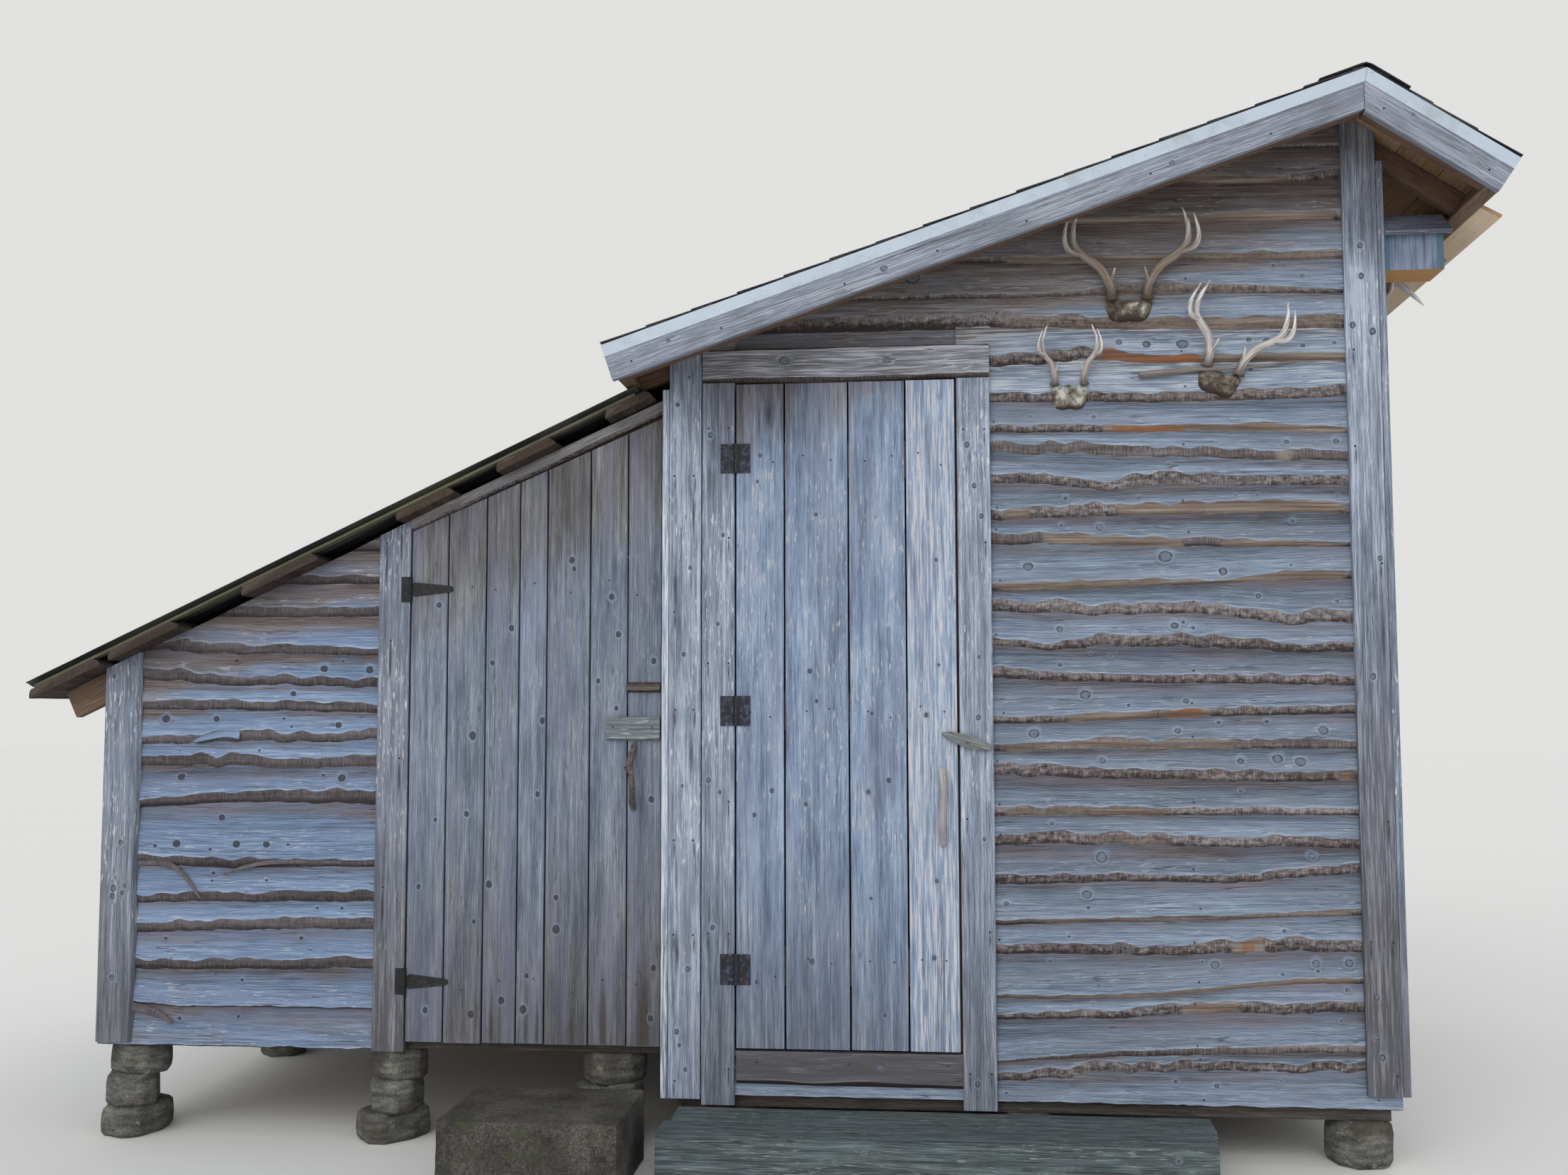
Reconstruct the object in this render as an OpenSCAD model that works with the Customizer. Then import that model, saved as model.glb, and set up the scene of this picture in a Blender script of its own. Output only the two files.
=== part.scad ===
// Small wooden outhouse with a lean-to: an uneven gable over the main room on the right,
// a low corrugated roof over the lean-to on the left, a plank door in each.
// Millimetres. X runs along the front, Y runs from the front to the back, Z is up.
// Inside the modules x = 0 is the left face of the main room and y = 0 its front face.

/* [Main room] */
// Width over the corner boards
main_w = 2140; // [2000:10:2800]
// Depth from the front face to the back face
depth = 2440; // [1800:10:3200]
// Thickness of the siding boards
siding_t = 25; // [18:1:32]
// Thickness of the trim boards nailed over the siding
trim_t = 20; // [16:1:30]
// Width of the corner boards and of the door casings
corner_w = 98; // [70:1:140]
// Depth of a stud, across the wall
stud_d = 89; // [60:1:120]
// Thickness of studs, plates, joists and rafters
stud_t = 38; // [30:1:50]
// Height of the siding's lower edge
siding_z = 168; // [150:1:240]

/* [Gable roof] */
// Height of the roof boards' top at the left eave
eave_z = 2345.5; // [2330:0.5:2400]
// Distance from the right face in to the ridge
ridge_in = 113; // [60:1:600]
// Slope of the long left side in degrees
pitch_left = 18.7; // [15:0.1:19.5]
// Slope of the short right side in degrees
pitch_right = 34.2; // [25:0.1:40]
// Overhang beyond the left face
eave_left = 131; // [100:1:200]
// Overhang beyond the right face
eave_right = 289; // [200:1:400]
// Overhang beyond the front and the back face
gable_out = 280; // [150:1:400]
// Thickness of the roof boards
deck_t = 15; // [12:1:25]
// Depth of the rafters
rafter_d = 64; // [50:1:75]
// Depth of the rake boards below the roof boards
rake_d = 91; // [80:1:120]
// Thickness of the rake boards
rake_t = 25; // [18:1:32]
// Thickness of the shingle layer
shingle_t = 11; // [8:1:16]
// Width of the ridge cap on each side
ridge_cap_w = 130; // [100:5:160]
// Thickness of the ridge cap
ridge_cap_t = 5; // [4:0.5:8]
// Height of the metal drip edge's face
drip_h = 34; // [25:1:45]
// Thickness of the drip edge as modelled
drip_t = 2; // [1:0.5:3]
// Width of the drip edge's flange under the shingles
drip_flange = 50; // [30:1:80]
// Depth of the right eave's fascia
fascia_right_d = 89; // [70:1:110]
// Width of the plain panel along the right eave
eave_panel_w = 70; // [40:1:90]
// Slope of that panel in degrees
eave_panel_pitch = 12; // [5:1:25]

/* [Main door] */
// Width of the door
door_w = 655; // [550:5:800]
// Height of the door
door_h = 1975; // [1850:5:2000]
// Height of the door's lower edge
door_z = 309; // [305:1:330]
// Thickness of the door planks
door_t = 22; // [18:1:30]
// Gap at the hinges
hinge_gap = 6; // [5:0.5:8]
// Gap at the latch side
latch_gap = 7; // [6:0.5:10]
// Gap over the door
head_gap = 5; // [5:0.5:10]
// Height of the board over the door
header_h = 109; // [80:1:140]
// Height of the board under the door
sill_h = 100; // [80:1:110]
// Thickness of the battens on the doors' backs
batten_t = 18; // [12:1:20]
// Distance from the door's upper and lower edge to the outer hinges' centres
hinge_in = 228; // [150:1:300]
// Length of the butt hinges
hinge_len = 89; // [60:1:110]
// Width of one hinge leaf from the pin's centre
leaf_w = 45; // [30:1:50]
// Thickness of the hinge leaves
leaf_t = 2.5; // [2:0.5:4]
// Radius of the hinge knuckles
knuckle_r = 5; // [4.5:0.5:8]
// Height of the stick handle's foot above the door's lower edge
main_handle_up = 598; // [450:1:598]
// Radius of the hinge pins
pin_r = 2.5; // [2:0.5:3]

/* [Turn button] */
// Length of the leaf-shaped turn button
button_l = 158; // [120:1:180]
// Width of the turn button
button_w = 33; // [24:1:40]
// Thickness of the turn button
button_t = 16; // [12:1:20]
// Gap kept behind the turn button by its washer
button_gap = 6; // [5:0.5:8]
// Distance from the door's edge to the button's screw
button_in = 22; // [15:1:50]
// Height of the button's screw
button_z = 1207; // [900:1:1500]
// Tilt of the button at rest in degrees
button_tilt = -17; // [-40:1:0]
// Radius of the button's screw
screw_r = 3; // [2:0.5:4]
// Clearance around hinge pins and the screw
fit = 0.1; // [0.05:0.05:0.1]

/* [Lean-to] */
// Width of the lean-to to the left of the main room
lean_w = 1764; // [1400:10:2200]
// Set-back of the lean-to's front and back
lean_y = 25; // [20:1:60]
// Height of the roof sheet's top where it would meet the main room
lean_top_z = 2311; // [2300:1:2311]
// Slope of the lean-to's roof in degrees
lean_pitch = 24.93; // [24:0.1:25]
// Overhang of the sheet beyond the left wall
lean_eave = 220; // [180:1:320]
// Overhang beyond the lean-to's front and back
lean_out = 75; // [50:1:85]
// Distance from the sheet's upper edge to the main room
sheet_gap_top = 75; // [70:1:100]
// Height of the corrugations
corrugation_h = 15; // [10:1:20]
// Width of one corrugation
corrugation_w = 76; // [60:1:100]
// Thickness of the sheet as modelled
sheet_t = 3; // [2:0.5:4]
// Thickness of the strips under the sheet
strip_t = 9; // [6:1:12]
// Width of those strips
strip_w = 32; // [25:1:50]
// Thickness of the sheathing boards
sheathing_t = 26; // [20:1:30]
// Depth of the lean-to's rafters
lean_rafter_d = 89; // [70:1:100]
// Width of the board at the left corner
lean_corner_w = 122; // [90:1:150]
// Height of the walls' lower edge
lean_wall_z = 274; // [240:1:290]
// Height of the lean-to's sill beams
lean_sill_h = 89; // [70:1:120]

/* [Lean-to door] */
// Width of the lean-to door
lean_door_w = 778; // [650:2:900]
// Height of the lean-to door's lower edge
lean_door_z = 303; // [295:1:330]
// Slope of the door's top in degrees
lean_door_pitch = 23.4; // [22:0.1:24.5]
// Height of the door's top edge at the hinge side
lean_door_low = 1851; // [1700:1:1851]
// Gap between the door and the main room's corner
lean_latch_gap = 6; // [6:0.5:10]
// Distance from the door's low corners to the strap hinges' centres
strap_in = 180; // [120:1:260]
// Length of a strap hinge's strap
strap_l = 134; // [100:1:200]
// Height of a strap hinge's plate
strap_plate_h = 78; // [60:1:100]
// Width of a strap hinge's plate
strap_plate_w = 30; // [24:1:45]
// Height of the latch cleat's lower edge
latch_z = 1208; // [1000:1:1300]
// Width of the latch cleat
latch_h = 72; // [50:1:90]
// Length of the latch cleat
latch_l = 164; // [120:1:200]
// Height of the latch bar above the cleat's lower edge
latch_bar_up = 160; // [110:1:200]
// Height of the branch handle's foot above the door's lower edge
lean_handle_up = 701; // [500:1:701]

/* [Base] */
// Height of the timbers in front of the main room
timber_h = 140; // [100:1:140]
// Width of one timber
timber_w = 140; // [100:1:160]
// Length of the timbers
timber_l = 1524; // [1200:2:1800]
// Depth of the floor joists
joist_d = 140; // [120:1:160]
// Thickness of the floor boards
floor_t = 25; // [18:1:32]
// Height of the floor's upper face
floor_z = 296; // [290:1:300]
// Width of the concrete step
step_w = 500; // [400:5:600]
// Depth of the concrete step
step_d = 400; // [300:5:450]
// Height of the concrete step
step_h = 200; // [150:5:250]
// Gap between the step and the lean-to's front
step_gap = 75; // [40:1:120]
// Width of a stone under the main room
pier_w = 190; // [150:5:240]
// Width of a stone under the lean-to
lean_pier_w = 230; // [180:5:260]
// Depth of a stone, front to back
pier_d = 170; // [140:5:220]

/* [Fixtures] */
// Length of the birdhouse away from the wall, clear of the eave's fascia
bird_l = 174; // [150:1:176]
// Width of the birdhouse
bird_w = 140; // [110:1:180]
// Height of the birdhouse's side walls
bird_h = 118; // [90:1:160]
// Thickness of the birdhouse's boards
bird_t = 16; // [10:1:20]
// Thickness of the birdhouse's roof boards
bird_roof_t = 13; // [8:1:16]
// Overhang of the birdhouse's roof at each side
bird_roof_side = 26; // [10:1:30]
// Overhang of the birdhouse's roof at its front
bird_roof_front = 16; // [5:1:18]
// Gap over the birdhouse, below the line of the rafters
bird_gap = 0.3; // [0.3:0.1:300]
// Distance from the front face to the birdhouse
bird_y = 24; // [20:1:100]
// Size of the upper antlers against a 250 mm high pair
antlers_1_size = 1.08; // [0.8:0.02:1.2]
// Distance from the door casing to the upper antlers
antlers_1_x = 415; // [300:5:500]
// Height of the upper antlers' skull plate
antlers_1_z = 2503; // [2300:1:2510]
// Size of the tilted antlers against a 250 mm high pair
antlers_2_size = 0.98; // [0.8:0.02:1]
// Distance from the door casing to the tilted antlers
antlers_2_x = 678; // [600:5:680]
// Height of the tilted antlers' skull plate
antlers_2_z = 2285; // [2000:1:2290]
// Tilt of those antlers in degrees
antlers_2_tilt = 18; // [0:1:30]
// Size of the narrow antlers against a 250 mm high pair
antlers_3_size = 0.72; // [0.6:0.02:0.8]
// Distance from the door casing to the narrow antlers
antlers_3_x = 236; // [160:5:240]
// Height of the narrow antlers' skull plate
antlers_3_z = 2255; // [2000:1:2260]
// Distance from the front face to the right wall's upper antlers
side_antlers_y = 345; // [340:5:500]
// Height of the right wall's upper antlers
side_antlers_z = 2430; // [2300:1:2440]
// Distance between the right wall's two sets of antlers along the wall
side_antlers_step = 130; // [0:5:300]
// Height between the right wall's two sets of antlers
side_antlers_drop = 350; // [300:5:500]

/* [Hidden] */

// Joint kept open between separate members of one sub-part
joint = 1;
// Hair's breadth left between the layers of both roofs
seat = 0.05;

// Roof lines. A depth is measured square to the slope, down from the roof boards' top.
ridge_x = main_w - ridge_in;
tan_l = tan(pitch_left);
tan_r = tan(pitch_right);
ridge_z = eave_z + tan_l * (ridge_x + eave_left);
run_left = (ridge_x + eave_left) / cos(pitch_left);
run_right = (ridge_in + eave_right) / cos(pitch_right);
rake_low = deck_t + rake_d;
rafter_low = deck_t + rafter_d;
function apex_x(d) = ridge_x + (d / cos(pitch_left) - d / cos(pitch_right)) / (tan_l + tan_r);
function apex_z(d) = ridge_z + tan_l * (apex_x(d) - ridge_x) - d / cos(pitch_left);
function under(x, d) = x < apex_x(d)
    ? ridge_z - tan_l * (ridge_x - x) - d / cos(pitch_left)
    : ridge_z - tan_r * (x - ridge_x) - d / cos(pitch_right);
function left_point(run, d) = [
    ridge_x - run * cos(pitch_left) + d * sin(pitch_left),
    ridge_z - run * sin(pitch_left) - d * cos(pitch_left)
];
function right_point(run, d) = [
    ridge_x + run * cos(pitch_right) - d * sin(pitch_right),
    ridge_z - run * sin(pitch_right) - d * cos(pitch_right)
];

// Lean-to roof lines. A depth is measured square to the slope, down from the sheet's top.
tan_s = tan(lean_pitch);
strips_top = corrugation_h + sheet_t;
sheathing_top = strips_top + strip_t;
lean_rafter_top = sheathing_top + sheathing_t + seat;
lean_rafter_low = lean_rafter_top + lean_rafter_d;
function lean_under(x, d) = lean_top_z + tan_s * x - d / cos(lean_pitch);
function lean_run(x) = -x / cos(lean_pitch);
function lean_point(run, d) = [
    -run * cos(lean_pitch) + d * sin(lean_pitch),
    lean_top_z - run * sin(lean_pitch) - d * cos(lean_pitch)
];

// Faces of the main room's walls
inner_face = trim_t + siding_t;
stud_face = inner_face + stud_d;
// The doorway lies between the two casings
casing_x = trim_t + corner_w + 4;
door_x = casing_x + corner_w + hinge_gap;
opening_x0 = casing_x + corner_w;
opening_x1 = door_x + door_w + latch_gap;
door_top = door_z + door_h;
header_z = door_top + head_gap;
casing_low = timber_h + 5;
sill_z = door_z - 7 - sill_h;

// The lean-to's faces
lean_siding_y = lean_y + trim_t;
lean_frame_y = lean_siding_y + siding_t;
lean_back_y = depth - lean_y;
post_x = -lean_latch_gap - lean_door_w - hinge_gap - corner_w;
lean_door_x = post_x + corner_w + hinge_gap;
function lean_door_line(x) = lean_door_low + tan(lean_door_pitch) * (x - lean_door_x);

// Hinge axes
main_axis = [door_x - hinge_gap / 2, -knuckle_r];
lean_axis = [lean_door_x - hinge_gap / 2, lean_y - knuckle_r];
main_hinge_z = [door_z + hinge_in, door_z + door_h / 2, door_top - hinge_in];
lean_hinge_z = [lean_door_z + strap_in, lean_door_low - strap_in];

// The whole part's box, which the origin is centred under
box_left = -lean_w - lean_eave;
eave_tip = right_point(run_right, deck_t + fascia_right_d);
panel_dx = eave_panel_w * cos(eave_panel_pitch);
box_right = max(right_point(run_right, -shingle_t - drip_t)[0], eave_tip[0] + panel_dx);
box_front = lean_y - step_gap - step_d;
box_back = depth + gable_out + drip_t;
origin_x = (box_left + box_right) / 2;
origin_y = (box_front + box_back) / 2;

module place() {
    translate([-origin_x, -origin_y, 0]) children();
}

// A flat outline in X and Z, made solid from y0 to y1
module across(y0, y1) {
    translate([0, y1, 0]) rotate([90, 0, 0]) linear_extrude(y1 - y0) children();
}

module block(x0, x1, y0, y1, z0, z1) {
    translate([x0, y0, z0]) cube([x1 - x0, y1 - y0, z1 - z0]);
}

// Part of a gable wall from x0 to x1 that reaches up to a depth under the gable roof
module gable_outline(x0, x1, z0, d) {
    has_apex = x0 < apex_x(d) && x1 > apex_x(d);
    polygon(concat(
        [[x0, z0], [x1, z0], [x1, under(x1, d)]],
        has_apex ? [[apex_x(d), apex_z(d)]] : [],
        [[x0, under(x0, d)]]
    ));
}

// One side of the gable roof between two depths, mitred at the ridge and cut square at the eave
module left_band(d0, d1, run = run_left) {
    polygon([
        left_point(run, d0), [apex_x(d0) - joint / 2, under(apex_x(d0) - joint / 2, d0)],
        [apex_x(d1) - joint / 2, under(apex_x(d1) - joint / 2, d1)], left_point(run, d1)
    ]);
}

module right_band(d0, d1, run = run_right) {
    polygon([
        right_point(run, d0), [apex_x(d0) + joint / 2, under(apex_x(d0) + joint / 2, d0)],
        [apex_x(d1) + joint / 2, under(apex_x(d1) + joint / 2, d1)], right_point(run, d1)
    ]);
}

// A strip of the lean-to's roof between two runs down the slope and two depths
module lean_band(run0, run1, d0, d1) {
    polygon([lean_point(run0, d0), lean_point(run1, d0), lean_point(run1, d1), lean_point(run0, d1)]);
}

// Round limb that follows a list of points, with a radius at each
function unit(v) = v / norm(v);
function heading(p, i) = unit(p[min(i + 1, len(p) - 1)] - p[max(i - 1, 0)]);
function spline(a, b, c, d, t) = 0.5 * (
    2 * b + (c - a) * t + (2 * a - 5 * b + 4 * c - d) * t * t + (3 * b - a - 3 * c + d) * t * t * t
);
function smooth(p, n) = concat(
    [for (i = [0 : len(p) - 2], k = [0 : n - 1])
        spline(p[max(i - 1, 0)], p[i], p[i + 1], p[min(i + 2, len(p) - 1)], k / n)],
    [p[len(p) - 1]]
);
module limb(p, r, sides = 8, aside = [0, 1, 0]) {
    n = len(p);
    rings = [for (i = [0 : n - 1])
        let (t = heading(p, i), u = unit(cross(t, aside)), v = cross(u, t))
        for (k = [0 : sides - 1]) p[i] + r[i] * (cos(360 * k / sides) * u + sin(360 * k / sides) * v)];
    polyhedron(rings, concat(
        [[for (k = [0 : sides - 1]) sides - 1 - k]],
        [for (i = [0 : n - 2], k = [0 : sides - 1])
            [i * sides + k, i * sides + (k + 1) % sides, (i + 1) * sides + (k + 1) % sides, (i + 1) * sides + k]],
        [[for (k = [0 : sides - 1]) (n - 1) * sides + k]]
    ), convexity = 6);
}

// Irregular flat fieldstone
module stone(x, y, z, w, d, h, turn) {
    translate([x, y, z]) rotate([0, 0, turn]) linear_extrude(h)
        polygon([
            [-0.5 * w, -0.2 * d], [-0.34 * w, -0.46 * d], [0.1 * w, -0.5 * d], [0.44 * w, -0.32 * d],
            [0.5 * w, 0.14 * d], [0.3 * w, 0.45 * d], [-0.12 * w, 0.5 * d], [-0.45 * w, 0.3 * d]
        ]);
}

// Pier of flat stones laid one on another up to a height
module pier(x, y, top, w, d, courses) {
    h = top / courses;
    bed = 4;
    for (i = [0 : courses - 1])
        stone(x + 9 * sin(140 * i + x), y + 8 * cos(110 * i + y), max(0, i * h - bed), w * (1 - 0.07 * i),
            d * (1 - 0.05 * i), i == 0 ? h : h + bed, 41 * i + 0.4 * x + 0.2 * y);
}

main_pier_x = [inner_face + 75, main_w / 2, main_w - inner_face - 75];
main_pier_y = [inner_face + 60, depth / 2, depth - inner_face - 60];
lean_pier_x = [-lean_w + 90, post_x + corner_w / 2, -170];
lean_pier_y = [lean_frame_y + 50, depth / 2, lean_back_y - siding_t - 50];
sill_top = lean_wall_z + lean_sill_h;

module stone_piers() {
    color("slategray") place() {
        for (x = main_pier_x, y = main_pier_y)
            pier(x, y, floor_z - floor_t - joist_d, pier_w, pier_d, 1);
        for (x = lean_pier_x, y = [lean_pier_y[0], lean_pier_y[2]])
            pier(x, y, lean_wall_z, lean_pier_w, pier_d, 3);
        pier(lean_pier_x[0], lean_pier_y[1], lean_wall_z, lean_pier_w - 20, pier_d + 10, 3);
    }
}

module step_block() {
    step_x = lean_door_x + lean_door_w / 2 - step_w / 2 + 110;
    color("dimgray") place() difference() {
        block(step_x, step_x + step_w, box_front, box_front + step_d, 0, step_h);
        // Worn upper front edge
        translate([step_x, box_front, step_h]) rotate([45, 0, 0]) translate([-1, -7, -7]) cube([step_w + 2, 14, 14]);
    }
}

module front_timbers() {
    color("gray") place() {
        block(36, 36 + timber_l, -2 * timber_w - 6, -timber_w - 6, 0, timber_h - 3);
        block(56, 56 + timber_l, -timber_w - 3, -3, 0, timber_h);
    }
}

module floor_joists() {
    top = floor_z - floor_t;
    low = top - joist_d;
    color("peru") place() {
        for (y = [inner_face, depth - inner_face - stud_t])
            block(inner_face, main_w - inner_face, y, y + stud_t, low, top);
        for (i = [0 : 4]) {
            x = inner_face + i * (main_w - 2 * inner_face - stud_t) / 4;
            block(x, x + stud_t, inner_face + stud_t + joint, depth - inner_face - stud_t - joint, low, top);
        }
    }
}

module floor_boards() {
    color("tan") place()
        block(inner_face, main_w - inner_face, inner_face, depth - inner_face, floor_z - floor_t, floor_z);
}

// Front wall of the main room, split beside and over the doorway
module front_wall_left() {
    color("rosybrown") place()
        block(trim_t, opening_x0, trim_t, inner_face, siding_z, header_z);
}

module front_wall_under_door() {
    color("rosybrown") place()
        block(opening_x0, opening_x1, trim_t, inner_face, siding_z, door_z - 7);
}

module front_wall_over_door() {
    color("sienna") place() across(trim_t, inner_face)
        gable_outline(trim_t, opening_x1, header_z, deck_t + seat);
}

module front_wall_right() {
    color("rosybrown") place() across(trim_t, inner_face)
        gable_outline(opening_x1, main_w - trim_t, siding_z, deck_t + seat);
}

module left_wall() {
    color("rosybrown") place()
        block(trim_t, inner_face, inner_face, depth - inner_face, siding_z, under(trim_t, rafter_low));
}

module right_wall() {
    color("rosybrown") place()
        block(main_w - inner_face, main_w - trim_t, inner_face, depth - inner_face, siding_z,
            under(main_w - trim_t, rafter_low));
}

module back_wall() {
    color("rosybrown") place() across(depth - inner_face, depth - trim_t)
        gable_outline(trim_t, main_w - trim_t, siding_z, deck_t + seat);
}

// A stud that stands on the floor and is cut to the rafters' slope
module gable_stud(x, y) {
    across(y, y + stud_d) gable_outline(x, x + stud_t, floor_z, rafter_low);
}

plate_z0 = under(inner_face, rafter_low) - stud_t;
plate_z1 = under(main_w - inner_face, rafter_low) - stud_t;
module wall_studs() {
    color("burlywood") place() {
        for (x = [inner_face, opening_x0 - 20, opening_x1 - 18, main_w - inner_face - stud_t])
            gable_stud(x, inner_face);
        for (x = [inner_face, main_w / 3, 2 * main_w / 3, main_w - inner_face - stud_t])
            gable_stud(x, depth - inner_face - stud_d);
        for (i = [1 : 3]) {
            y = inner_face + i * (depth - 2 * inner_face - stud_t) / 4;
            block(inner_face, stud_face, y, y + stud_t, floor_z, plate_z0);
            block(main_w - stud_face, main_w - inner_face, y, y + stud_t, floor_z, plate_z1);
        }
    }
}

module wall_plates() {
    y0 = inner_face + stud_d;
    y1 = depth - inner_face - stud_d;
    color("burlywood") place() {
        across(y0, y1) polygon([
            [inner_face, plate_z0], [stud_face, plate_z0],
            [stud_face, under(stud_face, rafter_low)], [inner_face, under(inner_face, rafter_low)]
        ]);
        across(y0, y1) polygon([
            [main_w - stud_face, plate_z1], [main_w - inner_face, plate_z1],
            [main_w - inner_face, under(main_w - inner_face, rafter_low)],
            [main_w - stud_face, under(main_w - stud_face, rafter_low)]
        ]);
        block(opening_x0 - 20 + stud_t + joint, opening_x1 - 18 - joint, inner_face, stud_face,
            header_z, header_z + stud_d);
    }
}

// Two boards around each corner of the main room
module corner_pair(low, x_side, y_front) {
    x0 = x_side == 0 ? 0 : main_w - trim_t;
    xf0 = x_side == 0 ? trim_t + joint : main_w - trim_t - corner_w;
    y0 = y_front == 0 ? 0 : depth - trim_t;
    ys0 = y_front == 0 ? 0 : depth - corner_w;
    across(y0, y0 + trim_t) gable_outline(xf0, xf0 + corner_w - joint, low, deck_t + seat);
    across(ys0, ys0 + corner_w) gable_outline(x0, x0 + trim_t, low, x_side == 0 ? rafter_low + 34 : rafter_low);
}

module corner_boards() {
    color("silver") place() {
        corner_pair(siding_z - 7, 0, 0);
        corner_pair(siding_z + 41, 1, 0);
        corner_pair(siding_z - 7, 0, 1);
        corner_pair(siding_z - 7, 1, 1);
    }
}

// Waney edge: a slow wave along a board's edge
function wave(x, a, b) = a * sin(x * 0.31 + b) + 0.6 * a * sin(x * 0.83 + 2 * b);

// Casings, the live-edge board over the door and the one under it
module door_trim() {
    n = 24;
    head0 = casing_x;
    head1 = opening_x1 + corner_w;
    sill0 = opening_x0 + hinge_gap;
    sill1 = opening_x1 - joint;
    color("silver") place() {
        for (x = [casing_x, opening_x1])
            block(x, x + corner_w, 0, trim_t, casing_low, header_z - joint);
        across(0, trim_t) polygon(concat(
            [[head0, header_z], [head1, header_z]],
            [for (i = [n : -1 : 0]) let (x = head0 + (head1 - head0) * i / n)
                [x, header_z + header_h - 8 + wave(x, 5, 40)]]
        ));
        across(0, trim_t) polygon(concat(
            [[sill1, sill_z + sill_h], [sill0, sill_z + sill_h]],
            [for (i = [0 : n]) let (x = sill0 + (sill1 - sill0) * i / n) [x, sill_z + 6 + wave(x, 3.5, 70)]]
        ));
    }
}

// Rafters over each wall, between them, and one behind each rake board
fly_y = gable_out - rake_t - stud_t;
module rafters() {
    span = depth - 2 * inner_face - stud_t;
    low_run = stud_t + seat;
    color("burlywood") place() {
        for (i = [0 : 4]) {
            y = inner_face + i * span / 4;
            across(y, y + stud_t) left_band(deck_t + seat, rafter_low, run_left - low_run);
            across(y, y + stud_t) right_band(deck_t + seat, rafter_low, run_right - low_run);
        }
        for (y = [-fly_y - stud_t, depth + fly_y]) {
            across(y, y + stud_t) left_band(deck_t + seat, rake_low, run_left - low_run);
            across(y, y + stud_t) right_band(deck_t + seat, rake_low, run_right - low_run);
        }
    }
}

module roof_boards() {
    color("tan") place() {
        across(-gable_out, depth + gable_out) left_band(0, deck_t);
        across(-gable_out, depth + gable_out) right_band(0, deck_t);
    }
}

// Shingles lie on the metal edge, with felt between its flanges
module roof_shingles() {
    y0 = drip_flange - gable_out;
    y1 = depth + gable_out - drip_flange;
    over = -drip_t - shingle_t;
    color([0.2, 0.2, 0.2]) place() {
        across(-gable_out - drip_t, depth + gable_out + drip_t) left_band(over, -drip_t);
        across(-gable_out - drip_t, depth + gable_out + drip_t) right_band(over, -drip_t);
        across(y0, y1) left_band(-drip_t, -seat, run_left - drip_flange);
        across(y0, y1) right_band(-drip_t, -seat, run_right - drip_flange);
    }
}

module ridge_cap() {
    over = -drip_t - shingle_t - seat;
    reach = ridge_cap_w;
    top = over - ridge_cap_t;
    color([0.16, 0.16, 0.16]) place() across(-gable_out - drip_t, depth + gable_out + drip_t) polygon([
        left_point(reach, over), [apex_x(over), apex_z(over)], right_point(reach, over),
        right_point(reach, top), [apex_x(top) + 5, under(apex_x(top) + 5, top)],
        [apex_x(top) - 5, under(apex_x(top) - 5, top)], left_point(reach, top)
    ]);
}

module rake_boards() {
    color("darkgray") place() for (y = [-gable_out, depth + gable_out - rake_t]) {
        across(y, y + rake_t) left_band(deck_t + seat, rake_low);
        across(y, y + rake_t) right_band(deck_t + seat, rake_low);
    }
}

// Boards along the eaves, square to the slope, on the rafters' ends
module eave_fascias() {
    y0 = rake_t - gable_out;
    y1 = depth + gable_out - rake_t;
    top = deck_t + seat;
    color("peru") place() {
        across(y0, y1) polygon([
            left_point(run_left, top), left_point(run_left - stud_t, top),
            left_point(run_left - stud_t, rafter_low), left_point(run_left, rafter_low)
        ]);
        across(y0, y1) polygon([
            right_point(run_right, top), right_point(run_right - stud_t, top),
            right_point(run_right - stud_t, deck_t + fascia_right_d), right_point(run_right, deck_t + fascia_right_d)
        ]);
    }
}

// Metal angle over each rake: a face in front and a flange under the shingles
module drip_edges() {
    y_front = -gable_out - drip_t;
    y_back = depth + gable_out;
    color("white") place() {
        for (y = [y_front, y_back]) {
            across(y, y + drip_t) left_band(-drip_t, drip_h);
            across(y, y + drip_t) right_band(-drip_t, drip_h);
        }
        for (y = [-gable_out, y_back - drip_flange + joint]) {
            across(y, y + drip_flange - joint) left_band(-drip_t, -seat);
            across(y, y + drip_flange - joint) right_band(-drip_t, -seat);
        }
    }
}

// Plain new board along the right eave, sloping outwards from the fascia's lower edge
module eave_panel() {
    t = 12;
    rise = 19;
    top = eave_tip[1] + rise;
    fall = panel_dx * tan(eave_panel_pitch);
    // The inner end is cut to the fascia's leaning face
    lean_in = t * tan(pitch_right);
    x_top = right_point(run_right, deck_t + fascia_right_d)[0] + rise * tan(pitch_right);
    color("burlywood") place() across(-100, depth) polygon([
        [x_top - lean_in, top - t], [x_top, top], [eave_tip[0] + panel_dx, top - fall],
        [eave_tip[0] + panel_dx, top - fall - t]
    ]);
}

// Lean-to walls
module lean_front_wall() {
    color("lightsteelblue") place() across(lean_siding_y, lean_frame_y) polygon([
        [-lean_w, lean_wall_z], [post_x + corner_w, lean_wall_z],
        [post_x + corner_w, lean_under(post_x + corner_w, lean_rafter_top)],
        [-lean_w, lean_under(-lean_w, lean_rafter_top)]
    ]);
}

module lean_side_wall() {
    color("lightsteelblue") place()
        block(-lean_w, -lean_w + siding_t, lean_frame_y, lean_back_y - siding_t, lean_wall_z,
            lean_under(-lean_w, lean_rafter_low));
}

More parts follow.
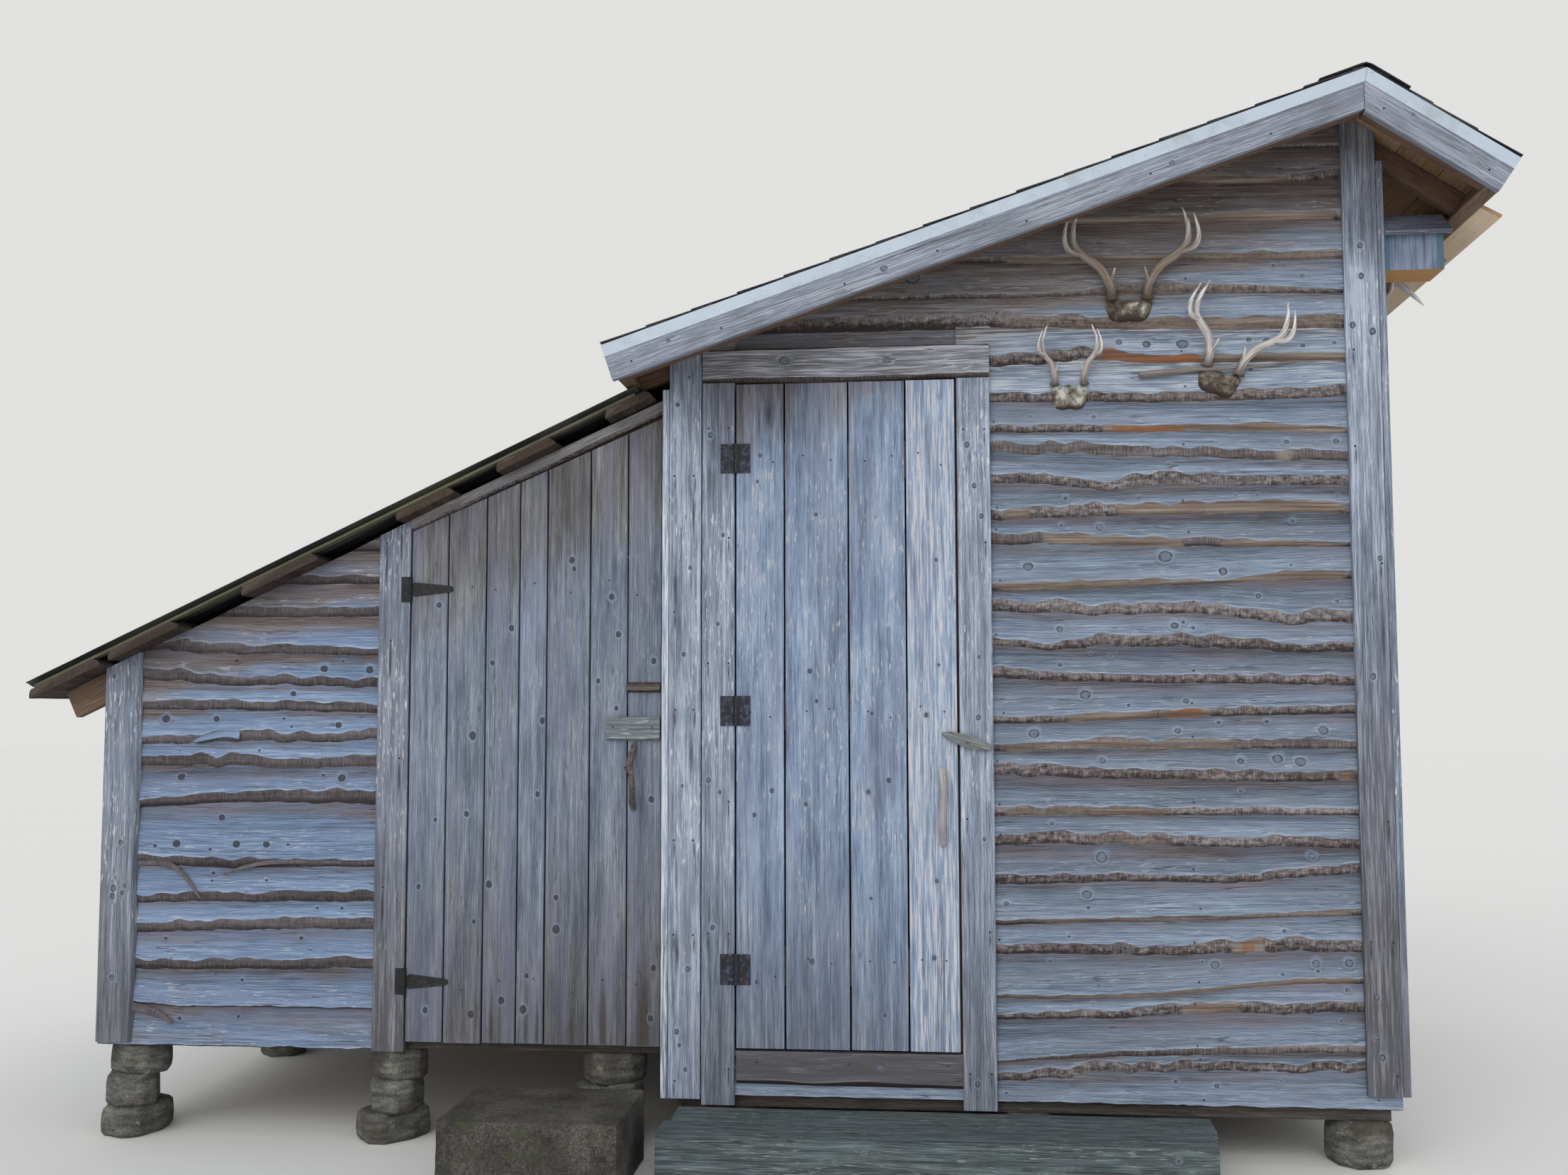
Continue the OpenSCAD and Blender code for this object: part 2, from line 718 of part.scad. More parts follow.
module lean_back_wall() {
    color("lightsteelblue") place() across(lean_back_y - siding_t, lean_back_y) polygon([
        [-lean_w, lean_wall_z], [0, lean_wall_z],
        [0, lean_under(0, lean_rafter_top)], [-lean_w, lean_under(-lean_w, lean_rafter_top)]
    ]);
}

// Corner board and door post board of the lean-to, cut under the sheathing
module lean_front_boards() {
    color("silver") place() {
        n = 16;
        x0 = -lean_w;
        x1 = -lean_w + lean_corner_w;
        top = lean_under(x1, lean_rafter_top);
        low = lean_wall_z + 12;
        across(lean_y, lean_siding_y) polygon(concat(
            [[x0, low], [x1 + wave(low, 3, 20), low]],
            [for (i = [1 : n - 1]) let (z = low + (top - low) * i / n) [x1 - 14 * i / n + wave(z, 3, 20), z]],
            [[x1 - 14, lean_under(x1 - 14, lean_rafter_top)], [x0, lean_under(x0, lean_rafter_top)]]
        ));
        across(lean_y, lean_siding_y) polygon([
            [post_x, lean_wall_z], [post_x + corner_w, lean_wall_z],
            [post_x + corner_w, lean_under(post_x + corner_w, lean_rafter_top)],
            [post_x, lean_under(post_x, lean_rafter_top)]
        ]);
    }
}

module lean_sills() {
    inner_x = -lean_w + siding_t;
    back = lean_back_y - siding_t;
    color("peru") place() {
        block(inner_x, 0, lean_frame_y, lean_frame_y + stud_d, lean_wall_z, sill_top);
        block(inner_x, 0, back - stud_d, back, lean_wall_z, sill_top);
        block(inner_x, inner_x + stud_d, lean_frame_y + stud_d + joint, back - stud_d - joint, lean_wall_z, sill_top);
    }
}

// Floor boards between the sill beams, on cleats nailed to the beams
module lean_floor() {
    x0 = -lean_w + siding_t + stud_d;
    y0 = lean_frame_y + stud_d;
    y1 = lean_back_y - siding_t - stud_d;
    cleat = 38;
    low = sill_top - floor_t - cleat;
    color("tan") place() {
        block(x0, 0, y0, y1, sill_top - floor_t, sill_top);
        block(x0, 0, y0, y0 + cleat, low, sill_top - floor_t);
        block(x0, 0, y1 - cleat, y1, low, sill_top - floor_t);
        block(x0, 0, (y0 + y1 - cleat) / 2, (y0 + y1 + cleat) / 2, low, sill_top - floor_t);
    }
}

module lean_stud(x, y, d) {
    across(y, y + d) polygon([
        [x, sill_top], [x + stud_t, sill_top],
        [x + stud_t, lean_under(x + stud_t, lean_rafter_low)], [x, lean_under(x, lean_rafter_low)]
    ]);
}

module lean_studs() {
    inner_x = -lean_w + siding_t;
    back = lean_back_y - siding_t;
    color("burlywood") place() {
        for (x = [inner_x, post_x + corner_w - stud_t, -stud_t]) {
            lean_stud(x, lean_frame_y, stud_d);
            lean_stud(x, back - stud_d, stud_d);
        }
        for (i = [1 : 3])
            lean_stud(inner_x, lean_frame_y + i * (back - lean_frame_y - stud_t) / 4, stud_t);
    }
}

module lean_rafters() {
    tail = 156;
    run1 = lean_run(-lean_w - tail) + lean_rafter_top * tan_s;
    back = lean_back_y - siding_t;
    color("peru") place() for (i = [0 : 4]) {
        y = lean_frame_y + i * (back - lean_frame_y - stud_t) / 4;
        // The outer two end at the corner boards, the others at the siding
        x = i == 0 || i == 4 ? 0 : trim_t;
        across(y, y + stud_t) polygon([
            [x, lean_under(x, lean_rafter_top)], lean_point(run1, lean_rafter_top),
            lean_point(run1, lean_rafter_low), [x, lean_under(x, lean_rafter_low)]
        ]);
    }
}

// Live-edge boards laid across the rafters with gaps between them.
// Each pair gives where a board starts and ends, from the eave up.
sheathing = [[0, 232], [252, 480], [672, 922], [1158, 1346], [1468, 1660], [1804, 1954]];
board_round = sheathing_t / 2;
module lean_sheathing() {
    scale_x = (lean_w + lean_eave) / 1984;
    color("saddlebrown") place() for (pair = sheathing) {
        a = box_left + pair[0] * scale_x;
        b = box_left + pair[1] * scale_x;
        run_a = lean_run(a) + sheathing_top * tan_s;
        run_b = lean_run(b) + sheathing_top * tan_s;
        d_mid = sheathing_top + board_round;
        across(lean_y - lean_out, lean_back_y + lean_out) {
            lean_band(run_a - board_round, run_b + board_round, sheathing_top, sheathing_top + sheathing_t);
            for (run = [run_a - board_round, run_b + board_round])
                translate(lean_point(run, d_mid)) circle(r = board_round, $fn = 32);
        }
    }
}

module lean_roof_strips() {
    y0 = lean_y - lean_out;
    y1 = lean_back_y + lean_out - strip_w;
    run0 = lean_run(-sheet_gap_top) + sheathing_top * tan_s;
    run1 = lean_run(box_left) - 20;
    color("burlywood") place() for (i = [0 : 4]) {
        y = y0 + i * (y1 - y0) / 4;
        across(y, y + strip_w) lean_band(run0, run1, strips_top + seat, sheathing_top - seat);
    }
}

// Corrugated sheet: the ridges run down the slope
module lean_roof_sheet() {
    y0 = lean_y - lean_out;
    span = lean_back_y - lean_y + 2 * lean_out;
    ribs = round(span / corrugation_w);
    steps = ribs * 6;
    run0 = lean_run(-sheet_gap_top);
    run1 = lean_run(box_left);
    mid = corrugation_h / 2;
    function crest(i) = -mid - mid * cos(i * 60 + 180);
    top = [for (i = [0 : steps]) [y0 + span * i / steps, crest(i)]];
    low = [for (i = [steps : -1 : 0]) [y0 + span * i / steps, crest(i) - sheet_t]];
    color("darkslategray") place()
        translate([0, 0, lean_top_z]) rotate([0, -lean_pitch, 0]) translate([-run1, 0, 0])
            rotate([90, 0, 90]) linear_extrude(run1 - run0) polygon(concat(top, low));
}

// Sloping board over the lean-to door
module lean_trim_board() {
    x0 = post_x + corner_w + joint;
    x1 = 0;
    gap = 8;
    color("sienna") place() across(lean_y, lean_siding_y) polygon([
        [x0, lean_door_line(x0) + gap], [x1, lean_door_line(x1) + gap],
        [x1, lean_under(x1, lean_rafter_top)], [x0, lean_under(x0, lean_rafter_top)]
    ]);
}

// Main door: planks, battens behind, a nailed stick as handle
module main_door() {
    color("thistle") place()
        block(door_x, door_x + door_w, 0, door_t, door_z, door_top);
}

batten_w = 110;
main_batten_z = [door_z + 180, door_z + door_h / 2 - batten_w / 2, door_top - 180 - batten_w];
module main_door_battens() {
    x0 = door_x + 20;
    x1 = door_x + door_w - 20;
    color("tan") place() for (z = main_batten_z)
        block(x0, x1, door_t, door_t + batten_t, z, z + batten_w);
}

module main_door_handle() {
    x = door_x + door_w - 46;
    z = door_z + main_handle_up;
    h = 215;
    color("peru") place() difference() {
        limb(smooth([[x + 2, -5, z], [x, -16, z + 22], [x - 3, -37, z + 60], [x, -40, z + 110],
            [x + 3, -36, z + 158], [x + 1, -16, z + 194], [x, -5, z + h]], 2),
            [8, 9, 10, 10, 11, 11, 12, 12, 11.5, 11, 10, 9.5, 9], 8, [1, 0, 0.2]);
        block(x - 30, x + 30, 0, 30, z - 30, z + h + 30);
    }
}

// Butt hinges: three knuckles on one pin, the outer two on the fixed leaf
module main_door_hinges() {
    h = hinge_len / 3;
    color("saddlebrown") place() for (z = main_hinge_z)
        difference() {
            union() {
                block(main_axis[0] + 1.5, main_axis[0] + leaf_w, -leaf_t, 0, z - hinge_len / 2, z + hinge_len / 2);
                translate([main_axis[0], main_axis[1], z - h / 2 + 0.5]) cylinder(r = knuckle_r, h = h - 1, $fn = 32);
            }
            // Clear of the fixed knuckles above and below
            for (s = [z + h / 2 - 0.5, z - hinge_len / 2 - 1])
                translate([main_axis[0], main_axis[1], s]) cylinder(r = knuckle_r + 1, h = h + 1.5, $fn = 32);
            translate([main_axis[0], main_axis[1], z - hinge_len / 2 - 1])
                cylinder(r = pin_r + fit, h = hinge_len + 2, $fn = 32);
        }
}

module fixed_leaf(axis, h_all, w, z) {
    h = h_all / 3;
    face = axis[1] + knuckle_r;
    difference() {
        union() {
            block(axis[0] - w, axis[0] - 1.5, face - leaf_t, face, z - h_all / 2, z + h_all / 2);
            for (s = [z - h_all / 2, z + h / 2 + 0.5])
                translate([axis[0], axis[1], s]) cylinder(r = knuckle_r, h = h - 0.5, $fn = 32);
        }
        translate([axis[0], axis[1], z - h / 2 - 0.5]) cylinder(r = knuckle_r + 1, h = h + 1, $fn = 32);
    }
    translate([axis[0], axis[1], z - h_all / 2]) cylinder(r = pin_r, h = h_all, $fn = 32);
}

module fixed_hinge_leaves() {
    color("darkslategray") place() {
        for (z = main_hinge_z) fixed_leaf(main_axis, hinge_len, leaf_w, z);
        for (z = lean_hinge_z) fixed_leaf(lean_axis, strap_plate_h, strap_plate_w, z);
    }
}

// Leaf-shaped turn button on its screw
button_x = opening_x1 + button_in;
function leaf_edge(t) = button_w / 2 * pow(sin(180 * t), 0.75);
module turn_button() {
    n = 14;
    reach = button_l * 0.52;
    color("peru") place() translate([button_x, -button_gap, button_z]) rotate([0, -button_tilt, 0])
        difference() {
            rotate([90, 0, 0]) linear_extrude(button_t) polygon(concat(
                [for (i = [0 : n]) [-reach + button_l * i / n, leaf_edge(i / n)]],
                [for (i = [n - 1 : -1 : 1]) [-reach + button_l * i / n, -leaf_edge(i / n)]]
            ));
            rotate([90, 0, 0]) translate([0, 0, -1]) cylinder(r = screw_r + fit, h = button_t + 2, $fn = 32);
        }
}

module button_screw() {
    color("gray") place() translate([button_x, 0, button_z]) rotate([90, 0, 0]) {
        cylinder(r = 11, h = button_gap - 0.5, $fn = 32);
        cylinder(r = screw_r, h = button_gap + button_t + 1, $fn = 32);
        translate([0, 0, button_gap + button_t + 0.5]) cylinder(r = 6.5, h = 3, $fn = 32);
    }
}

// Lean-to door with its sloping top
module lean_door() {
    x0 = lean_door_x;
    x1 = lean_door_x + lean_door_w;
    color("lightsteelblue") place() across(lean_y, lean_y + door_t)
        polygon([[x0, lean_door_z], [x1, lean_door_z], [x1, lean_door_line(x1)], [x0, lean_door_line(x0)]]);
}

module lean_door_battens() {
    x0 = lean_door_x + 45;
    x1 = lean_door_x + lean_door_w - 30;
    y = lean_y + door_t;
    color("tan") place() for (z = [lean_hinge_z[0] - batten_w / 2, lean_hinge_z[1] - batten_w / 2])
        block(x0, x1, y, y + batten_t, z, z + batten_w);
}

// Cleat and latch bar on the lean-to door's free edge
module lean_door_latch() {
    x1 = lean_door_x + lean_door_w;
    z = latch_z + latch_bar_up;
    color("sienna") place() {
        block(x1 - latch_l, x1 - 1, lean_y - 18, lean_y, latch_z, latch_z + latch_h);
        translate([x1 - 101, 0, 0]) rotate([90, 0, 90]) linear_extrude(100) polygon([
            [lean_y, z - 13], [lean_y, z + 13], [lean_y - 9, z + 16], [lean_y - 18, z + 7],
            [lean_y - 18, z - 8], [lean_y - 10, z - 16]
        ]);
    }
}

module lean_door_handle() {
    x = lean_door_x + lean_door_w - 84;
    z = lean_door_z + lean_handle_up;
    y = lean_y;
    color("peru") place() difference() {
        limb(smooth([[x + 2, y - 5, z], [x - 4, y - 18, z + 22], [x + 6, y - 42, z + 58], [x - 2, y - 48, z + 96],
            [x - 10, y - 38, z + 138], [x + 2, y - 18, z + 172], [x + 6, y - 5, z + 192]], 2),
            [9, 10, 12, 13, 12, 11, 12, 14, 13, 11, 10, 9.5, 9], 8, [1, 0, 0.2]);
        block(x - 40, x + 40, y, y + 30, z - 30, z + 230);
    }
}

// Strap hinges: a tapering strap on the door, its knuckle between the plate's two
module lean_door_hinges() {
    h = strap_plate_h / 3;
    x = lean_axis[0];
    color([0.12, 0.12, 0.13]) place() for (z = lean_hinge_z)
        difference() {
            union() {
                across(lean_y - leaf_t, lean_y) polygon([
                    [x + 1.5, z - h / 2 + 0.5], [x + 12, z - 22], [x + strap_l - 9, z - 10],
                    [x + strap_l, z - 5], [x + strap_l, z + 5], [x + strap_l - 9, z + 10],
                    [x + 12, z + 22], [x + 1.5, z + h / 2 - 0.5]
                ]);
                translate([x, lean_axis[1], z - h / 2 + 0.5]) cylinder(r = knuckle_r, h = h - 1, $fn = 32);
            }
            translate([x, lean_axis[1], z + h / 2 - 0.5]) cylinder(r = knuckle_r + 1, h = h, $fn = 32);
            translate([x, lean_axis[1], z - h / 2 + 0.5 - h]) cylinder(r = knuckle_r + 1, h = h, $fn = 32);
            translate([x, lean_axis[1], z - h]) cylinder(r = pin_r + fit, h = 2 * h, $fn = 32);
        }
}

// Antlers: a skull plate with two beams, each with tines that stand up from it.
// Points are local: x across, y out of the wall, z up, for the right-hand side of a pair.
beam = [[22, 18, 12], [30, 26, 50], [58, 44, 92], [98, 56, 122], [124, 66, 150], [130, 74, 196], [118, 72, 246]];
beam_r = [14, 13, 12, 11.5, 10, 6.5, 1.5];
tine_back = [[104, 58, 126], [136, 84, 132], [150, 92, 168], [142, 84, 226]];
tine_back_r = [9, 8, 6, 1.5];
brow = [[30, 26, 50], [26, 42, 70], [24, 46, 92]];
brow_r = [7, 5, 1.5];
function doubled(r) = concat(
    [for (i = [0 : len(r) - 2], k = [0 : 1]) r[i] + (r[i + 1] - r[i]) * k / 2], [r[len(r) - 1]]
);
function posed(p, size, side) = [for (q = p) [q[0] * size * side, -q[1] * size, q[2] * size]];
module half_antlers(size, side, spread) {
    aside = [0.3, 1, 0.2];
    limb(smooth(posed([for (q = beam) [q[0] * spread, q[1], q[2]]], size, side), 2), doubled(beam_r) * size, 8, aside);
    limb(smooth(posed([for (q = tine_back) [q[0] * spread, q[1], q[2]]], size, side), 2),
        doubled(tine_back_r) * size, 8, aside);
    limb(smooth(posed(brow, size, side), 1), brow_r * size, 8, aside);
}

module antler_set(size, spread) {
    half_antlers(size, 1, spread);
    half_antlers(size, -1, spread);
    translate([0, 0, -14 * size]) scale(size) rotate([90, 0, 0]) linear_extrude(20)
        polygon([[-50, -16], [-34, -24], [34, -24], [50, -16], [48, 14], [28, 26], [-28, 26], [-48, 14]]);
}

module antlers() {
    color("wheat") place() {
        x = opening_x1 + corner_w;
        translate([x + antlers_1_x, trim_t, antlers_1_z]) antler_set(antlers_1_size, 1.18);
        translate([x + antlers_2_x, trim_t, antlers_2_z]) rotate([0, antlers_2_tilt, 0])
            antler_set(antlers_2_size, 1);
        translate([x + antlers_3_x, trim_t, antlers_3_z]) antler_set(antlers_3_size, 0.72);
        translate([main_w - trim_t, side_antlers_y, side_antlers_z]) rotate([0, 0, 90])
            antler_set(1, 1);
        translate([main_w - trim_t, side_antlers_y + side_antlers_step, side_antlers_z - side_antlers_drop])
            rotate([0, 0, 90]) antler_set(0.85, 1);
    }
}

// Birdhouse on the right wall, its entrance facing away from the wall
bird_x = main_w;
bird_mid_y = bird_y + bird_w / 2;
bird_pitch = 38;
bird_rise = bird_w / 2 * tan(bird_pitch);
bird_roof_up = bird_roof_t / cos(bird_pitch);
bird_top = under(main_w + bird_l + bird_roof_front, rafter_low) - bird_gap - bird_roof_up - bird_rise;
bird_z = bird_top - bird_h;
module birdhouse() {
    color("lightsteelblue") place() difference() {
        translate([bird_x, 0, 0]) rotate([90, 0, 90]) linear_extrude(bird_l) polygon([
            [bird_y, bird_z], [bird_y + bird_w, bird_z], [bird_y + bird_w, bird_top],
            [bird_mid_y, bird_top + bird_rise], [bird_y, bird_top]
        ]);
        translate([bird_x + bird_t, 0, 0]) rotate([90, 0, 90]) linear_extrude(bird_l - 2 * bird_t) polygon([
            [bird_y + bird_t, bird_z + bird_t], [bird_y + bird_w - bird_t, bird_z + bird_t],
            [bird_y + bird_w - bird_t, bird_top - 4], [bird_mid_y, bird_top + bird_rise - 22],
            [bird_y + bird_t, bird_top - 4]
        ]);
        translate([bird_x + bird_l / 2, bird_mid_y, bird_z + 88]) rotate([0, 90, 0])
            cylinder(r = 17, h = bird_l, $fn = 40);
    }
    color("lightsteelblue") place() translate([bird_x + bird_l, bird_mid_y, bird_z + 44]) rotate([0, 90, 0])
        cylinder(r = 5, h = 26, $fn = 24);
}

module birdhouse_roof() {
    over = bird_roof_side;
    drop = over * tan(bird_pitch);
    up = bird_roof_up;
    color("dimgray") place() translate([bird_x, 0, 0]) rotate([90, 0, 90]) linear_extrude(bird_l + bird_roof_front) polygon([
        [bird_y - over, bird_top - drop], [bird_mid_y, bird_top + bird_rise],
        [bird_y + bird_w + over, bird_top - drop], [bird_y + bird_w + over, bird_top - drop + up],
        [bird_mid_y, bird_top + bird_rise + up], [bird_y - over, bird_top - drop + up]
    ]);
}

stone_piers();
step_block();
front_timbers();
floor_joists();
floor_boards();
front_wall_left();
front_wall_under_door();
front_wall_over_door();
front_wall_right();
left_wall();
right_wall();
back_wall();
wall_studs();
wall_plates();
corner_boards();
door_trim();
rafters();
roof_boards();
roof_shingles();
ridge_cap();
rake_boards();
eave_fascias();
drip_edges();
eave_panel();
lean_front_wall();
lean_side_wall();
lean_back_wall();
lean_front_boards();
lean_sills();
lean_floor();
lean_studs();
lean_rafters();
lean_sheathing();
lean_roof_strips();
lean_roof_sheet();
lean_trim_board();
main_door();
main_door_battens();
main_door_handle();
main_door_hinges();
fixed_hinge_leaves();
turn_button();
button_screw();
lean_door();
lean_door_battens();
lean_door_latch();
lean_door_handle();
lean_door_hinges();
antlers();
birdhouse();
birdhouse_roof();
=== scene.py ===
import math
import random
import bpy
import numpy as np
from types import SimpleNamespace
from mathutils import Matrix, Vector, noise


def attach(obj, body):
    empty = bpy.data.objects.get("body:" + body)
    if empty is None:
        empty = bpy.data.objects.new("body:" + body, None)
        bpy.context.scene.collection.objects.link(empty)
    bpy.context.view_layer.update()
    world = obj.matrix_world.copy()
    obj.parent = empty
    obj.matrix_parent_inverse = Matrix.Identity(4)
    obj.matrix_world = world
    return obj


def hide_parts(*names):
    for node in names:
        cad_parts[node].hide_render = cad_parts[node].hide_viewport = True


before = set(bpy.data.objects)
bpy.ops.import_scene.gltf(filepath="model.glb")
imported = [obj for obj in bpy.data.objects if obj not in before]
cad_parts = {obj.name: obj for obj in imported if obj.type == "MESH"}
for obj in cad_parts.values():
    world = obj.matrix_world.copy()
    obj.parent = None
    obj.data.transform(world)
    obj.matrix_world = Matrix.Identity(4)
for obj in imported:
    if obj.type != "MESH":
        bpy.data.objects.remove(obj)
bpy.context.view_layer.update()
print("shed: frame loaded")

# Places are in millimetres: x from the main room's left face, y from its front, z up.
# They turn into metres only when a mesh is made.
originX, originY = 227.506, 1136.0
mainW, depth, trimT, sidingT, cornerW = 2140, 2440, 20, 25, 98
innerFace, studD, studT = 45, 89, 38
openX0, openX1, casingX, headerZ = 220, 888, 122, 2289
floorZ, sidingZ = 296, 168
gableOut, deckT, rafterLow, rakeLow, rakeT = 280, 15, 79, 106, 25
pitchL, pitchR, pitchS = math.radians(18.7), math.radians(34.2), math.radians(24.93)
tanL, tanR, tanS = math.tan(pitchL), math.tan(pitchR), math.tan(pitchS)
doorSlope = math.tan(math.radians(23.4))
eaveLeft, eaveRight, ridgeX = 131, 289, 2027
ridgeZ = 2345.5 + tanL * (ridgeX + eaveLeft)
runLeft = (ridgeX + eaveLeft) / math.cos(pitchL)
runRight = (mainW - ridgeX + eaveRight) / math.cos(pitchR)
leanW, leanY, leanEave, leanTop, leanOut = 1764, 25, 220, 2311, 75
leanFrameY, leanBackY = 70, 2415
postX, leanDoorX, leanDoorW, leanDoorZ, leanWallZ, leanSillTop = -888, -784, 778, 303, 274, 363
sheathingTop, leanRafterTop, leanRafterLow = 27, 53.05, 142.05


def apexX(d):
    return ridgeX + (d / math.cos(pitchL) - d / math.cos(pitchR)) / (tanL + tanR)


def roofUnder(x, d):
    if x < apexX(d):
        return ridgeZ - tanL * (ridgeX - x) - d / math.cos(pitchL)
    return ridgeZ - tanR * (x - ridgeX) - d / math.cos(pitchR)


def leftPoint(run, d, y=0.0):
    return (ridgeX - run * math.cos(pitchL) + d * math.sin(pitchL), y,
        ridgeZ - run * math.sin(pitchL) - d * math.cos(pitchL))


def rightPoint(run, d, y=0.0):
    return (ridgeX + run * math.cos(pitchR) - d * math.sin(pitchR), y,
        ridgeZ - run * math.sin(pitchR) - d * math.cos(pitchR))


def leanUnder(x, d):
    return leanTop + tanS * x - d / math.cos(pitchS)


def underRoof(x, z):
    # 1 close under the roof, falling to 0 about 450 mm below it
    drop = (roofUnder(x, deckT) if x > 0 else leanUnder(x, leanRafterTop)) - z
    return clamp((450 - drop) / 230)


def leanPoint(run, d, y=0.0):
    return (-run * math.cos(pitchS) + d * math.sin(pitchS), y,
        leanTop - run * math.sin(pitchS) - d * math.cos(pitchS))


def leanDoorLine(x):
    return 1851 + doorSlope * (x - leanDoorX)


def between(value, places, values):
    return float(np.interp(value, places, values))


def clamp(value):
    return max(0.0, min(1.0, value))


def wobble(a, b=0.0, c=0.0):
    return noise.noise(Vector((a, b, c)))


# Materials. A Wire is what leaves a node; sums, differences and products of wires are nodes too.
class Wire:
    def __init__(self, socket):
        self.socket = socket

    def __add__(self, other):
        return maths("ADD", self, other)

    def __radd__(self, other):
        return maths("ADD", other, self)

    def __sub__(self, other):
        return maths("SUBTRACT", self, other)

    def __rsub__(self, other):
        return maths("SUBTRACT", other, self)

    def __mul__(self, other):
        return maths("MULTIPLY", self, other)


def shade(red, green, blue):
    # screen numbers 0 to 255 to Blender's linear colour
    return tuple(v / 255 / 12.92 if v <= 10 else ((v / 255 + 0.055) / 1.055) ** 2.4
        for v in (red, green, blue)) + (1.0,)


def mixed(value):
    # a look's colour, or each of its colours, ready for a node
    if not isinstance(value, tuple):
        return value
    return tuple(mixed(part) for part in value) if isinstance(value[0], tuple) else shade(*value)


def newPaint(name, look):
    # nodes put down from here on belong to this material
    global tree
    material = bpy.data.materials.new(name)
    material.use_nodes = True
    tree = material.node_tree
    tree.nodes.clear()
    return material, SimpleNamespace(**{key: mixed(value) for key, value in look.items()})


def put(kind, sockets=None, **settings):
    made = tree.nodes.new("ShaderNode" + kind)
    for key, value in settings.items():
        setattr(made, key, value)
    for key, value in (sockets or {}).items():
        if isinstance(value, Wire):
            tree.links.new(value.socket, made.inputs[key])
        else:
            made.inputs[key].default_value = value
    return made


def wire(output, kind, sockets=None, **settings):
    return Wire(put(kind, sockets, **settings).outputs[output])


def painted(layer):
    # the four channels of a colour layer on the mesh
    attribute = put("Attribute", attribute_name=layer)
    split = put("SeparateColor", {0: Wire(attribute.outputs["Color"])})
    return [Wire(channel) for channel in (*split.outputs[:3], attribute.outputs["Alpha"])]


def maths(operation, a, b=0.0, clamp=False):
    return wire(0, "Math", {0: a, 1: b}, operation=operation, use_clamp=clamp)


def sway(value, amount):
    return (value - 0.5) * amount


def blend(factor, a, b):
    return wire(2, "Mix", {0: factor, 6: a, 7: b}, data_type="RGBA")


def stretched(vector, x, y, z=1.0):
    return wire(0, "Mapping", {"Vector": vector, "Scale": (x, y, z)})


def grainNoise(vector, x, y, z=1.0, detail=3.0, rough=0.55, twist=0.0):
    return wire("Fac", "TexNoise", {"Vector": stretched(vector, x, y, z), "Scale": 1.0, "Detail": detail,
                                    "Roughness": rough, "Distortion": twist})


def stepUp(value, low, high):
    return wire(0, "MapRange", {"Value": value, "From Min": low, "From Max": high},
        interpolation_type="SMOOTHSTEP")


def colourSteps(value, places, colours):
    made = put("ValToRGB", {"Fac": value})
    bar = made.color_ramp
    while len(bar.elements) < len(places):
        bar.elements.new(0.5)
    for element, place, colour in zip(bar.elements, places, colours):
        element.position = place
        element.color = colour
    return Wire(made.outputs[0])


def finishPaint(material, colour, roughness, height=None, strength=0.5, distance=0.002, metallic=0.0,
        specular=0.3):
    sockets = {"Base Color": colour, "Roughness": roughness, "Metallic": metallic,
        "Specular IOR Level": specular}
    if height is not None:
        sockets["Normal"] = wire(0, "Bump", {"Height": height, "Strength": strength, "Distance": distance})
    put("OutputMaterial", {"Surface": wire(0, "BsdfPrincipled", sockets)})
    return material


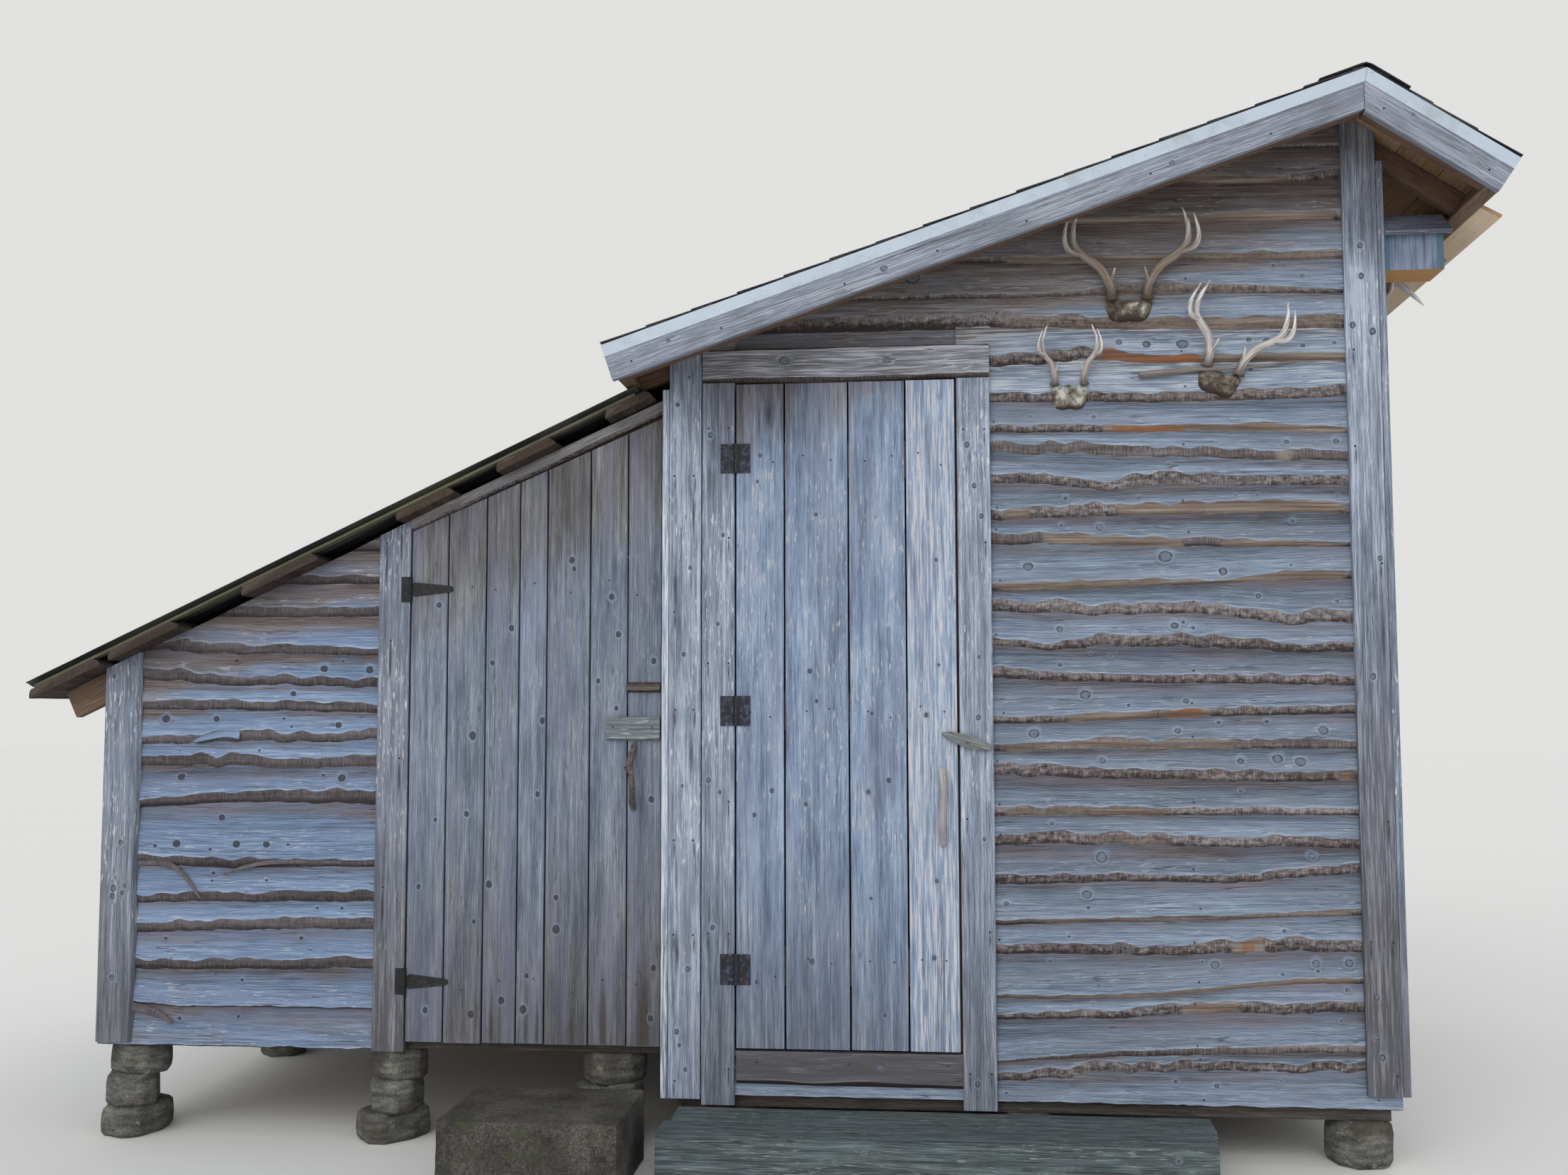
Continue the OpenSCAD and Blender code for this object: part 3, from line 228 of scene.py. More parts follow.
# Wood: "grain" runs along each board in metres. "tint" holds tone, bark, knot and stain, the second layer
# holds end grain, warmth, moss, and painted shade together with splash dirt (painted shade under an overlap,
# at a bark band's foot and close under the roof; splash dirt low down).
# A look holds three colours from dark to pale for silver wood, brown wood, bark and bare wood.
def woodPaint(name, **changes):
    material, look = newPaint(name, dict(silverWood, **changes))
    grain = wire(0, "UVMap", uv_map="grain")
    tone, bark, knot, stain = painted("tint")
    ends, warm, moss, shadeAndSplash = painted("wearAndShade")
    streak = grainNoise(grain, 2.4, 92, detail=4, rough=0.7, twist=0.3)
    fine = grainNoise(grain, 9, 210, detail=2, rough=0.6)
    fibre = grainNoise(grain, 16, 430, detail=2)
    blotch = grainNoise(grain, 4.5, 9, detail=4, rough=0.62)
    drift = grainNoise(grain, 1.6, 19, detail=5, rough=0.74)
    hue = grainNoise(grain, 1.1, 13, detail=2)
    rings = wire("Fac", "TexWave", {"Vector": stretched(grain, 1.3, 1.0), "Scale": look.rings,
        "Distortion": 7.0, "Detail": 2.0, "Detail Scale": 0.6, "Detail Roughness": 0.5}, bands_direction="Y")
    value = (sway(streak, look.streak) + 0.5) + (sway(fine, look.fine) + sway(fibre, 0.25))
    value = value + sway(tone, look.toneRange) + (sway(blotch, look.blotch) + sway(drift, look.drift))
    # the shade channel is painted shade under overlaps, at bark feet and close under the roof, with splash
    # dirt low down: it darkens and browns the wood
    value = value + sway(rings, look.ringStrength) - shadeAndSplash * look.shelterDark
    warmth = (warm + shadeAndSplash * 0.5) + (sway(blotch, 0.9) + sway(drift, 1.5)) + sway(tone, -0.3)
    warmth = stepUp(warmth, 0.1, 0.9) * look.warmth
    colour = blend(warmth, colourSteps(value, (0.3, 0.49, 0.68), look.cool),
        colourSteps(value, (0.3, 0.5, 0.7), look.brown))
    colour = blend(stepUp(hue, 0.46, 0.64) * look.lilacness, colour, look.lilac)
    # boards toned above 1 are bleached in fine streaks; the tone is raised above 1 as painted light on a bark
    # band's lip and on the rows under the roof
    bleachAndHighlight = stepUp(streak + sway(fine, 0.9), 0.46, 0.66) * stepUp(tone, 0.95, 1.7)
    colour = blend(bleachAndHighlight, colour, look.fleckColour)

    # pale flecks of raised grain and lichen
    fleck = stepUp(grainNoise(grain, 22, 150, detail=2), 0.59, 0.66) * stepUp(blotch - shadeAndSplash * 0.4, 0.4,
        0.56)
    colour = blend(fleck * look.flecks, colour, look.fleckColour)
    # drying cracks along the grain
    crackLine = maths("ABSOLUTE", grainNoise(grain, 1.5, 42, detail=2, twist=0.25) - 0.5)
    crack = (1.0 - stepUp(crackLine, 0.0, 0.012)) * stepUp(blotch, 0.46, 0.6)
    crack = maths("MULTIPLY", crack, look.cracks, clamp=True)
    colour = blend(crack, colour, look.crackColour)

    # knots: the tint rises from 0 at a patch's rim to 1 at its middle
    knotEdge = knot + sway(blotch, 0.2)
    ripple = maths("SINE", knot * 60.0)
    halo = stepUp(knotEdge + ripple * 0.05, 0.14, 0.42) * ((1.0 - warmth) * 0.42)
    colour = blend(halo, colour, look.knotHalo)
    heart = knot + ripple * 0.03 + sway(grainNoise(grain, 105, 105, detail=3), 0.6)
    heart = colourSteps(heart, (0.47, 0.54, 0.62, 0.92, 0.99),
        (look.knotRim, look.knotRim, look.knot, look.knot, look.knotRim))
    colour = blend(stepUp(knotEdge, 0.41, 0.48) * 0.88, colour, heart)

    # bark left on the live edges: fine marks across it, rough and mottled where the tint is strong,
    # worn to bare orange wood where it is stained
    across = grainNoise(grain, 240, 26, detail=3, rough=0.6)
    mottle = grainNoise(grain, 46, 70, detail=4, rough=0.7)
    rough = stepUp(bark, 0.72, 0.9)
    barkValue = (sway(across, 0.55) + 0.53) + sway(mottle, 0.8) * (0.4 + rough)
    # painted shadow: the bark darkens towards its band's foot
    barkValue = barkValue - shadeAndSplash * 0.42 + sway(drift, 0.8)
    barkColour = colourSteps(barkValue, (0.3, 0.5, 0.72), look.barks)
    bare = stain + sway(mottle, 0.35) + sway(hue, 0.5)
    tan = colourSteps(streak - shadeAndSplash * 0.15, (0.36, 0.5, 0.64), look.bare)
    barkColour = blend(stepUp(bare, 0.12, 0.4), barkColour, tan)
    orange = colourSteps(streak, (0.36, 0.58), (look.bare[0], look.bareOrange))
    barkColour = blend(stepUp(bare, 0.66, 0.9), barkColour, orange)
    barkFactor = stepUp(bark + sway(mottle, 0.25), 0.2, 0.3)
    colour = blend(barkFactor, colour, barkColour)

    colour = blend(ends, colour, blend(grainNoise(grain, 160, 160, detail=3), *look.cutEnds))
    stained = stain + (sway(streak, 1.2) + sway(mottle, 0.3))
    stained = stepUp(stained, 0.25, 0.95) * stepUp(stain, 0.0, 0.25) * (1.0 - barkFactor)
    colour = blend(stained * 0.8, colour, look.stain)
    mossy = stepUp(moss * (blotch + 0.5), 0.35, 0.75)
    colour = blend(mossy * 0.45, colour, look.moss)

    height = (fine * 0.5 + streak * 0.6) - crack * 1.1 + barkFactor * (across + mottle)
    height = height - stepUp(knot, 0.42, 0.55) * 0.3
    return finishPaint(material, colour, look.roughness, height, look.bump, 0.003, specular=look.shine)


silverWood = {"cool": ((76, 84, 97), (111, 124, 141), (148, 163, 184)),
    "brown": ((76, 64, 60), (110, 100, 96), (146, 139, 136)), "streak": 0.5, "fine": 0.35, "drift": 0.3,
    "toneRange": 0.12, "blotch": 0.16, "rings": 42.0, "ringStrength": 0.07, "shelterDark": 0.12,
    "warmth": 0.9, "lilac": (132, 130, 146), "lilacness": 0.25, "flecks": 0.4, "fleckColour": (180, 186, 194),
    "cracks": 0.7, "crackColour": (50, 48, 52), "knotHalo": (146, 160, 178), "knotRim": (64, 65, 74),
    "knot": (106, 114, 127), "barks": ((60, 52, 53), (106, 98, 98), (154, 148, 150)),
    "bare": ((96, 82, 74), (128, 115, 106), (154, 146, 140)), "bareOrange": (146, 96, 66),
    "cutEnds": ((70, 66, 66), (128, 124, 120)), "stain": (52, 50, 54), "moss": (78, 84, 66),
    "roughness": 0.88, "shine": 0.2, "bump": 0.55, }
oldSiding = woodPaint("old_siding_wood")
leanSiding = woodPaint("lean_to_siding_wood", cool=((80, 91, 111), (112, 131, 159), (148, 168, 197)),
    flecks=0.6, toneRange=0.12, lilac=(126, 134, 158), lilacness=0.25, warmth=0.95, shelterDark=0.1,
    knotRim=(50, 49, 56), knot=(58, 56, 63), knotHalo=(130, 145, 168),
    barks=((54, 48, 50), (86, 80, 82), (120, 114, 118)), bare=((84, 66, 58), (108, 92, 84), (134, 122, 114)))
greyTrim = woodPaint("grey_trim_wood", cool=((88, 94, 104), (128, 138, 155), (176, 186, 204)), warmth=0.8,
    streak=0.76, drift=0.66, brown=((84, 80, 80), (118, 118, 122), (160, 160, 166)), cracks=0.5, blotch=0.42,
    shelterDark=0.16, flecks=0.8, fleckColour=(210, 211, 217), knotRim=(62, 62, 72))
plankWood = woodPaint("door_plank_wood", cool=((92, 102, 120), (126, 143, 167), (162, 178, 200)), blotch=0.4,
    toneRange=0.12, drift=0.85, streak=0.64, brown=((88, 84, 88), (122, 121, 128), (158, 158, 164)),
    warmth=0.9, flecks=0.6, cracks=0.45, ringStrength=0.03, lilac=(138, 140, 162), lilacness=0.3,
    fleckColour=(210, 204, 204), knotRim=(66, 68, 82), knot=(84, 86, 100), knotHalo=(124, 130, 148))
leanPlank = woodPaint("lean_to_plank_wood", cool=((84, 90, 102), (115, 124, 140), (146, 158, 178)),
    blotch=0.36, toneRange=0.12, drift=0.7, streak=0.58,
    brown=((82, 78, 76), (112, 112, 112), (146, 146, 148)), warmth=0.9, flecks=0.3, cracks=0.5,
    lilac=(128, 128, 150), lilacness=0.35, knotRim=(50, 50, 58), knot=(62, 62, 70), stain=(66, 58, 54))
newWood = woodPaint("new_wood", cool=((126, 98, 70), (154, 126, 98), (180, 154, 126)), toneRange=0.12,
    lilacness=0.0, brown=((108, 78, 56), (142, 110, 82), (170, 142, 112)), flecks=0.0, cracks=0.25,
    knot=(120, 86, 52), knotRim=(84, 58, 38), knotHalo=(140, 112, 74),
    cutEnds=((110, 86, 56), (160, 138, 98)), barks=((60, 44, 34), (92, 72, 54), (126, 104, 82)))
# tan new wood, its colours raised near white: painted light from below on its underside
panelWoodLitBelow = woodPaint("eave_panel_wood_painted_light", cool=((224, 196, 166), (238, 212, 182), (246, 226, 200)),
    toneRange=0.1, lilacness=0.0, flecks=0.0, brown=((214, 178, 144), (232, 202, 168), (242, 218, 190)),
    cracks=0.2, cutEnds=((150, 120, 88), (190, 160, 126)))
frameWood = woodPaint("frame_wood", cool=((90, 70, 58), (120, 98, 82), (146, 127, 110)), lilacness=0.0,
    brown=((74, 54, 44), (106, 82, 68), (134, 110, 94)), flecks=0.1, cracks=0.6, knot=(94, 68, 48),
    knotRim=(60, 44, 34), knotHalo=(112, 92, 70), cutEnds=((76, 62, 50), (120, 104, 84)),
    barks=((52, 42, 36), (82, 68, 58), (116, 104, 94)))
# very dark frame wood: painted shade under the walls' foot, with moss of its own
frameWoodPaintedShade = woodPaint("frame_wood_painted_shade", cool=((46, 42, 40), (70, 66, 62), (98, 94, 90)), lilacness=0.0,
    brown=((40, 34, 30), (62, 54, 46), (86, 78, 68)), flecks=0.1, moss=(62, 68, 48))
rakeWood = woodPaint("rake_wood", cool=((86, 87, 92), (128, 134, 145), (176, 184, 200)), blotch=0.34,
    drift=0.4, brown=((84, 70, 56), (122, 112, 100), (160, 150, 136)), warmth=0.9, cracks=0.8)
barkWood = woodPaint("bark_edge_wood", cool=((58, 50, 48), (88, 80, 78), (122, 116, 116)), lilacness=0.0,
    brown=((50, 40, 34), (82, 66, 56), (112, 96, 84)),
    barks=((36, 30, 28), (62, 52, 48), (92, 82, 78)), flecks=0.2, cutEnds=((42, 34, 30), (82, 69, 58)))
cleatWood = woodPaint("cleat_wood", cool=((82, 88, 92), (114, 122, 126), (152, 161, 167)), lilacness=0.0,
    drift=0.4, streak=0.7, brown=((76, 72, 66), (106, 103, 97), (138, 136, 130)), flecks=0.5)
timberWood = woodPaint("timber_wood", streak=0.8, fine=0.7,
    cool=((54, 62, 66), (84, 93, 97), (118, 130, 136)), cracks=1.0, lilacness=0.0,
    brown=((44, 42, 38), (68, 66, 60), (94, 92, 84)), moss=(72, 80, 66), bump=0.8)
peeledStick = woodPaint("peeled_stick_wood", cool=((108, 104, 106), (156, 154, 158), (196, 194, 194)),
    lilacness=0.0, blotch=0.3, brown=((92, 76, 66), (146, 126, 108), (186, 170, 152)), cracks=0.6)
stickWood = woodPaint("stick_wood", cool=((78, 72, 70), (116, 108, 104), (154, 148, 144)), lilacness=0.0,
    brown=((70, 56, 48), (108, 94, 84), (146, 132, 122)),
    barks=((44, 39, 38), (76, 69, 68), (112, 102, 98)), cracks=0.5, flecks=0.1)
stripWood = woodPaint("sheet_strip_wood", cool=((70, 69, 58), (98, 96, 80), (128, 126, 104)), lilacness=0.0,
    brown=((64, 58, 46), (92, 84, 66), (122, 114, 90)), flecks=0.1, cracks=0.4)
birdRoofWood = woodPaint("birdhouse_roof_wood", cool=((70, 74, 86), (104, 110, 126), (142, 151, 168)),
    warmth=0.3, streak=0.8, fine=0.6)

def shinglePaint():
    material, look = newPaint("granule_shingle", {
        "tones": ((26, 26, 29), (44, 44, 48), (82, 82, 86)), "dust": (96, 94, 88)})
    place = wire("Object", "TexCoord")
    tone = painted("tint")[0]
    grit = grainNoise(place, 620, 620, 620, detail=2)
    clump = grainNoise(place, 9, 9, 9, detail=4)
    value = (grit * 0.75 + clump * 0.25) + sway(tone, 0.18)
    colour = colourSteps(value, (0.36, 0.5, 0.68), look.tones)
    colour = blend(stepUp(clump, 0.5, 0.72) * 0.3, colour, look.dust)
    return finishPaint(material, colour, 0.93, grit, 0.6, 0.0015, specular=0.25)


def sheetPaint():
    material, look = newPaint("dusty_roof_sheet", {
        "tones": ((48, 50, 50), (72, 75, 74), (104, 108, 104)), "dust": (112, 112, 96), "rust": (92, 62, 42)})
    grain = wire(0, "UVMap", uv_map="grain")
    wash = grainNoise(grain, 1.6, 26, detail=5, rough=0.6)
    spots = grainNoise(grain, 30, 30, detail=4, rough=0.65)
    colour = colourSteps(wash, (0.3, 0.5, 0.72), look.tones)
    dust = stepUp(grainNoise(grain, 4, 9, detail=5), 0.42, 0.7) * 0.55
    colour = blend(dust, colour, look.dust)
    colour = blend(stepUp(spots, 0.66, 0.74) * 0.7, colour, look.rust)
    return finishPaint(material, colour, dust * 0.5 + 0.42, spots, 0.15, 0.001, metallic=0.35, specular=0.4)


def whiteEdgePaint():
    material, look = newPaint("white_drip_metal", {
        "white": (180, 193, 206), "grime": (142, 150, 152), "chip": (140, 140, 136)})
    place = wire("Object", "TexCoord")
    grime = grainNoise(place, 9, 9, 9, detail=6, rough=0.7)
    colour = blend(stepUp(grime, 0.42, 0.72) * 0.6, look.white, look.grime)
    colour = blend(stepUp(grainNoise(place, 60, 60, 90, detail=3), 0.68, 0.72), colour, look.chip)
    return finishPaint(material, colour, 0.42, grime, 0.06, 0.001, specular=0.5)


def ironPaint(name, look):
    material, look = newPaint(name, look)
    place = wire("Object", "TexCoord")
    scale = grainNoise(place, 90, 90, 90, detail=5, rough=0.65)
    patch = grainNoise(place, 28, 28, 18, detail=4)
    rusty = stepUp(patch, look.rustFrom, look.rustFrom + 0.16) * look.rustiness
    colour = blend(rusty, colourSteps(scale, (0.35, 0.52, 0.68), look.tones),
        colourSteps(scale, (0.4, 0.6), look.rusts))
    if hasattr(look, "pinAt"):
        sideways = wire(0, "SeparateXYZ", {0: place})
        # leaves left of this place belong to the black strap hinges
        left = maths("LESS_THAN", sideways, look.leftOf)
        colour = blend(left, colour, colourSteps(scale, (0.35, 0.62), look.blacks))
        # painted shade in the creases beside the knuckles and a painted highlight along them
        away = maths("ABSOLUTE", sideways - look.pinAt)
        seam = stepUp(away, 0.0035, 0.005) * (1.0 - stepUp(away, 0.008, 0.011))
        colour = blend(seam, colour, look.seam)
        # painted highlight along the knuckle
        colour = blend((1.0 - stepUp(away, 0.0015, 0.003)) * 0.6, colour, look.tones[2])
    return finishPaint(material, colour, rusty * 0.3 + look.roughness, scale, 0.5, 0.0008,
        metallic=look.metal, specular=0.4)


rustyIron = ironPaint("rusty_iron", {"tones": ((18, 19, 26), (36, 39, 52), (74, 82, 100)), "pinAt": 0.0,
    "seam": (16, 15, 17), "rusts": ((48, 38, 38), (84, 62, 54)), "rustFrom": 0.54, "rustiness": 0.55,
    "roughness": 0.6, "metal": 0.2, "leftOf": -0.6, "blacks": ((14, 14, 17), (32, 34, 39))})
blackIron = ironPaint("black_iron", {"tones": ((15, 15, 18), (24, 25, 29), (44, 46, 52)),
    "rusts": ((46, 34, 30), (84, 56, 42)), "rustFrom": 0.58, "rustiness": 0.5, "roughness": 0.62,
    "metal": 0.1})
greyScrew = ironPaint("grey_screw", {"tones": ((70, 72, 76), (104, 106, 110), (146, 148, 152)),
    "rusts": ((80, 58, 44), (116, 82, 58)), "rustFrom": 0.56, "rustiness": 0.5, "roughness": 0.38,
    "metal": 0.7})
nailIron = ironPaint("nail_iron", {"tones": ((30, 28, 30), (46, 43, 44), (72, 68, 68)),
    "rusts": ((52, 42, 38), (84, 62, 50)), "rustFrom": 0.55, "rustiness": 0.5, "roughness": 0.65,
    "metal": 0.15})

def bonePaint():
    material, look = newPaint("antler_bone", {
        "burr": (62, 50, 44), "tan": (132, 114, 100), "bone": (204, 199, 194), "tip": (234, 232, 232),
        "grime": (116, 108, 94), "plate": (186, 188, 182), "groove": (96, 78, 62)})
    grain = wire(0, "UVMap", uv_map="grain")
    bleached, rise, plate, plateFoot = painted("tint")
    groove = grainNoise(grain, 9, 190, detail=4, rough=0.6)
    patch = grainNoise(grain, 14, 30, detail=4)
    base = blend(bleached, look.tan, look.bone)
    base = blend(stepUp(rise, 0.55, 1.0), base, look.tip)
    base = blend(stepUp(groove, 0.56, 0.4) * 0.6, base, look.groove)
    lowBurr = 1.0 - stepUp(rise + patch * 0.2, 0.12, 0.34)
    base = blend(lowBurr * 0.7, base, look.burr)
    plateValue = grainNoise(grain, 34, 30, detail=5, rough=0.7) + sway(bleached, 0.28) - plateFoot * 0.26
    base = blend(plate, base, colourSteps(plateValue, (0.34, 0.5, 0.66), (look.burr, look.grime, look.plate)))
    return finishPaint(material, base, 0.62, groove, 0.45, 0.002, specular=0.35)


def stonePaint():
    material, look = newPaint("field_stone", {"tones": ((58, 58, 56), (92, 92, 88), (134, 130, 122)),
        "lichen": (150, 156, 138), "soil": (66, 56, 46)})
    place = wire("Object", "TexCoord")
    grit = grainNoise(place, 160, 160, 160, detail=4, rough=0.65)
    bed = grainNoise(place, 14, 14, 60, detail=5, rough=0.6)
    value = grit * 0.4 + bed * 0.6
    colour = colourSteps(value, (0.36, 0.5, 0.66), look.tones)
    lichen = stepUp(grainNoise(place, 24, 24, 24, detail=5, rough=0.7), 0.6, 0.68)
    colour = blend(lichen * 0.6, colour, look.lichen)
    soil = stepUp(grainNoise(place, 7, 7, 7, detail=3), 0.5, 0.66)
    colour = blend(soil * 0.6, colour, look.soil)
    return finishPaint(material, colour, 0.92, value, 0.8, 0.006, specular=0.25)


def concretePaint():
    material, look = newPaint("old_concrete", {
        "tones": ((48, 45, 43), (72, 69, 66), (104, 100, 94)), "pit": (30, 28, 27), "moss": (64, 68, 48)})
    place = wire("Object", "TexCoord")
    grit = grainNoise(place, 240, 240, 240, detail=3, rough=0.6)
    damp = grainNoise(place, 7, 7, 7, detail=5, rough=0.6)
    coarse = grainNoise(place, 60, 60, 60, detail=5, rough=0.75)
    value = (grit + coarse) * 0.3 + damp * 0.4
    colour = colourSteps(value, (0.4, 0.5, 0.61), look.tones)
    pits = wire("Distance", "TexVoronoi", {"Vector": place, "Scale": 95.0})
    pit = (1.0 - stepUp(pits, 0.1, 0.26)) * stepUp(damp, 0.45, 0.6)
    colour = blend(pit * 0.8, colour, look.pit)
    green = stepUp(grainNoise(place, 11, 11, 16, detail=4), 0.56, 0.7)
    colour = blend(green * 0.5, colour, look.moss)
    return finishPaint(material, colour, 0.93, value - pit * 0.7, 0.7, 0.004, specular=0.2)


def birdBoxPaint():
    # the box has no grain of its own: its wood runs upwards
    material, look = newPaint("birdhouse_box_wood", {
        "tones": ((70, 80, 94), (118, 131, 154), (162, 174, 198)), "warm": (112, 98, 104),
        "under": (178, 136, 88), "strip": (84, 114, 130), "middle": 1.9995, "half": 0.066})
    place = wire("Object", "TexCoord")
    streak = grainNoise(place, 62, 62, 2.4, detail=5, rough=0.6)
    fibre = grainNoise(place, 480, 480, 11, detail=2)
    blotch = grainNoise(place, 9, 9, 9, detail=4)
    value = (streak * 0.6 + fibre * 0.4) + sway(blotch, 0.3)
    colour = colourSteps(value, (0.3, 0.48, 0.7), look.tones)
    colour = blend(stepUp(blotch, 0.5, 0.7) * 0.5, colour, look.warm)
    # its sides' ends show as teal strips, and its underside is paler: tan wood brightened as painted light
    # from below
    away = maths("ABSOLUTE", wire(0, "SeparateXYZ", {0: place}) - look.middle)
    colour = blend(maths("GREATER_THAN", away, look.half) * 0.8, colour, look.strip)
    facing = wire(2, "SeparateXYZ", {0: wire("Normal", "NewGeometry")})
    colour = blend(maths("LESS_THAN", facing, -0.7), colour, look.under)
    return finishPaint(material, colour, 0.86, value, 0.5, 0.002, specular=0.2)


shingleMatter, sheetMatter, whiteEdge = shinglePaint(), sheetPaint(), whiteEdgePaint()
bone, stoneMatter, concrete, birdBox = bonePaint(), stonePaint(), concretePaint(), birdBoxPaint()
print("shed: materials mixed")


# Mesh building. A pile gathers the points and faces of one piece.
draws = random.Random()


def newPile():
    return SimpleNamespace(verts=[], faces=[], grain=[], tint=[], wearAndShade=[])


def addPoint(pile, point, grain, tint=(0.5, 0, 0, 0), wearAndShade=(0, 0, 0, 0)):
    pile.verts.append(point)
    pile.grain.append(grain)
    pile.tint.append(tint)
    pile.wearAndShade.append(wearAndShade)
    return len(pile.verts) - 1


def addFace(pile, corners, flip=False):
    pile.faces.append(tuple(reversed(corners)) if flip else tuple(corners))


def joinRows(pile, first, count, wide, flip=False):
    # rows of "wide" points each; a face looks along row direction x step direction
    for i in range(count - 1):
        for a in range(first + i * wide, first + (i + 1) * wide - 1):
            addFace(pile, (a, a + wide, a + wide + 1, a + 1), flip)


def joinRings(pile, first, count, sides, turned=False):
    # closed rings of points, each beside the one before
    for a in range(first, first + (count - 1) * sides, sides):
        for k in range(sides):
            m = (k + 1) % sides
            addFace(pile, (a + k, a + sides + k, a + sides + m, a + m) if turned
                else (a + k, a + m, a + sides + m, a + sides + k))


def circle(sides):
    return [2 * math.pi * k / sides for k in range(sides)]


def makePiece(name, pile, material, slotName, *nodes, body="building", sharp=34):
    verts = (np.array(pile.verts, dtype=float).reshape(-1, 3) - np.array([originX, originY, 0.0])) / 1000.0
    mesh = bpy.data.meshes.new(name)
    mesh.from_pydata(verts.tolist(), [], pile.faces)
    corners = np.empty(len(mesh.loops), dtype=np.int32)
    mesh.loops.foreach_get("vertex_index", corners)
    grain = mesh.uv_layers.new(name="grain")
    grain.data.foreach_set("uv", np.array(pile.grain, dtype=np.float32)[corners].ravel())
    for key, colours in (("tint", pile.tint), ("wearAndShade", pile.wearAndShade)):
        layer = mesh.attributes.new(key, "FLOAT_COLOR", "POINT")
        layer.data.foreach_set("color", np.array(colours, dtype=np.float32).ravel())
    mesh.materials.append(material)
    mesh.polygons.foreach_set("use_smooth", [True] * len(mesh.polygons))
    mesh.update()
    mesh.set_sharp_from_angle(angle=math.radians(sharp))
    piece = bpy.data.objects.new(name, mesh)
    bpy.context.scene.collection.objects.link(piece)
    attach(piece, body)
    if nodes:
        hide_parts(*nodes)
    print("shed:", name, len(mesh.polygons), "faces")


def repaint(material, *nodes):
    for node in nodes:
        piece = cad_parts[node]
        piece.data.materials.clear()
        piece.data.materials.append(material)


def edgeLook(wave, band, bark=0.0):
    return {"wave": wave, "band": band, "bark": bark}


sawnEdge = edgeLook(0.25, 1.8)


# A board from start to end. "across" points to its high edge, and its face looks along
# (end - start) x across. The two places are the middle of the face.
def addBoard(pile, start, end, across, width, thick, low=sawnEdge, high=sawnEdge, step=45, tone=None,
        warm=0.0, skew=(0.0, 0.0), moss=0.0, ends=0.9, splash=0.0, splashTop=1000.0, lee=0.0):
    start, end, across = Vector(start), Vector(end), Vector(across).normalized()
    along = end - start
    length = along.length
    along.normalize()
    out = along.cross(across)
    tone = draws.random() if tone is None else tone
    offU, offV, seed = draws.random() * 40, draws.random() * 40, draws.random() * 900
    count = max(2, int(length / step) + 1)
    first = len(pile.verts)
    half = width / 2

    def edgePoints(edge, u, side):
        wave = edge["wave"] * (wobble(u / 260, seed, side * 9) * 1.2 + 0.45 * wobble(u / 70, seed, side * 5))
        at = half + wave
        band = edge["band"]
        if band < 4:
            return [(at - band, 0.0, 0.0), (at, -band, 0.0), (at, -thick + band, 0.0),
                (at - band, -thick, 0.0)]
        band *= 1 + 0.45 * wobble(u / 150, seed + 3, side * 3)
        knob = 1.5 * wobble(u / 28, seed, side * 7)
        b = edge["bark"]
        return [(at - band, 0.0, b * 0.12), (at - band * 0.62 + knob, -thick * 0.2, b),
            (at - band * 0.22, -thick * 0.52 + knob, b), (at, -thick * 0.86, b), (at - 1.5, -thick, b * 0.6)]

    def footSplashAndRoofShadeAt(point):
        # 1 where the foot is splashed with dirt, and painted shade rising close under the roof; the same
        # setting browns the wood there
        wet = splash * clamp((splashTop - point.z) / (splashTop * 0.7))
        return max(wet, lee * underRoof(point.x, point.z))

    for i in range(count):
        t = i / (count - 1)
        u = length * t
        lowSide = [(-w, n, b) for w, n, b in edgePoints(low, u, -1)]
        ring = [lowSide[0]] + edgePoints(high, u, 1) + lowSide[:0:-1] + [lowSide[0]]
        # the grain's place runs on round the edges
        v, last = 0.0, ring[0]
        wide = len(ring)
        for w, n, b in ring:
            v += math.hypot(w - last[0], n - last[1])
            last = (w, n)
            shift = (skew[0] * (1 - t) + skew[1] * t) * w
            point = start + along * (u + shift) + across * w + out * n
            addPoint(pile, point, ((u + shift) / 1000 + offU, v / 1000 + offV), (tone, b, 0, 0),
                     (0, warm + lee * 0.5 * underRoof(point.x, point.z), moss, footSplashAndRoofShadeAt(point)))
    joinRows(pile, first, count, wide)
    for row, flip in ((0, False), (count - 1, True)):
        cap = []
        for source in range(first + row * wide, first + (row + 1) * wide - 1):
            place = pile.verts[source]
            w, n = (place - start).dot(across), (place - start).dot(out)
            cap.append(addPoint(pile, place, (w / 1000 + offU, n / 1000 + offV),
                (tone, pile.tint[source][1] * 0.5, 0, 0), (ends, warm, moss, 0)))
        addFace(pile, cap, flip)
    return SimpleNamespace(start=start, along=along, across=across, out=out, length=length, tone=tone,
        warm=warm, offU=offU, offV=offV, half=half, moss=moss, footSplashAndRoofShade=footSplashAndRoofShadeAt, skew=skew)


def boardSpot(board, u, w):
    # a place on a board's flat face, w from its middle, and its grain; a place past its edge comes back to it
    w = max(2.2 - board.half, min(board.half - 2.2, w))
    u = max(2.0 + board.skew[0] * w, min(board.length - 2.0 + board.skew[1] * w, u))
    v = w + board.half - 1.8
    return board.start + board.along * u + board.across * w, (u / 1000 + board.offU, v / 1000 + board.offV)


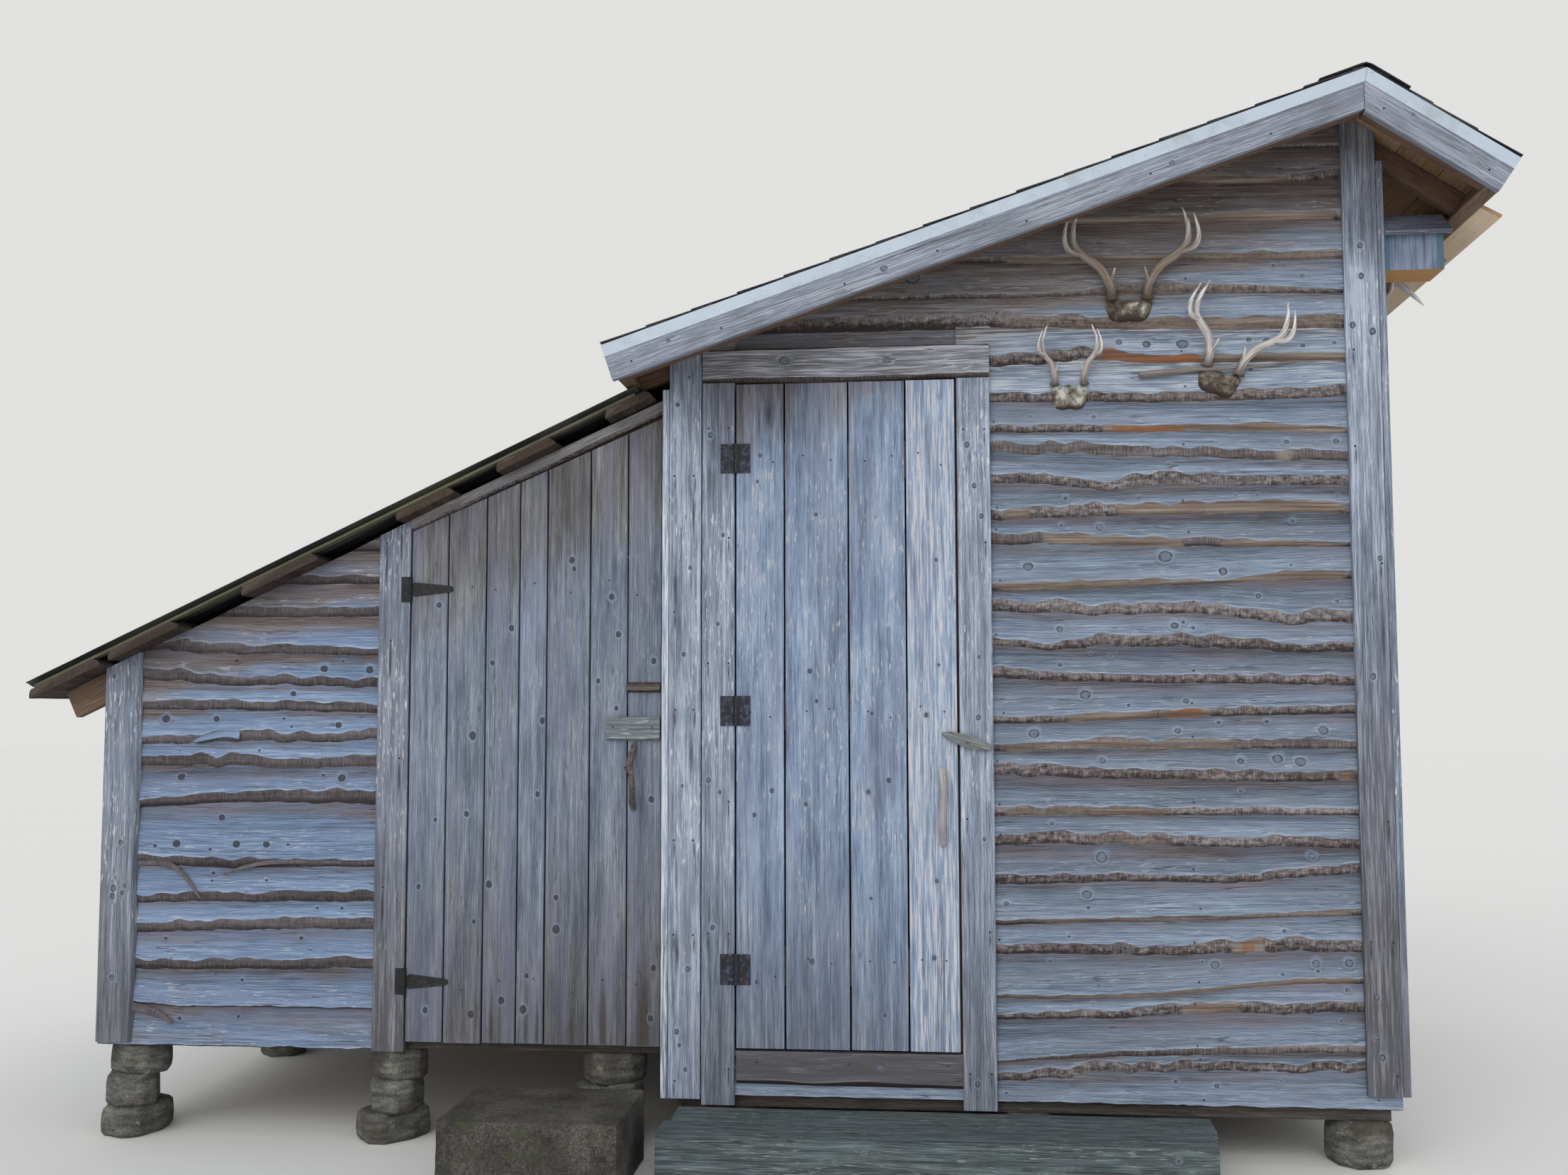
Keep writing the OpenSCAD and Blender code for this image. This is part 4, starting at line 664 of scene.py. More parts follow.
# A round or long patch laid on a face: it carries a knot or a stain that fades to nothing at its rim
def addPatch(pile, spot, along, across, radiusU, radiusW, kind, tone, warm, amount, lift=0.35, moss=0.0,
             shadeAndSplashAt=None):
    out = along.cross(across).normalized()
    rings, sides = (0.0, 0.3, 0.55, 0.78, 1.0), 14
    first = len(pile.verts)
    seed = radiusU * 7.3
    for r in rings:
        for angle in circle(sides) if r else [0.0]:
            lumpy = 1 + 0.16 * wobble(math.cos(angle) * 1.3 + seed, math.sin(angle) * 1.3)
            du, dw = r * radiusU * math.cos(angle) * lumpy, r * radiusW * math.sin(angle) * lumpy
            value = amount * (1 - r)
            point, grain = spot(du, dw)
            # knots stand up a little, and the rim lies on the board
            point = point + out * (lift * (1 - r) + 0.12)
            tint = (tone, 0, 0, value * 1.25)
            if kind == "knot":
                # the grain bends round the knot
                squeeze = 1 / (1 + 1.1 * math.exp(-(r * 2.0) ** 2))
                middle = spot(0, 0)[1]
                grain = (grain[0], middle[1] + (grain[1] - middle[1]) * squeeze)
                tint = (tone, 0, value, 0)
            addPoint(pile, point, grain, tint, (0, warm, moss, shadeAndSplashAt(point)))
    for k in range(sides):
        addFace(pile, (first, first + 1 + k, first + 1 + (k + 1) % sides))
    joinRings(pile, first + 1, len(rings) - 1, sides, turned=True)


def patchBoard(pile, board, u, w, radiusU, radiusW, kind, amount, lift):
    addPatch(pile, lambda du, dw: boardSpot(board, u + du, w + dw), board.along, board.across, radiusU,
        radiusW, kind, board.tone, board.warm, amount, lift, board.moss, board.footSplashAndRoofShade)


def knotOnBoard(pile, board, u, w, size, long=1.3, amount=1.0):
    patchBoard(pile, board, u, w, size * long, size, "knot", amount, 0.35)


def stainOnBoard(pile, board, u, w, radiusU, radiusW, amount=1.0):
    patchBoard(pile, board, u, w, radiusU, radiusW, "stain", amount, 0.15)


nailPile, doorNails, leanDoorNails, screwPile = (newPile() for k in range(4))


def addNail(point, out, radius=4.0, rise=1.2, pile=nailPile, sides=8):
    # a round head, slightly domed
    out, point = Vector(out).normalized(), Vector(point)
    side = out.orthogonal().normalized()
    other = out.cross(side)
    first = len(pile.verts)
    for r, h in ((radius, -0.5), (radius, rise * 0.6), (radius * 0.7, rise)):
        for a in circle(sides):
            addPoint(pile, point + side * (r * math.cos(a)) + other * (r * math.sin(a)) + out * h, (0, 0))
    joinRings(pile, first, 3, sides)
    addFace(pile, range(first + 2 * sides, first + 3 * sides))


def nailBoard(board, u, w, radius=3.2, pile=nailPile):
    addNail(boardSpot(board, u, w)[0], board.out, radius, pile=pile)


# Walls: a place is (s along, d in from the trim's face, z up); s runs so that s x up looks outwards
def frontWall(s, d, z):
    return Vector((s, d, z))


def rightWall(s, d, z):
    return Vector((mainW - d, s, z))


def leftWall(s, d, z):
    return Vector((d, depth - s, z))


def backWall(s, d, z):
    return Vector((mainW - s, depth - d, z))


# One lapped live-edge board. lowAt and bandAt give its lower edge and the bark above it;
# startAt and endAt give its ends at a height.
sidingIn = {"foot": 10.5, "top": 27.0, "back": 44.6}


def addSiding(pile, wall, startAt, endAt, lowAt, bandAt, topZ, tone, bark, step, aboveAt, warmAt,
        bareAt=None):
    offU, offV, seed = draws.random() * 40, draws.random() * 40, draws.random() * 900
    s0, s1 = startAt((lowAt(0) + topZ) / 2), endAt((lowAt(0) + topZ) / 2)
    middle = lowAt((s0 + s1) / 2)
    slope = (sidingIn["top"] - sidingIn["foot"]) / max(60.0, topZ - middle)

    def faceD(z):
        return sidingIn["foot"] + (z - middle) * slope

    def grainAt(s, z):
        return (s / 1000 + offU, (z - 0.6 * lowAt(s) - 0.4 * middle) / 1000 + offV)

    def seenTop(s):
        return min(topZ - 2, aboveAt(s)) if aboveAt else topZ

    def shadeAndSplashAt(s, z):
        # painted shade: 0 near the lower edge, 1 where the board above laps it
        low = lowAt(s) + bandAt(s)
        return clamp(((z - low) / max(12.0, seenTop(s) - low) - 0.45) / 0.5)

    count = max(3, int(abs(s1 - s0) / step) + 1)
    first = len(pile.verts)
    thick, wide = 13.0, 12
    for i in range(count):
        t = i / (count - 1)
        s = s0 + (s1 - s0) * t
        low = lowAt(s) + 2.2 * wobble(s / 62, seed) + 1.2 * wobble(s / 21, seed)
        band = max(3.0, bandAt(s) * (1 + 0.3 * wobble(s / 55, seed + 4)) + 2.0 * wobble(s / 24, seed + 8))
        face = low + band
        knob = 1.4 * wobble(s / 17, seed + 2)
        d0 = faceD(face)
        seen = max(face + 6, seenTop(s))
        halfUp, nearTop = face + (seen - face) * 0.45, face + (seen - face) * 0.97
        lip = face + min(8.0, (seen - face) * 0.3)
        top = max(topZ, nearTop + 1)
        ring = [(face, d0, 0.0), (lip, faceD(lip), 0), (halfUp, faceD(halfUp), 0),
            (nearTop, faceD(nearTop), 0), (top, faceD(topZ), 0), (top, sidingIn["back"], 0),
            (low + 1.5, d0 + thick + 5, bark * 0.5), (low, d0 + thick, bark),
            (low + band * 0.2, d0 + thick * 0.6 + knob, bark),
            (low + band * 0.55, d0 + thick * 0.25 + knob * 0.6, bark),
            (low + band * 0.9, d0 + 1.0, bark * 0.9), (face, d0, 0.0)]
        for z, d, b in ring:
            here = startAt(z) + (endAt(z) - startAt(z)) * t
            bare = bareAt(here) if bareAt and b > 0.3 else 0.0
            # painted shade: the bark band darkens towards its foot, and the face darkens where the board
            # above laps it
            foot = max(0.0, 0.9 - (z - low) / band * 1.4) if b > 0 else shadeAndSplashAt(here, z)
            # painted highlight: the row along the wood's lip over a rough bark band is toned up
            lipHighlightTone = 1.3 if z == face and bark > 0.3 else tone
            addPoint(pile, wall(here, d, z), grainAt(here, z), (lipHighlightTone, b, 0, bare),
                (0, warmAt(here, z), 0, foot))
    joinRows(pile, first, count, wide)
    for row, flip in ((0, False), (count - 1, True)):
        sources = range(first + row * wide, first + (row + 1) * wide - 1)
        addFace(pile, [addPoint(pile, pile.verts[k], pile.grain[k], (tone, 0.1, 0, 0), (0.8, 0.0, 0, 0))
            for k in sources], flip)

    def spot(s, z):
        return wall(s, faceD(z), z), grainAt(s, z)

    return SimpleNamespace(spot=spot, wall=wall, low=lowAt, band=bandAt, top=topZ, seen=seenTop,
        start=startAt, end=endAt, tone=tone, warmAt=warmAt, shadeAndSplashAt=shadeAndSplashAt)


def boardUnder(boards, s, z):
    # the board that shows at a place: the highest one whose face starts below it
    there = [board for board in boards if board.start(z) + 8 < s < board.end(z) - 8
             and board.low(s) + board.band(s) * 0.7 < z < board.top + 30]
    return max(there, key=lambda board: board.low(s), default=None)


def knotOnSiding(pile, boards, s, z, size, long=1.35, amount=1.0):
    board = boardUnder(boards, s, z)
    if board is None:
        return
    # stay on the face that shows
    low, high = board.low(s) + board.band(s) * 1.1 + 3, board.seen(s)
    size = min(size, (high - low) * 0.52)
    z = max(low + size * 0.8, min(high - size * 0.8, z))

    def spot(du, dz):
        here = max(board.start(z) + 3, min(board.end(z) - 3, s + du))
        return board.spot(here, max(board.low(here) + board.band(here) * 1.05 + 2, z + dz))
    up = (board.spot(s, z + 10)[0] - board.spot(s, z)[0]).normalized()
    along = board.wall(1, 0, 0) - board.wall(0, 0, 0)
    addPatch(pile, spot, along, up, size * long, size, "knot", board.tone, board.warmAt(s, z), amount,
             shadeAndSplashAt=lambda point: board.shadeAndSplashAt(s, z))


# a small round knot that stands out of a bark band
def addKnob(pile, point, out, size, tone):
    side = out.orthogonal().normalized()
    other = out.cross(side)
    first = len(pile.verts)
    rings, sides = ((1.0, -3.0, 0.1), (0.92, 1.0, 0.5), (0.7, 3.2, 0.56), (0.35, 3.6, 0.8),
        (0.0, 3.0, 0.95)), 12
    for r, h, k in rings:
        for a in circle(sides):
            lump = 1 + 0.12 * wobble(math.cos(a) + point.x, math.sin(a) + point.z)
            place = point + side * (r * size * math.cos(a) * lump) + other * (r * size * math.sin(a)
                * lump) + out * h
            addPoint(pile, place, (place.x / 1000, place.z / 1000), (tone, 0, k, 0))
    joinRings(pile, first, len(rings), sides)


# a thin strip of bark or wood that curls off the lean-to's front; its places run to its loose end
def addRibbon(pile, places, wide, thick, bark, tone):
    path, _ = splinePath([(x, leanY + y, z) for x, y, z in places], [1] * len(places), 6)
    first = len(pile.verts)
    run = 0.0
    for i, p in enumerate(path):
        heading = (path[min(i + 1, len(path) - 1)] - path[max(i - 1, 0)]).normalized()
        over = Vector((0, -1, 0)).cross(heading).normalized()
        out = heading.cross(over).normalized()
        if out.y > 0:
            out = -out
        run += (p - path[max(i - 1, 0)]).length
        half = wide / 2 * (1 - 0.75 * (i / (len(path) - 1)) ** 3) * (1 + 0.15 * wobble(run / 25, wide))
        section = ((-half, 0), (-half * 0.8, thick * 0.8), (0, thick), (half * 0.8, thick * 0.7), (half, 0),
            (0, -0.6), (-half, 0))
        for k, (w, n) in enumerate(section):
            addPoint(pile, p + over * w + out * n, (run / 1000 + 7, k * wide / 4000 + 3), (tone, bark, 0, 0))
    joinRows(pile, first, len(path), len(section))
    last = first + (len(path) - 1) * len(section)
    addFace(pile, range(last, last + 6))


# a smooth path through the points, with a size at each place
def splinePath(points, radii, steps):
    path, sizes = [], []
    for i in range(len(points) - 1):
        a, b, c, d = (Vector(points[max(0, min(len(points) - 1, i + k))]) for k in (-1, 0, 1, 2))
        for t in (k / steps for k in range(steps)):
            path.append(0.5 * (2 * b + (c - a) * t + (2 * a - 5 * b + 4 * c - d) * t * t
                + (3 * b - a - 3 * c + d) * t ** 3))
            sizes.append(radii[i] + (radii[i + 1] - radii[i]) * t)
    path.append(Vector(points[-1]))
    sizes.append(radii[-1])
    return path, sizes


# The main room's front wall, as its boards lie in the photograph: the lower edge at each station,
# then the bark band's height there
frontStations = (990, 1150, 1310, 1480, 1650, 1830, 2020)
frontBoards = [
    ((2963, 2963, 2963, 2963, 2963, 2963, 2960), (6,) * 7),
    ((2871, 2871, 2871, 2871, 2866, 2856, 2853), (28, 28, 28, 28, 32, 14, 28)),
    ((2763, 2763, 2759, 2750, 2743, 2738, 2732), (5, 5, 7, 11, 17, 23, 24)),
    ((2646, 2639, 2632, 2627, 2622, 2619, 2615), (8, 12, 16, 14, 21, 22, 23)),
    ((2535, 2531, 2530, 2530, 2527, 2523, 2519), (8, 8, 7, 26, 24, 17, 9)),
    ((2442, 2435, 2428, 2421, 2416, 2412, 2407), (31, 31, 31, 31, 28, 31, 35)),
    ((2314, 2320, 2325, 2319, 2316, 2314, 2311), (33, 34, 34, 21, 22, 22, 23)),
    ((2210, 2207, 2204, 2200, 2197, 2199, 2202), (25, 24, 23, 23, 29, 29, 29)),
    ((2122, 2116, 2115, 2114, 2113, 2104, 2101), (16, 19, 19, 18, 17, 22, 14)),
    ((2039, 2036, 2033, 2030, 2023, 2016, 2009), (43, 42, 37, 31, 32, 29, 31)),
    ((1956, 1945, 1931, 1933, 1936, 1935, 1931), (30, 39, 26, 48, 35, 32, 33)),
    ((1852, 1853, 1857, 1861, 1861, 1861, 1858), (28, 33, 33, 30, 35, 34, 30)),
    ((1777, 1777, 1774, 1771, 1769, 1768, 1769), (32, 32, 27, 23, 21, 16, 8)),
    ((1646, 1648, 1652, 1660, 1667, 1671, 1671), (18, 20, 19, 15, 4, 21, 21)),
    ((1573, 1565, 1565, 1569, 1564, 1533, 1534), (32, 38, 28, 29, 30, 37, 40)),
    ((1484, 1470, 1472, 1470, 1461, 1457, 1456), (18, 15, 35, 34, 35, 23, 26)),
    ((1380, 1378, 1374, 1369, 1367, 1364, 1359), (32, 23, 21, 22, 24, 25, 25)),
    ((1254, 1256, 1261, 1269, 1273, 1277, 1281), (16, 18, 20, 20, 24, 23, 23)),
    ((1171, 1169, 1169, 1169, 1173, 1176, 1178), (18, 25, 33, 31, 27, 27, 22)),
    ((1088, 1085, 1087, 1089, 1080, 1081, 1090), (40, 39, 28, 25, 31, 27, 22)),
    ((983, 984, 985, 987, 990, 991, 991), (24, 24, 23, 19, 18, 18, 17)),
    ((891, 894, 895, 894, 893, 894, 894), (27, 36, 33, 32, 25, 29, 25)),
    ((780, 785, 793, 798, 792, 806, 817), (28, 24, 22, 17, 20, 26, 29)),
    ((670, 676, 682, 688, 693, 702, 706), (13, 12, 11, 11, 11, 12, 19)),
    ((582, 582, 583, 584, 583, 590, 595), (26, 28, 28, 23, 38, 39, 30)),
    ((458, 458, 461, 472, 492, 510, 513), (11, 12, 13, 13, 13, 14, 17)),
    ((399, 401, 404, 408, 416, 418, 425), (16, 20, 24, 30, 29, 32, 30)),
    ((275, 289, 295, 299, 306, 312, 318), (9, 9, 16, 20, 21, 23, 23)),
    ((220, 223, 236, 249, 252, 252, 254), (20, 32, 35, 32, 29, 29, 34)),
    ((168,) * 7, (3,) * 7),
]
# the bark bands that are smooth, and where others are worn bare (row, from s, to s, how much)
frontSiding = {
    "seed": 11, "paintedLightRows": (3, 4, 5, 6, 7), "bandSize": 1.45, "underEaveBrownAndShade": 0.95,
    "smoothBands": (0, 2, 3, 9, 12, 13, 18, 23, 25, 27),
    "bare": ((17, 1175, 1480, 0.45), (17, 1458, 1620, 1.0), (6, 1290, 1640, 0.95), (6, 1610, 2040, 0.6), (1,
    1180, 1900, 0.4),
             (3, 1020, 1500, 0.5), (3, 1440, 2040, 0.34), (24, 1650, 1760, 0.8), (9, 1800, 1880, 0.4), (19,
             1960, 2020, 0.5),
             (20, 1240, 1330, 0.35), (26, 1500, 1690, 0.7), (4, 990, 2040, 0.26), (11, 1000, 1130, 0.35),
             (11, 1330, 2020, 0.42), (12, 1120, 1560, 0.5), (12, 1640, 2020, 0.5), (13, 990, 2020, 0.42),
             (8, 1310, 1590, 0.8), (8, 1560, 2040, 0.42), (5, 990, 2040, 0.3), (7, 990, 2040, 0.16), (20,
             990, 1500, 0.3),
             (2, 990, 2020, 0.4), (25, 990, 2020, 0.35), (18, 990, 1700, 0.3), (21, 1250, 1500, 0.3), (23,
             1100, 2020, 0.35)),
    # knots, in pixels of two enlarged parts of the photograph
    "cropScale": 2.306,
    "upperKnots": ((1380, 380), ((458, 248), (548, 250), (665, 245), (940, 235), (1165, 570), (523, 735),
    (838, 745),
                                 (910, 745), (1170, 768), (395, 840), (162, 967), (610, 932), (797, 998),
                                 (912, 1063))),
    "lowerKnots": ((1380, 880), ((265, 18), (640, 28), (348, 232), (182, 362), (650, 360), (1125, 362), (405,
    478),
                                 (855, 487), (975, 440), (1050, 450), (240, 672), (402, 760), (1085, 730),
                                 (355, 882),
                                 (770, 1055), (1100, 1048), (1208, 1072))),
    "overDoorKnots": ((300, 2520, 34), (520, 2560, 30), (760, 2600, 32), (900, 2700, 26), (640, 2462, 30)),
}
underDoorZ, overDoorZ = 302, 2462


def frontBrownAndShade(s, z):
    # brown and darker close under the roof, silver lower down: the wood's own brown with painted shade of the
    # overhang
    return max(frontSiding["underEaveBrownAndShade"] * underRoof(s, z), 0.2 * clamp((z - 2150) / 160))


def slopeStart(inset, d=deckT + 0.5):
    # where a level line at a height meets the roof's left slope
    return lambda z: max(inset, ridgeX - (ridgeZ - z - d / math.cos(pitchL)) / tanL)


def slopeEnd(inset, d=deckT + 0.5):
    return lambda z: min(inset, max(ridgeX + (ridgeZ - z - d / math.cos(pitchR)) / tanR,
        slopeStart(0, d)(z) + 4))


def at(place):
    return lambda z: place


def measured(stations, heights, size=1.0):
    # a height that runs through the places measured along a board
    return lambda s: between(s, stations, heights) * size


def topUnder(above):
    # how far a board goes up behind the one above it
    return max(above[0]) + max(above[1]) * 0.6 + 24


def makeFrontSiding():
    draws.seed(frontSiding["seed"])
    pile, boards, above = newPile(), [], None
    for index, (lows, bands) in enumerate(frontBoards):
        lowAt, bandAt = measured(frontStations, lows), measured(frontStations, bands, frontSiding["bandSize"])
        top = topUnder(above) if above else ridgeZ - 2
        aboveAt = measured(frontStations, above[0]) if above else None
        above = (lows, bands)
        # rows under the roof are toned up: painted light against the overhang's shade
        tone = draws.random() + (0.9 if index in frontSiding["paintedLightRows"] else 0.0)
        bark = draws.uniform(0.6, 0.7) if index in frontSiding["smoothBands"] else draws.uniform(0.88, 1.0)

        def bareAt(s, index=index):
            return max((amount * min(1.0, (s - s0) / 44 + 0.1, (s1 - s) / 44 + 0.1) for row, s0, s1,
                amount in frontSiding["bare"] if row == index and s0 < s < s1), default=0.0)

        def add(startAt, endAt, topZ, step, bareAt=None):
            boards.append(addSiding(pile, frontWall, startAt, endAt, lowAt, bandAt, topZ, tone, bark, step,
                aboveAt, frontBrownAndShade, bareAt))
        top = overDoorZ if index == 6 else top
        add(slopeStart(trimT) if index < 6 else at(openX1), slopeEnd(mainW - trimT), top, 16, bareAt)
        if index >= 6:
            # behind the corner board and the left casing
            add(at(trimT), at(openX0), min(top, headerZ) if index > 6 else overDoorZ, 90)
        if index in (27, 28, 29):
            add(at(openX0), at(openX1), min(top, underDoorZ), 60)
    # behind the board over the door
    addBoard(pile, (openX0, 30, 2372), (openX1, 30, 2372), (0, 0, 1), 150, 14, tone=0.5, warm=0.6)
    for corner, spots in (frontSiding["upperKnots"], frontSiding["lowerKnots"]):
        for px, py in spots:
            s, z = photoSpot(corner[0] + px / frontSiding["cropScale"],
                corner[1] + py / frontSiding["cropScale"])
            knotOnSiding(pile, boards, s, z, draws.uniform(18, 31), draws.uniform(1.0, 1.25),
                draws.choice((1.0, 0.9, 0.76)))
    for k in range(46):
        # small knots, dark to their middle
        knotOnSiding(pile, boards, draws.uniform(1000, 2010), draws.uniform(190, 2900), draws.uniform(10, 19),
            1.2, draws.uniform(0.62, 0.76))
    for s, z, size in frontSiding["overDoorKnots"]:
        knotOnSiding(pile, boards, s, z, size)
    # knots that stand out of the bark bands
    for k in range(26):
        board = boards[draws.randrange(len(boards))]
        s = draws.uniform(1010, 2000)
        low, band = board.low(s), board.band(s)
        if board.start(low) >= 980 and low <= roofUnder(s, 60) - 60 and band >= 16:
            size = band * draws.uniform(0.34, 0.46)
            addKnob(pile, frontWall(s, 10, low + band * 0.5), Vector((0, -1, 0)), size, board.tone)
    makePiece("front_siding", pile, oldSiding, "old_siding",
              "front_wall_left", "front_wall_under_door", "front_wall_over_door", "front_wall_right")


# The camera, as the photograph was taken: metres and degrees, and the photograph's size in pixels
camera = {"place": (0.5962, -5.766, 1.313), "yaw": 5.6, "pitch": 4.32, "roll": 0.12, "lens": 35.805,
    "sensor": 36.0, "width": 2212, "height": 1658}


def cameraAxes():
    yaw, pitch, roll = (math.radians(camera[k]) for k in ("yaw", "pitch", "roll"))
    forward = Vector((-math.sin(yaw) * math.cos(pitch), math.cos(yaw) * math.cos(pitch), math.sin(pitch)))
    right0 = Vector((math.cos(yaw), math.sin(yaw), 0))
    up0 = right0.cross(forward)
    right = right0 * math.cos(roll) - up0 * math.sin(roll)
    up = up0 * math.cos(roll) + right0 * math.sin(roll)
    return right, up, forward


def photoSpot(px, py, faceY=14.0):
    # a pixel of the photograph to a place on the front wall's face, in millimetres
    right, up, forward = cameraAxes()
    scale = camera["lens"] / 36 * camera["width"]
    ray = forward + right * ((px - camera["width"] / 2) / scale) + up * ((camera["height"] / 2 - py) / scale)
    start = Vector(camera["place"])
    hit = start + ray * (((faceY - originY) / 1000 - start.y) / ray.y)
    return hit.x * 1000 + originX, hit.z * 1000


def makeCamera():
    data = bpy.data.cameras.new("photo_camera")
    data.lens, data.sensor_width, data.sensor_fit = camera["lens"], camera["sensor"], "HORIZONTAL"
    data.clip_end = 200
    holder = bpy.data.objects.new("photo_camera", data)
    right, up, forward = cameraAxes()
    matrix = Matrix((right, up, -forward)).transposed().to_4x4()
    matrix.translation = Vector(camera["place"])
    holder.matrix_world = matrix
    bpy.context.scene.collection.objects.link(holder)
    bpy.context.scene.camera = holder


makeCamera()
makeFrontSiding()

# The other walls repeat the same boards plainly
sideSiding = {"lowest": 74, "highest": 122, "knots": 60}


def makeWall(name, wall, node, width, startAt, endAt, topAt, material, slotName, seed, warmAt,
        bottom=sidingZ):
    draws.seed(seed)
    pile, boards, rows, low = newPile(), [], [], bottom
    while low < topAt - 25:
        rows.append(low)
        low += draws.uniform(sideSiding["lowest"], sideSiding["highest"])
    rows.append(topAt + 60)
    for low, above in zip(rows, rows[1:]):
        lowest = low == bottom
        tilt, seedHere = draws.uniform(-7, 7), draws.random() * 500
        band0 = 3 if lowest else draws.uniform(12, 36)

        def lowAt(s, low=low, tilt=tilt, seedHere=seedHere, lowest=lowest):
            return low + (0 if lowest else tilt * (s / width - 0.5) * 2 + 5 * wobble(s / 420, seedHere))

        def bandAt(s, band0=band0, seedHere=seedHere):
            return band0 * (1 + 0.35 * wobble(s / 300, seedHere + 7))
        boards.append(addSiding(pile, wall, startAt, endAt, lowAt, bandAt, min(topAt, above + 52),
            draws.random(), draws.choice((0.65, 0.92, 1.0)), 42, at(above), warmAt))
    for k in range(sideSiding["knots"]):
        ring = draws.random() < 0.45
        knotOnSiding(pile, boards, draws.uniform(60, width - 60), draws.uniform(bottom + 40, topAt - 60),
                     draws.uniform(20, 34) if ring else draws.uniform(10, 19), 1.2, 1.0 if ring else 0.72)
    makePiece(name, pile, material, slotName, node)


def sideWarm(s, z):
    return 0.9 * clamp((z - 2050) / 500)


def evenWarm(amount):
    return lambda s, z: amount


rightTop, leftTop = roofUnder(mainW - trimT, rafterLow), roofUnder(trimT, rafterLow)
makeWall("right_siding", rightWall, "right_wall", depth, at(innerFace), at(depth - innerFace), rightTop,
    oldSiding, "old_siding", 31, sideWarm)
makeWall("left_siding", leftWall, "left_wall", depth, at(innerFace), at(depth - innerFace), leftTop,
    oldSiding, "old_siding", 37, evenWarm(0.5))
makeWall("back_siding", backWall, "back_wall", mainW, lambda z: mainW - slopeEnd(mainW - trimT)(z),
         lambda z: mainW - slopeStart(trimT)(z), ridgeZ - 40, oldSiding, "old_siding", 41, sideWarm)

# The lean-to's walls
leanStations = (-1650, -1500, -1350, -1200, -1050, -890)
leanBoards = [
    ((1880,) * 6, (20,) * 6), ((1788,) * 6, (20,) * 6), ((1686,) * 6, (22,) * 6), ((1584,) * 6, (26,) * 6),
    ((1487, 1478, 1467, 1463, 1463, 1463), (20, 30, 31, 30, 26, 22)),
    ((1378, 1373, 1363, 1368, 1363, 1357), (38, 38, 29, 29, 27, 28)),
    ((1297, 1289, 1292, 1291, 1286, 1284), (26, 32, 28, 26, 27, 24)),
    ((1188, 1187, 1187, 1190, 1192, 1198), (22, 26, 39, 30, 26, 31)),
    ((1116, 1111, 1108, 1110, 1111, 1108), (30, 35, 40, 29, 31, 37)),
    ((997, 1004, 1013, 1010, 1007, 1004), (17, 25, 25, 31, 35, 37)),
    ((824, 815, 810, 814, 819, 820), (21, 25, 25, 21, 18, 17)),
    ((704, 704, 707, 707, 707, 709), (21, 25, 24, 27, 30, 28)),
    ((608, 611, 615, 617, 617, 619), (27, 27, 27, 33, 37, 29)),
    ((497, 499, 501, 503, 505, 508), (28, 25, 25, 27, 29, 28)),
    ((404, 391, 394, 395, 395, 395), (4,) * 6),
    ((274, 274, 274, 274, 274, 274), (4,) * 6),
]
leanSidingLook = {
    "seed": 5, "bandSize": 1.5,
    # knots, in pixels of an enlarged part of the photograph
    "crop": (120, 880), "cropScale": 2.529,
    "knots": ((853, 165), (1015, 165), (742, 250), (288, 293), (903, 375), (467, 340), (343, 510), (915,
    510), (485, 692),
              (327, 785), (540, 787), (647, 788)),
    # bark that peels off under the wide board, then a lip of wood over the fourth: places, width, bark, tone
    "peels": ((((-1652, 21, 828), (-1590, 19, 830), (-1540, 16, 822), (-1500, 9, 796), (-1468, 6, 760),
    (-1440, 5, 724)),
               16.25, 0.7, 0.1),
              (((-1000, 20, 838), (-1120, 18, 838), (-1230, 13, 834), (-1310, 8, 818), (-1372, 5, 796)),
              15.0, 0.7, 0.1),
              (((-1660, 15, 392), (-1610, 12, 384), (-1560, 8, 368), (-1520, 6, 346)), 25.0, 0.7, 0.1),
              (((-1330, 13, 1222), (-1380, 10, 1228), (-1440, 7, 1216), (-1475, 6, 1204)), 22, 0.0, 0.7)),
}


def leanFront(s, d, z):
    return Vector((s, leanY + d, z))


def leanSide(s, d, z):
    return Vector((-leanW - 20 + d, leanBackY - s, z))


def leanBack(s, d, z):
    return Vector((-s, leanBackY + 20 - d, z))


def leanStart(z):
    # where a level line meets the lean-to's roof
    return max(-leanW, (z + leanRafterTop / math.cos(pitchS) - leanTop) / tanS)


def leanFrontWarm(s, z):
    # tan close under the sheet, and brown on the short boards at the top and low down
    drop = leanUnder(s, leanRafterTop) - z
    return max(0.05, 0.4 * clamp((440 - z) / 120), 0.85 * clamp((300 - drop) / 200),
        0.6 * clamp((z - 1400) / 160))


